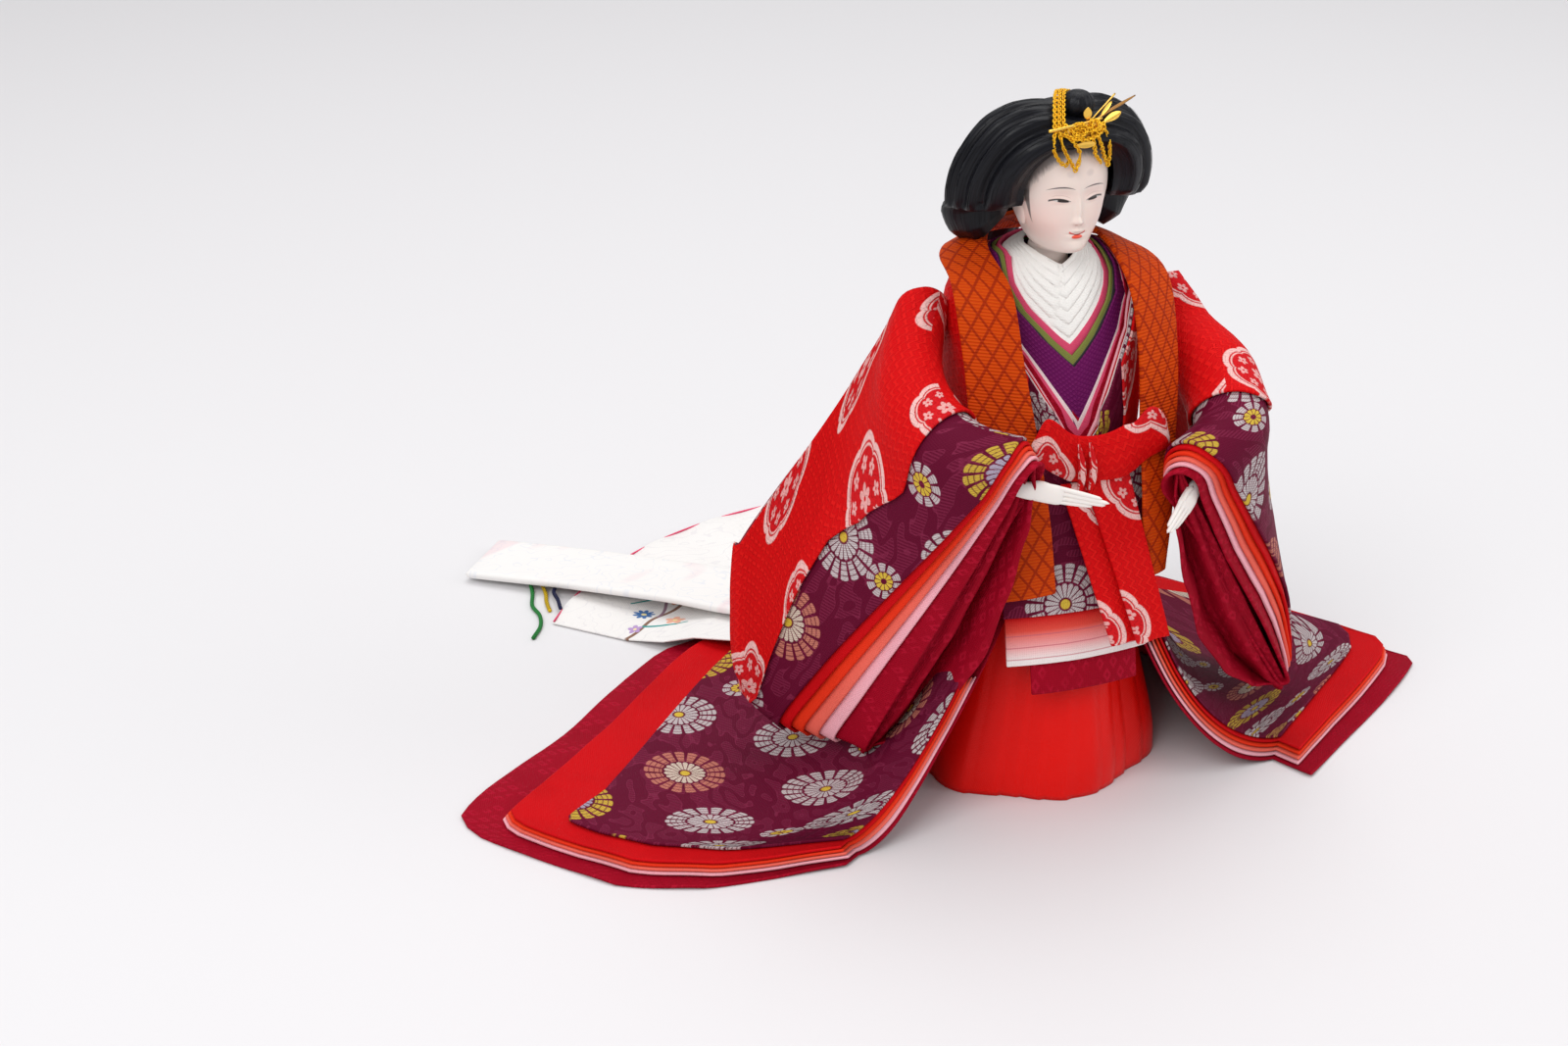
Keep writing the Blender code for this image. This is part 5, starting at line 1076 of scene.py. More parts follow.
def panelPoint(x, z, lift):
    down = (panels["top"] - z) / (panels["top"] - panels["low"])
    front = panels["topFront"] + (panels["lowFront"] - panels["topFront"]) * down
    return np.array((x, -front + panels["round"] * (x / panels["halfWidth"]) ** 2 - lift, z))


def hangingPiece(name, node, look, lifts, top, bottom, thickness, fold=0.0):
    grid = []
    for t in np.linspace(0, 1, 24):
        lift = lifts[0] + (lifts[1] - lifts[0]) * t
        right, left, z = (top[k] + (bottom[k] - top[k]) * t for k in range(3))
        row = []
        for s in np.linspace(0, 1, 15):
            ripple = fold * math.sin(s * math.pi * 2 + 0.6) * t
            row.append(panelPoint(right + (left - right) * s, z, lift + ripple))
        grid.append(row)
    grid = np.array(grid)
    normals = frontNormals(grid)
    grid = wrinkle(grid, normals, 0.0003, 70, 5.0)
    clothPiece(name, mats[look], grid, normals, thickness, nodes=[node])


def makeFront():
    for node, look, level, right, left, bottom in panels["pieces"]:
        lift = 0.0016 * level
        hangingPiece(node.replace("_front_panel", "FrontPanel"), node, look, (lift, lift), (right, left, panels["top"]),
                     (right, left, bottom), 0.0009)
    front = []
    for key in route(sash["shares"], 60):
        share, upper, lower, away = key
        x = sash["centre"][0] + sash["halfWidth"] * share
        high, low = (sash["centre"][1] + sash["halfHeight"] * s for s in (upper, lower))
        y = -sash["front"] + sash["back"] * away + sash["thickness"] * 0.4
        front.append([(x, y - 0.0011 * math.sin(math.pi * s), high + (low - high) * s) for s in np.linspace(0, 1, 15)])
    grid = np.array(front)
    normals = frontNormals(grid)
    grid = wrinkle(grid, normals, 0.0006, 110, 2.0)
    clothPiece("sashBow", mats["karaginu"], grid, normals, sash["thickness"] * 0.6, nodes=["sash_bow"])
    for node, level, top, bottom in sash["tails"]:
        lifts = [lift + 0.00165 * level for lift in (0.0060, 0.0105)]
        name = "sashTail" + node.split("_")[-1].capitalize()
        hangingPiece(name, node, "karaginu", lifts, top, bottom, 0.0013, fold=0.0004)


def makePiping():
    for _, level, top, bottom in sash["tails"]:
        for edge in (0, 1):
            points = []
            for t in np.linspace(0, 1, 40):
                x = top[edge] + (bottom[edge] - top[edge]) * t
                lift = 0.0060 + 0.0045 * t + 0.00165 * level + 0.0007
                points.append(panelPoint(x, top[2] + (bottom[2] - top[2]) * t, lift))
            tube(f"tailPiping{level}{edge}", points, 0.00055, mats["red"], "doll", sides=8)
    # the knot's two standing folds
    for number, x in enumerate((-0.0075, -0.0035)):
        points = []
        for t in np.linspace(0, 1, 30):
            bow = math.sin(math.pi * t)
            points.append((x + 0.0008 * bow + 0.0012 * t, -0.0448 - 0.0013 * bow, 0.1335 - 0.0185 * t))
        radii = [0.0013 * math.sin(math.pi * (0.12 + 0.76 * k / 29)) for k in range(30)]
        tube(f"knotFold{number + 1}", points, radii, mats["karaginu"], "doll", sides=14)


makeFront()
makePiping()
print("sash tied")

# Divided skirt, train and waist board
hakama = dict(
    top=0.116, cloth=0.0016, halfWidth=0.0435, front=0.0455, back=0.034, power=2.3, fold=0.0021, folds=6, pleat=0.0009,
    # height, half width, front, back
    shares=((1.0, 0.46, 0.42, 0.54), (0.84, 0.54, 0.58, 0.58), (0.62, 0.65, 0.78, 0.66),
            (0.36, 0.80, 0.93, 0.80), (0.12, 0.96, 1.0, 0.94), (0.0, 1.0, 1.0, 1.0)),
)


def makeHakama():
    grid = []
    for height, width, front, back in route(hakama["shares"], 30):
        row = []
        for angle in np.linspace(0, turn, 168, endpoint=False):
            fold = hakama["fold"] * (1 - height) * math.cos(hakama["folds"] * angle)
            # knife pleats hang from the waist in front, and the hem spreads them
            across = math.sin(angle) * 5.5
            pleat = hakama["pleat"] * ((across + 0.25) % 1.0) * (1 - height) ** 0.6 * (0.4 + 0.6 * abs(math.cos(angle)))
            out = fold + pleat - hakama["cloth"]
            x, y = oval(hakama["halfWidth"] * width + out, hakama["front"] * front + out, hakama["back"] * back + out,
                        angle, hakama["power"])
            row.append((x, y, max(hakama["top"] * height, 0.0002)))
        grid.append(row)
    grid = np.array(grid)
    normals = outwardNormals(grid)
    grid = wrinkle(grid, normals, 0.0007, 45, 4.0, (1, 1, 0.35))
    grid[:, :, 2] = np.maximum(grid[:, :, 2], 0.0002)
    normals[:, :, 2] = np.where(grid[:, :, 2] < 0.004, 0, normals[:, :, 2])
    clothPiece("dividedSkirt", mats["hakama"], grid, units(normals), hakama["cloth"], wrap=True, rims="a",
               nodes=["hakama"])


makeHakama()

board = dict(halfWidth=0.0455, top=0.1240, low=0.1010, inner=0.0349, thickness=0.0040, round=0.0014)
train = dict(
    halfAngleDeg=57, radius=0.160, centre=(-0.005, 0.048), cloth=0.0008, pleats=10, pleat=0.0011,
    behindBoard=0.0013, topShare=0.94, steep=0.1,
    # share of the way out, height, share of the pleats' depth
    rows=((0.0, 0.1190, 0.3), (0.02, 0.0960, 0.5), (0.05, 0.0640, 0.7), (0.12, 0.0370, 0.9), (0.23, 0.0200, 1.0),
          (0.38, 0.0125, 1.0), (0.54, 0.0090, 1.0), (0.64, 0.0040, 1.0), (0.76, 0.0012, 1.0), (1.0, 0.0011, 1.0)),
)
band = dict(
    width=0.0300, thickness=0.0032, steps=70,
    # right band's lower face, from the board to its end; the left one mirrors it
    route=((-0.0350, 0.0497, 0.1020), (-0.0400, 0.0566, 0.0700), (-0.0480, 0.0712, 0.0375), (-0.0600, 0.0980, 0.0152),
           (-0.0850, 0.1330, 0.0084), (-0.1190, 0.1680, 0.0038), (-0.1530, 0.1950, 0.0016)),
)


def roundBox(name, low, high, radius, material, body, nodes=()):
    work = bmesh.new()
    bmesh.ops.create_cube(work, size=1)
    size, middle = Vector(high) - Vector(low), (Vector(high) + Vector(low)) / 2
    for vert in work.verts:
        vert.co = Vector((vert.co.x * size.x, vert.co.y * size.y, vert.co.z * size.z)) + middle
    bmesh.ops.bevel(work, geom=work.edges[:], offset=radius, segments=4, profile=0.6, affect="EDGES")
    mesh = bpy.data.meshes.new(name)
    work.to_mesh(mesh)
    work.free()
    boxUv(mesh)
    return place(finishMesh(name, mesh, material), body, nodes)


def boxUv(mesh):
    # looks along each face's widest direction, in metres
    layer = mesh.uv_layers.new(name="UVMap")
    for face in mesh.polygons:
        axis = max(range(3), key=lambda k: abs(face.normal[k]))
        a, b = [k for k in range(3) if k != axis]
        for loop in face.loop_indices:
            co = mesh.vertices[mesh.loops[loop].vertex_index].co
            layer.data[loop].uv = (co[a], co[b])


def trainPoint(across, share, height):
    angle = math.radians(train["halfAngleDeg"]) * across
    behind = board["inner"] + board["thickness"] + train["behindBoard"]
    x, y = train["centre"]
    rim = (x + train["radius"] * math.sin(angle), y + train["radius"] * math.cos(angle))
    startX = board["halfWidth"] * across * train["topShare"]
    return startX + (rim[0] - startX) * share, behind + (rim[1] - behind) * share, height


def makeTrain():
    low = (-board["halfWidth"], board["inner"], board["low"])
    high = (board["halfWidth"], board["inner"] + board["thickness"], board["top"])
    roundBox("waistBoard", low, high, board["round"], mats["board"], "doll", ["waist_board"])
    columns = train["pleats"] * 12
    grid = []
    for at in np.arange(55) * (len(train["rows"]) - 1) / 54:
        share, height, depth = straightKeys(train["rows"], at)
        row = []
        for c in range(columns + 1):
            across = 2 * c / columns - 1
            phase = c / 12 % 1
            # a soft pleat, rising and falling alike
            fold = (phase / 0.5) if phase < 0.5 else (1 - phase) / 0.5
            lift = train["pleat"] * depth * fold * fold * (3 - 2 * fold)
            x, y, z = trainPoint(across, share, height)
            row.append((x, y + (lift if share < train["steep"] else 0), z + (0 if share < train["steep"] else lift)))
        grid.append(row)
    grid = np.array(grid)
    normals = upperNormals(grid)
    back = grid - normals * train["cloth"]
    back[:, :, 2] = np.maximum(back[:, :, 2], 0.00005)
    flat = np.stack([grid[:, :, 0], grid[:, :, 1]], axis=2)
    clothPiece("trainCloth", mats["train"], back, normals, train["cloth"], rims="ab", uv=flat, nodes=["train"])
    hem = [trainPoint(a, 1.0, 0.0015) for a in np.linspace(-1, 1, 60)]
    tube("trainHemThread", hem, 0.0004, mats["rose"], "doll", sides=6)


def bandLine(side, count):
    return np.array(route(band["route"], count)) * (-side, 1, 1)


def makeBand(name, side):
    line = bandLine(side, band["steps"])
    across = []
    for i in range(len(line)):
        along = line[min(i + 1, len(line) - 1)] - line[max(i - 1, 0)]
        along[2] = 0
        across.append(unit(np.cross(along, (0, 0, 1))))
    spread = np.linspace(-0.5, 0.5, 13)
    grid = np.array([[p + a * band["width"] * s for s in spread] for p, a in zip(line, across)])
    normals = upperNormals(grid)
    clothPiece(name, mats["band"], grid, normals, band["thickness"], rims="ab",
               nodes=["band_right" if side < 0 else "band_left"])
    # thread knots across the end
    end, before = line[-1], line[-3]
    along = unit((end - before) * (1, 1, 0))
    up = np.array((0, 0, 1.0))
    for k, colour in enumerate(("cordGreen", "cordYellow", "cordIndigo", "cordRed", "gold", "cordGreen")):
        at = end + across[-1] * band["width"] * (0.42 - k * 0.168) + along * 0.0006 + up * band["thickness"] * 0.55
        points = [at + across[-1] * 0.0016 * s + up * 0.0004 * (1 - s * s) for s in (-1, -0.4, 0.4, 1)]
        tube(f"{name}Stitch{k + 1}", points, 0.00055, mats[colour], "doll", sides=8)


makeTrain()
makeBand("bandRight", -1)
makeBand("bandLeft", 1)

cordRadius = 0.0008
cordEnds = dict(
    cord_green=("cordGreen", ((-0.1400, 0.1708, 0.0018), (-0.1412, 0.1620, 0.0009), (-0.1438, 0.1520, 0.0009),
                              (-0.1430, 0.1430, 0.0009), (-0.1450, 0.1340, 0.0009), (-0.1500, 0.1257, 0.0009))),
    cord_yellow=("cordYellow", ((-0.1358, 0.1676, 0.0018), (-0.1362, 0.1600, 0.0009), (-0.1376, 0.1530, 0.0009),
                                (-0.1382, 0.1455, 0.0009))),
    cord_indigo=("cordIndigo", ((-0.1318, 0.1610, 0.0026), (-0.1335, 0.1570, 0.0026), (-0.1336, 0.1500, 0.0026),
                                (-0.1344, 0.1430, 0.0026))),
    cord_red=("cordRed", ((-0.1270, 0.1610, 0.0026), (-0.1240, 0.1580, 0.0026), (-0.1200, 0.1565, 0.0026),
                          (-0.1177, 0.1545, 0.0026))),
)


def makeCords():
    for node, (colour, keys) in cordEnds.items():
        points = route(keys, 24)
        piece = tube(colour, points, cordRadius, mats[colour], "doll", sides=12, nodes=[node])


makeCords()
print("train, bands and cords laid")

# Head
head = dict(
    # height, middle, half width, front, back
    rings=((0.1762, -0.0010, 0.0066, 0.0066, 0.0066), (0.1820, -0.0015, 0.0066, 0.0068, 0.0068),
           (0.1863, -0.0018, 0.0064, 0.0070, 0.0068), (0.1877, -0.0040, 0.0064, 0.0130, 0.0080),
           (0.1890, -0.0050, 0.0079, 0.0150, 0.0094), (0.1918, -0.0050, 0.0098, 0.0158, 0.0112),
           (0.1955, -0.0050, 0.0117, 0.0163, 0.0128), (0.1995, -0.0050, 0.0135, 0.0163, 0.0146),
           (0.2035, -0.0050, 0.0147, 0.0161, 0.0158), (0.2075, -0.0050, 0.0157, 0.0160, 0.0165),
           (0.2120, -0.0050, 0.0156, 0.0165, 0.0165), (0.2165, -0.0050, 0.0149, 0.0166, 0.0158),
           (0.2205, -0.0050, 0.0134, 0.0156, 0.0143), (0.2240, -0.0050, 0.0110, 0.0130, 0.0118),
           (0.2266, -0.0050, 0.0075, 0.0088, 0.0080), (0.2278, -0.0050, 0.0032, 0.0036, 0.0034)),
    power=2.15, rows=190, columns=220,
    # ear: height, size
    ear=((-1, 0.05), (-0.92, 0.42), (-0.7, 0.72), (-0.3, 0.95), (0.1, 1.0), (0.5, 0.9), (0.85, 0.55), (1, 0.05)),
    # soft swellings and hollows of the face, in mm: side, height, half width, half height, out
    forms=((0.0, 199.6, 1.30, 1.15, 2.1), (0.0, 203.2, 1.0, 3.4, 1.7), (0.0, 208.5, 1.5, 3.0, 0.45),
           (1.5, 199.2, 0.75, 0.7, 0.45), (5.6, 207.9, 3.4, 1.5, -0.45), (5.65, 206.3, 2.9, 1.0, 0.40),
           (5.6, 205.0, 2.6, 0.55, -0.16), (5.6, 211.6, 4.2, 1.8, 0.28), (8.6, 199.5, 4.6, 4.4, 0.55),
           (0.0, 196.35, 2.1, 0.55, 0.50), (0.9, 196.5, 0.7, 0.35, 0.12), (0.0, 195.25, 2.6, 0.22, -0.38),
           (0.0, 194.35, 1.7, 0.50, 0.62), (0.0, 192.9, 2.6, 0.70, -0.28), (0.0, 190.3, 3.6, 2.0, 0.75),
           (0.0, 197.6, 0.5, 0.7, -0.14), (2.9, 195.35, 0.5, 0.4, -0.15), (4.2, 197.0, 1.5, 2.2, -0.18)),
)


def faceForm(x, z):
    out = 0.0
    for side, height, halfWidth, halfHeight, depth in head["forms"]:
        for centre in {side, -side}:
            out += depth * math.exp(-(((x - centre) / halfWidth) ** 2) - ((z - height) / halfHeight) ** 2)
    return out


def makeFaceMaterial():
    w = Wiring("paintedShell", (0.85, 0.715, 0.645), roughness=0.36, coat=0.15, level=0.4)
    w.set("Subsurface Weight", 0.10)
    w.set("Subsurface Radius", (0.004, 0.002, 0.0014))
    w.set("Subsurface Scale", 0.4)
    x, y, z = (axis * 1000 for axis in w.place())
    front = y.below(-9.0, 1.0)
    side = x.abs()

    def blob(cx, cz, rx, rz, soft):
        p, q = (side - cx) / rx, (z - cz) / rz
        return (p * p + q * q).below(1.0, soft)

    # blush of the cheeks and lids
    w.paint((0.84, 0.50, 0.45), blob(9.5, 199.5, 6.5, 6.0, 1.8) * 0.34 * front)
    w.paint((0.84, 0.52, 0.46), blob(5.7, 207.6, 4.6, 2.2, 1.6) * 0.28 * front)
    w.paint((0.80, 0.50, 0.44), blob(0.0, 197.9, 2.6, 0.9, 1.4) * 0.22 * front)
    # painted shadow of the hair: a dark band on the face along the hair's edge, with a streaky edge; the sideburns, and
    # two smudges on the forehead
    p, q = x / 15.9, (z - 203.0) / 18.6
    rim = (p * p + q * q).sqrt()
    streakyShadowEdge = w.noise(1.0, 2, w.join(x * 2.2, z * 0.35)) * 0.09
    w.paint((0.10, 0.085, 0.085), (rim + streakyShadowEdge).above(1.0, 0.10) * 0.8 * z.above(206.0, 5.0) * front)
    burn = (y + 12.7 - (z - 198.0) * 0.03).abs().below((z - 197.6) * 0.11, 0.35)
    burn = burn * z.above(197.8, 0.6) * z.below(210.0, 3.0)
    w.paint((0.06, 0.05, 0.05), burn * 0.85)
    w.paint((0.45, 0.38, 0.37), blob(3.3, 215.1, 1.3, 1.1, 1.5) * 0.30 * front)
    # brows: long thin arcs
    u, v = side - 5.8, z - 210.35
    arc = v - (0.42 - u * u * 0.052 - u * 0.02)
    thick = (1.0 - (u / 4.5) * (u / 4.5)) * 0.26
    w.paint((0.045, 0.033, 0.032), arc.abs().below(thick, 0.10) * u.abs().below(4.4, 0.2) * 0.86 * front)
    # eyes: narrow, nearly closed
    u, v = side - 5.65, z - 206.25
    bend = 1.0 - (u / 3.05) * (u / 3.05)
    top, low = bend * 0.62 + u * 0.09, bend * -0.34 + u * 0.10
    slit = (v - top).below(0.0, 0.10) * (v - low).above(0.0, 0.10) * u.abs().below(3.0, 0.15)
    w.paint((0.62, 0.58, 0.56), slit * front)
    w.paint((0.020, 0.012, 0.010), slit * (u + 0.55).abs().below(1.75, 0.30) * front)
    lid = (v - top).abs().below((u + 3.6) * 0.035 + 0.05, 0.10) * u.below(3.7, 0.3) * u.above(-3.0, 0.2)
    w.paint((0.030, 0.022, 0.020), lid * 0.92 * front)
    crease = (v - top - 1.15 + u.abs() * 0.03).abs().below(0.09, 0.14) * u.abs().below(2.7, 0.8)
    w.paint((0.50, 0.34, 0.30), crease * 0.45 * front)
    lower = (v - low + 0.12).abs().below(0.06, 0.12) * u.abs().below(2.6, 0.6)
    w.paint((0.45, 0.30, 0.28), lower * 0.35 * front)
    # mouth: dark line, a glimpse of teeth, red lower lip
    line = z - (195.05 + x * x * 0.075)
    w.paint((0.80, 0.13, 0.11), line.above(0.0, 0.1) * line.below((side * 0.26), 0.14) * side.below(2.75, 0.2) * front)
    w.paint((0.86, 0.80, 0.76), line.above(0.05, 0.08) * line.below(0.42, 0.12) * side.below(0.85, 0.2) * front)
    p, q = x / 1.85, (z - 194.35) / 0.72
    w.paint((0.84, 0.085, 0.045), (p * p + q * q).below(1.0, 0.35) * line.below(0.0, 0.12) * front)
    w.paint((0.26, 0.010, 0.014), line.abs().below(0.13 - side * 0.02, 0.10) * side.below(2.85, 0.2) * front)
    # nostrils: a reddish painted shade in their hollows
    w.paint((0.50, 0.20, 0.17), blob(0.85, 198.45, 0.42, 0.22, 0.9) * 0.7 * front)
    w.relief(w.noise(300, 3), 0.00002)
    return w


def makeHead():
    mats["face"] = makeFaceMaterial()
    table = np.array(head["rings"])
    # rows stand closer together over the face
    levels = (table[0, 0], 0.1865, 0.2165, table[-1, 0])
    heights = np.interp(np.linspace(0, 1, head["rows"]), (0, 0.12, 0.86, 1), levels)
    rings = []
    for h in heights:
        at = np.interp(h, table[:, 0], np.arange(len(table)))
        middle, width, front, back = smoothKeys(table, at)[1:]
        ring = []
        for k in range(head["columns"]):
            # columns stand closer together in front
            s = k / head["columns"] * 2 - 1
            angle = math.pi * (0.45 * s + 0.55 * s * abs(s))
            x, y = oval(width, front, back, angle, head["power"])
            if y < 0:
                y -= faceForm(x * 1000, h * 1000) / 1000 * min(1, -y / 0.004)
            ring.append((x, y + middle, h))
        rings.append(ring)
    ringMesh("faceShell", rings, mats["face"], "head", nodes=["head"])
    # ears, half under the hair
    for side, name in ((-1, "earRight"), (1, "earLeft")):
        rings = []
        for rise, size in head["ear"]:
            ring = []
            for i in range(24):
                a = turn * i / 24
                hollow = 0.35 * math.exp(-((rise - 0.15) / 0.45) ** 2) * max(0, math.cos(a)) ** 2
                out = 0.0013 * size * (math.cos(a) - hollow)
                y = -0.0075 - 0.0027 * size * math.sin(a) + rise * 0.0006
                ring.append((side * (0.0136 + out + rise * 0.0010), y, 0.2008 + rise * 0.0048))
            rings.append(ring)
        ringMesh(name, rings, mats["face"], "head")


makeHead()
print("head modelled and painted")

# Hair
hair = dict(
    centreHeight=0.2060, gap=0.0009, backGap=0.00225, halfWidth=0.0375, rim=0.0020, rimFront=0.7, backBulge=0.72,
    backEnd=0.4, poleRadius=0.0030, poleY=0.0190, depths=(0.12, 0.35, 0.65, 0.85, 0.95),
    # degrees from the crown; hairline y; front bulge radius, y; rim radius, y; back bulge y
    sections=(
        (-128, 0.0060, 0.0262, 0.0020, 0.0322, 0.0095, 0.0165), (-117, 0.0020, 0.0272, -0.0010, 0.0345, 0.0075, 0.0175),
        (-104, -0.0040, 0.0250, -0.0010, 0.0352, 0.0060, 0.0180), (-100, -0.0060, 0.0248, -0.0020, 0.0350, 0.0045, 0.0180),
        (-98.5, -0.0128, 0.0246, -0.0110, 0.0350, 0.0020, 0.0185), (-92, -0.0136, 0.0250, -0.0128, 0.0352, 0.0012, 0.0185),
        (-78, -0.0142, 0.0256, -0.0152, 0.0352, -0.0005, 0.0185), (-62, -0.0156, 0.0258, -0.0180, 0.0350, -0.0025, 0.0185),
        (-45, -0.0174, 0.0252, -0.0205, 0.0346, -0.0040, 0.0180), (-28, -0.0192, 0.0238, -0.0222, 0.0326, -0.0050, 0.0175),
        (-10, -0.0204, 0.0212, -0.0232, 0.0296, -0.0060, 0.0170),
    ),
    steps=260, around=150, strandDepth=0.00012, strands=260, strandRadius=0.00005, soften=5,
    # place on the profile, half breadth, depth: the combed rolls, each lying round the face
    rolls=((7.55, 0.42, 0.0016), (8.75, 0.30, -0.0022), (9.3, 0.26, 0.0010), (9.75, 0.16, -0.0012), (10.15, 0.20, 0.0009),
           (10.55, 0.14, -0.0010)),
)


def skullRadius(angle, y, gap):
    table = np.array(head["rings"])
    low, high = 0.0, hair["halfWidth"]
    for _ in range(26):
        radius = (low + high) / 2
        x, z = radius * math.sin(angle), hair["centreHeight"] + radius * math.cos(angle)
        middle, width, front, back = (np.interp(z, table[:, 0], table[:, k]) for k in (1, 2, 3, 4))
        reach = (front if y < middle else back) + gap
        inside = (abs(x) / (width + gap)) ** head["power"] + (abs(y - middle) / reach) ** head["power"] < 1
        low, high = (radius, high) if z < table[-1, 0] and inside else (low, radius)
    return high


def hairSection(keys):
    degrees, lineY, frontRadius, frontY, rimRadius, rimY, backY = keys
    angle = math.radians(degrees)
    skullEnd = 0.0111
    depths = [lineY] + [lineY + (skullEnd - lineY) * share for share in hair["depths"]]
    inner = [(skullRadius(angle, y, hair["gap"]) + hair["gap"], y) for y in depths]
    rim = hair["rim"]
    return [
        (hair["poleRadius"], skullEnd + hair["backGap"]), *reversed(inner),
        ((inner[0][0] * 2 + frontRadius) / 3, (lineY + frontY * 2) / 3), (frontRadius, frontY),
        ((frontRadius + rimRadius) / 2, frontY * 0.75 + rimY * 0.25),
        (rimRadius - rim, frontY * (1 - hair["rimFront"]) + rimY * hair["rimFront"]), (rimRadius, rimY + rim),
        (rimRadius - rim, rimY + rim * 3), (rimRadius * hair["backBulge"], (rimY + backY * 3) / 4),
        (rimRadius * hair["backEnd"], backY), (hair["poleRadius"], hair["poleY"]),
    ]


def hairMaterial(name, across, along, depth, broad):
    w = Wiring(name, (0.0035, 0.0036, 0.0055), roughness=0.30, level=0.20)
    u, v = w.uv()
    lines = w.noise(1.0, 3, w.join(u * across, v * along))
    w.paint((0.010, 0.011, 0.017), lines.above(0.52, 0.12) * 0.65)
    w.relief(lines + w.noise(1.0, 2, w.join(u * 420, v * 25, 3.0)) * broad, depth)
    w.rough(lines * 0.20 + 0.22)
    return w


mats["hair"] = hairMaterial("hairSilk", 2600, 18, 0.00009, 0.8)
mats["hairTail"] = hairMaterial("hairTailSilk", 2400, 20, 0.00014, 0.0)


def makeHair():
    sections = list(hair["sections"]) + [(-k[0], *k[1:]) for k in reversed(hair["sections"])]
    table = np.array([hairSection(keys) for keys in sections])
    shares = [k[0] for k in sections]
    flatTable = table.reshape(len(table), -1)
    rings, frames = [], []
    for step in range(hair["steps"] + 1):
        degrees = shares[0] + (shares[-1] - shares[0]) * step / hair["steps"]
        at = np.interp(degrees, shares, np.arange(len(shares)))
        profile = straightKeys(flatTable, at).reshape(-1, 2)
        angle = math.radians(degrees)
        where = np.linspace(0, len(profile) - 1, hair["around"])
        loop = np.array([straightKeys(profile, at) for at in where])
        for _ in range(hair["soften"]):
            loop[1:-1] = loop[1:-1] * 0.5 + (loop[:-2] + loop[2:]) * 0.25
        tangent = np.gradient(loop, axis=0)
        outward = np.stack([-tangent[:, 1], tangent[:, 0]], axis=1)
        outward /= np.maximum(np.linalg.norm(outward, axis=1, keepdims=True), 1e-9)
        if outward[np.searchsorted(where, 8.0)][1] > 0:
            outward = -outward
        shown = np.clip((where - 6.6) / 0.5, 0, 1) * np.clip((14.4 - where) / 0.6, 0, 1)
        fade = np.clip((100 - abs(degrees)) / 6, 0, 1) * np.clip((abs(degrees) - 4) / 26, 0, 1)
        rise = sum(depth * np.exp(-((where - centre) / breadth) ** 2) for centre, breadth, depth in hair["rolls"]) * fade
        # fine strands run the long way round, so their height varies across the profile
        fine = np.array([noise.noise(Vector((at * 9.0, degrees * 0.012, 0))) + 0.6 * noise.noise(Vector((at * 23.0, degrees * 0.02, 5))) for at in where])
        loop = loop + outward * ((rise + fine * hair["strandDepth"]) * shown)[:, None]
        frames.append((angle, loop, outward))
        rings.append([(r * math.sin(angle), y, hair["centreHeight"] + r * math.cos(angle)) for r, y in loop])
    ringMesh("hairHood", rings, mats["hair"], "head", nodes=["hair_cap"])

    # loose strands laid over the combed surface
    random = np.random.default_rng(7)
    points, faces = [], []
    for _ in range(hair["strands"]):
        row = int(random.integers(int(hair["around"] * 0.48), int(hair["around"] * 0.84)))
        begin = int(random.integers(4, hair["steps"] - 60))
        end = begin + int(random.integers(18, 50))
        if frames[begin][0] * frames[end][0] < 0:
            continue
        lift, slide = random.uniform(0.00002, 0.00022), random.uniform(-2.0, 2.0)
        line = []
        for k in range(begin, end, 2):
            s = (k - begin) / (end - begin)
            i = int(np.clip(row + round(slide * s), 0, hair["around"] - 1))
            angle, loop, outward = frames[k]
            r, y = loop[i] + outward[i] * (lift * math.sin(math.pi * s) + 0.00002)
            line.append(Vector((r * math.sin(angle), y, hair["centreHeight"] + r * math.cos(angle))))
        for k, point in enumerate(line):
            along = (line[min(k + 1, len(line) - 1)] - line[max(k - 1, 0)]).normalized()
            side = along.cross(Vector((0, 1, 0.2))).normalized()
            up = side.cross(along)
            base = len(points)
            points += [point + (side * math.cos(turn * q / 3) + up * math.sin(turn * q / 3)) * hair["strandRadius"] for q in range(3)]
            if k:
                faces += [(base - 3 + q, base - 3 + (q + 1) % 3, base + (q + 1) % 3, base + q) for q in range(3)]
            else:
                faces.append((base + 2, base + 1, base))
        base = len(points) - 3
        faces.append((base, base + 1, base + 2))
    mesh = bpy.data.meshes.new("hairStrands")
    mesh.from_pydata([tuple(p) for p in points], [], faces)
    mesh.uv_layers.new(name="UVMap")
    place(finishMesh("hairStrands", mesh, mats["hair"]), "head")


makeHair()

bun = dict(centre=(0.0014, -0.0135, 0.2352), radius=0.0052, squash=0.85, rows=44, columns=96, strand=0.00016,
           shares=((-1.2, 0.45), (-0.72, 0.78), (-0.3, 0.98), (0.15, 1.0), (0.55, 0.85), (0.82, 0.58), (0.97, 0.25)))
tail = dict(
    # x, y, z, half width, half thickness
    route=((0, 0.0212, 0.2080, 0.0046, 0.0020), (0, 0.0245, 0.2000, 0.0060, 0.0028), (0, 0.0310, 0.1880, 0.0068, 0.0030),
           (0, 0.0375, 0.1700, 0.0066, 0.0030), (0, 0.0430, 0.1500, 0.0060, 0.0028), (0, 0.0480, 0.1320, 0.0056, 0.0026),
           (0, 0.0530, 0.1180, 0.0052, 0.0024), (0, 0.0570, 0.1080, 0.0044, 0.0020), (0, 0.0590, 0.1020, 0.0026, 0.0012)),
    steps=90, columns=72, strand=0.00028,
)


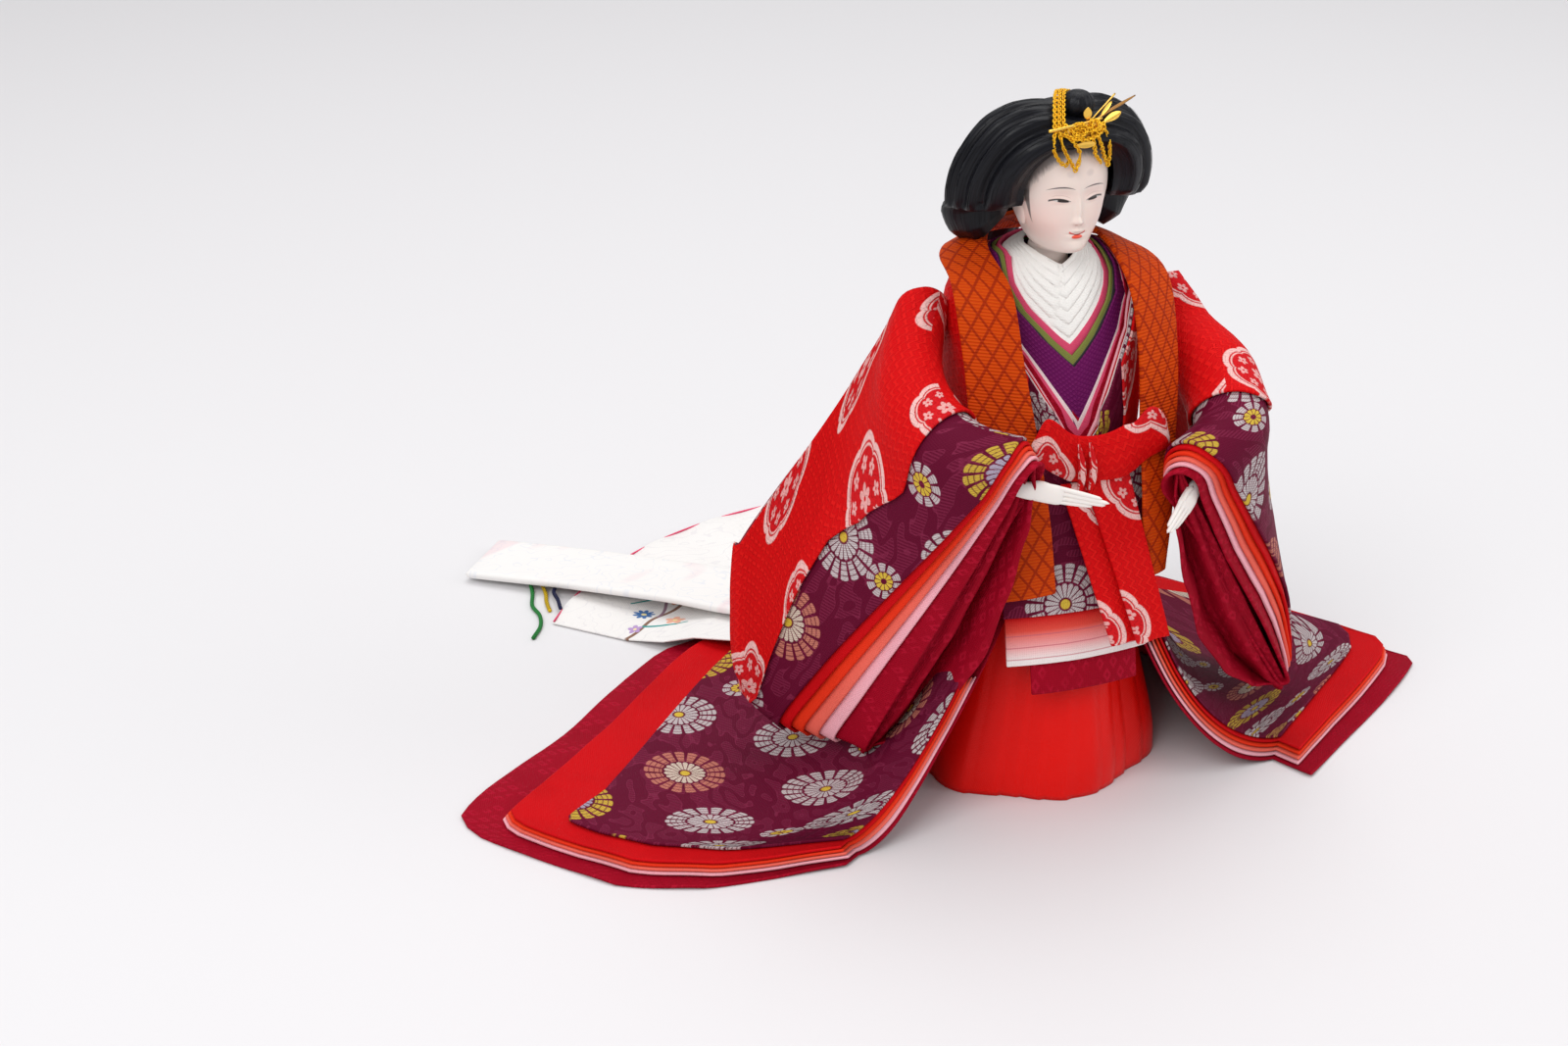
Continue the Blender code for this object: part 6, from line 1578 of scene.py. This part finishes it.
def makeBunAndTail():
    cx, cy, cz = bun["centre"]
    rings = []
    for i in range(bun["rows"]):
        rise, width = smoothKeys(bun["shares"], i * (len(bun["shares"]) - 1) / (bun["rows"] - 1))
        ring = []
        for k in range(bun["columns"]):
            a = turn * k / bun["columns"] + rise * 0.9
            r = bun["radius"] * width + noise.noise(Vector((math.cos(a) * 9, math.sin(a) * 9, rise))) * bun["strand"] * 2
            ring.append((cx + r * math.cos(a), cy + r * math.sin(a), cz + bun["radius"] * bun["squash"] * rise))
        rings.append(ring)
    ringMesh("hairBun", rings, mats["hairTail"], "head", nodes=["hair_bun"])
    rings, last = [], len(tail["route"]) - 1
    for i in range(tail["steps"] + 1):
        at = i * last / tail["steps"]
        key = smoothKeys(tail["route"], at)
        along = unit((smoothKeys(tail["route"], min(at + 0.1, last)) - smoothKeys(tail["route"], max(at - 0.1, 0)))[:3])
        back = np.cross((1, 0, 0), along)
        ring = []
        for k in range(tail["columns"]):
            a = turn * k / tail["columns"]
            strand = 1 + noise.noise(Vector((math.cos(a) * 7, math.sin(a) * 7, at * 0.25))) * 0.10
            ring.append(key[:3] + np.array((1, 0, 0)) * key[3] * math.cos(a) * strand + back * key[4] * math.sin(a) * strand)
        rings.append(ring)
    ringMesh("hairTail", rings, mats["hairTail"], "head", nodes=["hair_tail"])


makeBunAndTail()
print("hair combed")

# Gold ornaments
gold = dict(
    spacing=0.00092, link=0.00058, wire=0.00023, stretch=1.30,
    bandTop=((0.0030, -0.0030, 0.2335), (0.0010, -0.0060, 0.2372), (-0.0030, -0.0100, 0.2386), (-0.0058, -0.0150, 0.2370),
             (-0.0076, -0.0190, 0.2335), (-0.0086, -0.0214, 0.2302)),
    bandOffsets=(-0.0014, 0.0, 0.0014),
    left=(((-0.0090, -0.0208, 0.2300), (-0.0107, -0.0226, 0.2278), (-0.0106, -0.0226, 0.2240), (-0.0084, -0.0222, 0.2203),
           (-0.0062, -0.0222, 0.2184), (-0.0052, -0.0222, 0.2194)),
          ((-0.0085, -0.0218, 0.2294), (-0.0085, -0.0236, 0.2261), (-0.0066, -0.0232, 0.2225), (-0.0044, -0.0228, 0.2192),
           (-0.0029, -0.0227, 0.2168)),
          ((-0.0068, -0.0230, 0.2286), (-0.0046, -0.0244, 0.2260), (-0.0022, -0.0238, 0.2226), (-0.0020, -0.0232, 0.2194),
           (-0.0028, -0.0230, 0.2169))),
    right=(((0.0016, -0.0242, 0.2280), (0.0028, -0.0238, 0.2240), (0.0040, -0.0228, 0.2210), (0.0062, -0.0220, 0.2184)),
           ((0.0034, -0.0240, 0.2280), (0.0056, -0.0232, 0.2238), (0.0076, -0.0216, 0.2200), (0.0096, -0.0204, 0.2166)),
           ((0.0066, -0.0220, 0.2294), (0.0084, -0.0226, 0.2250), (0.0096, -0.0214, 0.2206), (0.0098, -0.0205, 0.2168))),
    swags=(((-0.0088, -0.0222, 0.2288), (-0.0046, -0.0246, 0.2274), (-0.0008, -0.0250, 0.2270), (0.0032, -0.0244, 0.2276), (0.0066, -0.0222, 0.2292)),
           ((-0.0080, -0.0212, 0.2302), (-0.0042, -0.0232, 0.2292), (-0.0004, -0.0238, 0.2290), (0.0034, -0.0232, 0.2292), (0.0068, -0.0212, 0.2302)),
           ((-0.0066, -0.0214, 0.2310), (-0.0042, -0.0234, 0.2304), (0.0006, -0.0236, 0.2302), (0.0046, -0.0218, 0.2312))),
    knots=(((-0.0052, -0.0226, 0.2306), (-0.0030, -0.0238, 0.2318), (-0.0006, -0.0240, 0.2306), (-0.0014, -0.0248, 0.2286),
            (-0.0040, -0.0246, 0.2284), (-0.0054, -0.0232, 0.2300)),
           ((0.0022, -0.0226, 0.2322), (0.0042, -0.0232, 0.2314), (0.0038, -0.0240, 0.2296), (0.0014, -0.0242, 0.2296), (0.0014, -0.0234, 0.2316))),
    plate=dict(centre=(-0.0004, -0.0226, 0.2293), half=(0.0060, 0.0005, 0.0022)),
    disc=dict(centre=(-0.0006, -0.0243, 0.2252), half=(0.0031, 0.0005, 0.0011)),
    pinFlat=((-0.0122, -0.0216, 0.2296), (-0.0090, -0.0226, 0.2303), (-0.0020, -0.0232, 0.2315), (0.0060, -0.0214, 0.2322)),
    pinDark=((0.0052, -0.0190, 0.2310), (0.0130, -0.0155, 0.2330), (0.0228, -0.0112, 0.2352)),
    fork=((0.0040, -0.0190, 0.2315), (0.0098, -0.0150, 0.2338), (0.0160, -0.0105, 0.2362)),
    # base, tip, half width of each leaf
    leaves=(((0.0008, -0.0216, 0.2318), (0.0006, -0.0222, 0.2362), 0.0013), ((0.0066, -0.0205, 0.2302), (0.0150, -0.0170, 0.2322), 0.0012),
            ((0.0060, -0.0200, 0.2318), (0.0126, -0.0150, 0.2352), 0.0006)),
)


def chainTree():
    tree = bpy.data.node_groups.new("chainLinks", "GeometryNodeTree")
    face = tree.interface
    face.new_socket("Route", in_out="INPUT", socket_type="NodeSocketGeometry")
    values = {"Spacing": "spacing", "Link Radius": "link", "Wire Radius": "wire", "Stretch": "stretch"}
    for label, value in ((label, gold[key]) for label, key in values.items()):
        face.new_socket(label, in_out="INPUT", socket_type="NodeSocketFloat").default_value = value
    face.new_socket("Finish", in_out="INPUT", socket_type="NodeSocketMaterial")
    face.new_socket("Chain", in_out="OUTPUT", socket_type="NodeSocketGeometry")

    def add(kind, **values):
        node = tree.nodes.new(kind)
        for key, value in values.items():
            setattr(node, key, value)
        return node

    link = tree.links.new
    entry, leave = add("NodeGroupInput"), add("NodeGroupOutput")
    curve, points = add("GeometryNodeMeshToCurve"), add("GeometryNodeCurveToPoints", mode="LENGTH")
    ringCurve, wire, ring = add("GeometryNodeCurvePrimitiveCircle"), add("GeometryNodeCurvePrimitiveCircle"), add("GeometryNodeCurveToMesh")
    size, shape = add("ShaderNodeCombineXYZ"), add("GeometryNodeTransform")
    index, half = add("GeometryNodeInputIndex"), add("ShaderNodeMath", operation="MULTIPLY")
    twist, aim = add("ShaderNodeCombineXYZ"), add("FunctionNodeAlignRotationToVector", axis="Z")
    roll = add("FunctionNodeRotateRotation", rotation_space="LOCAL")
    spread, real, finish = add("GeometryNodeInstanceOnPoints"), add("GeometryNodeRealizeInstances"), add("GeometryNodeSetMaterial")
    ringCurve.inputs["Resolution"].default_value = 9
    wire.inputs["Resolution"].default_value = 5
    half.inputs[1].default_value = math.pi / 2
    size.inputs["X"].default_value = 1
    size.inputs["Z"].default_value = 1
    shape.inputs["Rotation"].default_value = (math.pi / 2, 0, 0)
    link(entry.outputs["Route"], curve.inputs[0])
    link(curve.outputs[0], points.inputs["Curve"])
    link(entry.outputs["Spacing"], points.inputs["Length"])
    link(entry.outputs["Link Radius"], ringCurve.inputs["Radius"])
    link(entry.outputs["Wire Radius"], wire.inputs["Radius"])
    link(ringCurve.outputs["Curve"], ring.inputs["Curve"])
    link(wire.outputs["Curve"], ring.inputs["Profile Curve"])
    link(entry.outputs["Stretch"], size.inputs["Y"])
    link(ring.outputs["Mesh"], shape.inputs["Geometry"])
    link(size.outputs[0], shape.inputs["Scale"])
    link(index.outputs[0], half.inputs[0])
    link(half.outputs[0], twist.inputs["Z"])
    link(points.outputs["Tangent"], aim.inputs["Vector"])
    link(aim.outputs[0], roll.inputs["Rotation"])
    link(twist.outputs[0], roll.inputs["Rotate By"])
    link(points.outputs["Points"], spread.inputs["Points"])
    link(shape.outputs[0], spread.inputs["Instance"])
    link(roll.outputs[0], spread.inputs["Rotation"])
    link(spread.outputs[0], real.inputs[0])
    link(real.outputs[0], finish.inputs["Geometry"])
    link(entry.outputs["Finish"], finish.inputs["Material"])
    link(finish.outputs[0], leave.inputs["Chain"])
    return tree


def chain(name, routes, tree, nodes=()):
    points, edges = [], []
    for keys in routes:
        base = len(points)
        line = route(keys, 28)
        points += [tuple(p) for p in line]
        edges += [(base + k, base + k + 1) for k in range(len(line) - 1)]
    mesh = bpy.data.meshes.new(name + "Route")
    mesh.from_pydata(points, edges, [])
    holder = bpy.data.objects.new(name + "Route", mesh)
    bpy.context.scene.collection.objects.link(holder)
    modifier = holder.modifiers.new("links", "NODES")
    modifier.node_group = tree
    sockets = {item.name: item.identifier for item in tree.interface.items_tree if item.in_out == "INPUT"}
    modifier[sockets["Finish"]] = mats["goldThread"].material
    modifier[sockets["Spacing"]] = gold["spacing"]
    bpy.context.view_layer.update()
    made = bpy.data.meshes.new_from_object(holder.evaluated_get(bpy.context.evaluated_depsgraph_get()))
    holder.modifiers.remove(modifier)
    bpy.data.objects.remove(holder)
    if not made.uv_layers:
        made.uv_layers.new(name="UVMap")
    return place(finishMesh(name, made, mats["goldThread"]), "head", nodes)


def leafMesh(name, base, tip, halfWidth, nodes=()):
    base, tip = Vector(base), Vector(tip)
    along = (tip - base).normalized()
    face = Vector((-0.35, -0.85, 0.40)).normalized()
    wide = along.cross(face).normalized()
    out = wide.cross(along).normalized()
    rings = []
    for k in range(19):
        s = k / 18
        swell = 0.16 + 0.84 * math.sin(math.pi * min(1, s ** 1.3 * 1.02)) ** 0.8 if s > 0.12 else 0.20
        ring = []
        for i in range(20):
            a = turn * i / 20
            edge = abs(math.cos(a))
            dish = 0.00045 * edge * edge * swell
            ring.append(base.lerp(tip, s) + wide * halfWidth * swell * math.cos(a) + out * (0.00022 * math.sin(a) + dish))
        rings.append(ring)
    ringMesh(name, rings, mats["gold"], "head", nodes)


def pillow(name, centre, half, material, nodes=(), steps=14, around=40, power=2.6):
    # a flat rounded plate, domed toward the front
    rings = []
    for k in range(steps + 1):
        a = math.pi * (k / steps - 0.5)
        y = centre[1] - half[1] * math.sin(a) - (0.0004 if a > 0 else 0) * math.cos(a)
        grow = max(abs(math.cos(a)) ** 0.45, 0.02)
        ring = []
        for i in range(around):
            b = turn * i / around
            x = math.copysign(abs(math.cos(b)) ** (2 / power), math.cos(b))
            z = math.copysign(abs(math.sin(b)) ** (2 / power), math.sin(b))
            ring.append((centre[0] + half[0] * grow * x, y + half[0] * 0.04 * x * x, centre[2] + half[2] * grow * z))
        rings.append(ring)
    ringMesh(name, rings, material, "head", nodes)


def makeGold():
    tree = chainTree()
    band = []
    for shift in gold["bandOffsets"]:
        band.append([(x + shift * 0.92, y - shift * 0.25, z + abs(shift) * -0.15) for x, y, z in gold["bandTop"]])
    chain("chainBand", band, tree, nodes=["gold_cord_band"])
    chain("chainLoopsLeft", gold["left"], tree, nodes=["gold_cord_bow"])
    chain("chainLoopsRight", gold["right"], tree)
    chain("chainSwags", gold["swags"], tree)
    chain("chainKnots", gold["knots"], tree)
    pillow("goldPlate", gold["plate"]["centre"], gold["plate"]["half"], mats["gold"], nodes=["gold_plate"])
    pillow("goldDisc", gold["disc"]["centre"], gold["disc"]["half"], mats["gold"], power=2.0)
    tube("goldHairpin", route(gold["pinFlat"], 24), [0.00055] * 4 + [0.00045] * 20, mats["gold"], "head",
         sides=12, nodes=["gold_pin"])
    radii = [0.00026 + 0.00034 * math.sin(math.pi * min(1, k / 23 * 1.05)) ** 0.7 for k in range(24)]
    tube("darkHairpin", route(gold["pinDark"], 24), radii, mats["goldDark"], "head", sides=10)
    tube("forkPin", route(gold["fork"], 20), [0.00030] * 20, mats["gold"], "head", sides=8)
    leafMesh("goldLeafMiddle", *gold["leaves"][0], nodes=["gold_leaf_middle"])
    leafMesh("goldLeafLeft", *gold["leaves"][1], nodes=["gold_leaf_left"])
    leafMesh("goldLeafBack", *gold["leaves"][2])


w = mats["goldDark"] = Wiring("oldGilt", (0.34, 0.17, 0.05), roughness=0.35, metallic=1.0)
w.rough(w.noise(500, 3) * 0.25 + 0.22)
makeGold()
print("gold tied on")

# Hands
hands = dict(
    palmHalf=0.0033, thickHalf=0.0013, gap=0.0004, pegDepth=0.0030, peg=0.0009, bend=0.35,
    right=dict(wrist=(-0.04049, -0.0535, 0.12873), axis=(0.74737, -0.64109, -0.17449),
               tip=(-0.0092, -0.0705, 0.1238), across=(0.25, -0.2, -1)),
    left=dict(wrist=(0.0368, -0.04916, 0.1172), axis=(-0.83395, -0.42612, -0.35064),
              tip=(0.0185, -0.0608, 0.1046), across=(0.9, 0.2, -0.3)),
    # share, width, thickness
    palm=((0.0, 0.50, 1.05), (0.04, 0.54, 1.12), (0.12, 0.60, 1.15), (0.24, 0.84, 1.20), (0.36, 0.97, 1.10),
          (0.48, 1.0, 0.95), (0.56, 0.95, 0.70), (0.60, 0.70, 0.30)),
    # place across the palm, reach, radius
    fingers=((-0.72, 0.93, 0.00086), (-0.24, 1.0, 0.00092), (0.25, 0.97, 0.00088), (0.70, 0.86, 0.00074)),
)


def ringAround(middle, across, up, count=40):
    return [middle + across * math.cos(turn * k / count) + up * math.sin(turn * k / count) for k in range(count)]


def makeHand(name, node):
    values = hands[name]
    wrist = Vector(values["wrist"])
    axis, tip, hint = Vector(values["axis"]).normalized(), Vector(values["tip"]), Vector(values["across"])
    start = wrist + axis * hands["gap"]
    length = (tip - start).length
    body = name + "_hand"

    def frameAt(share):
        bend = min(share / hands["bend"], 1)
        middle = (start + axis * length * share).lerp(start.lerp(tip, share), bend)
        along = axis.lerp((tip - start).normalized(), bend)
        flat = along.cross(hint).normalized()
        return middle, flat.cross(along).normalized(), flat

    rings = []
    _, wide, flat = frameAt(0)
    for depth, radius in ((-hands["pegDepth"] + hands["gap"], hands["peg"]), (0, hands["peg"])):
        rings.append(ringAround(start + axis * depth, wide * radius, flat * radius))
    for share, width, thick in [smoothKeys(hands["palm"], k * 7 / 28) for k in range(29)]:
        middle, wide, flat = frameAt(share)
        rings.append(ringAround(middle, wide * hands["palmHalf"] * width, flat * hands["thickHalf"] * thick))
    ringMesh(name + "Palm", rings, mats["skin"], body, nodes=[node])
    for number, (across, reach, radius) in enumerate(hands["fingers"]):
        points, radii = [], []
        for k in range(22):
            s = 0.40 + (reach - 0.40) * k / 21
            middle, wide, flat = frameAt(s)
            close = 1 - 0.42 * max(0, (s - 0.55) / 0.45)
            arch = 0.0003 * math.sin(math.pi * s) - 0.0002 * abs(across)
            points.append(middle + wide * hands["palmHalf"] * across * close * 0.98 + flat * arch)
            taper = 1 - 0.34 * (k / 21) ** 1.5 + 0.05 * math.cos(k / 21 * 3 * math.pi)
            radii.append(radius * taper * math.sqrt(max(0.02, 1 - max(0, (k / 21 - 0.93) / 0.07) ** 2)))
        tube(f"{name}Finger{number + 1}", points, radii, mats["skin"], body, sides=14)
    points, radii = [], []
    for k in range(18):
        s = 0.27 + 0.23 * k / 17
        middle, wide, flat = frameAt(s)
        out = 0.46 + 0.32 * math.sin(math.pi * min(1, k / 17 * 0.9)) ** 0.8
        points.append(middle - wide * hands["palmHalf"] * out + flat * hands["thickHalf"] * 0.55)
        radii.append(0.00088 * (1 - 0.30 * (k / 17) ** 2) * math.sqrt(max(0.02, 1 - max(0, (k / 17 - 0.90) / 0.10) ** 2)))
    tube(name + "Thumb", points, radii, mats["skin"], body, sides=14)


makeHand("right", "right_hand")
makeHand("left", "left_hand")

# Frame inside the robes
for node, key in dict(base_board="wood", neck_stick="wood", straw_core="straw", right_arm="crimson", left_arm="crimson").items():
    held = bpy.data.objects.get(node)
    if held:
        held.data.materials.clear()
        held.data.materials.append(mats[key].material)
print("hands and frame finished")

bpy.context.view_layer.update()
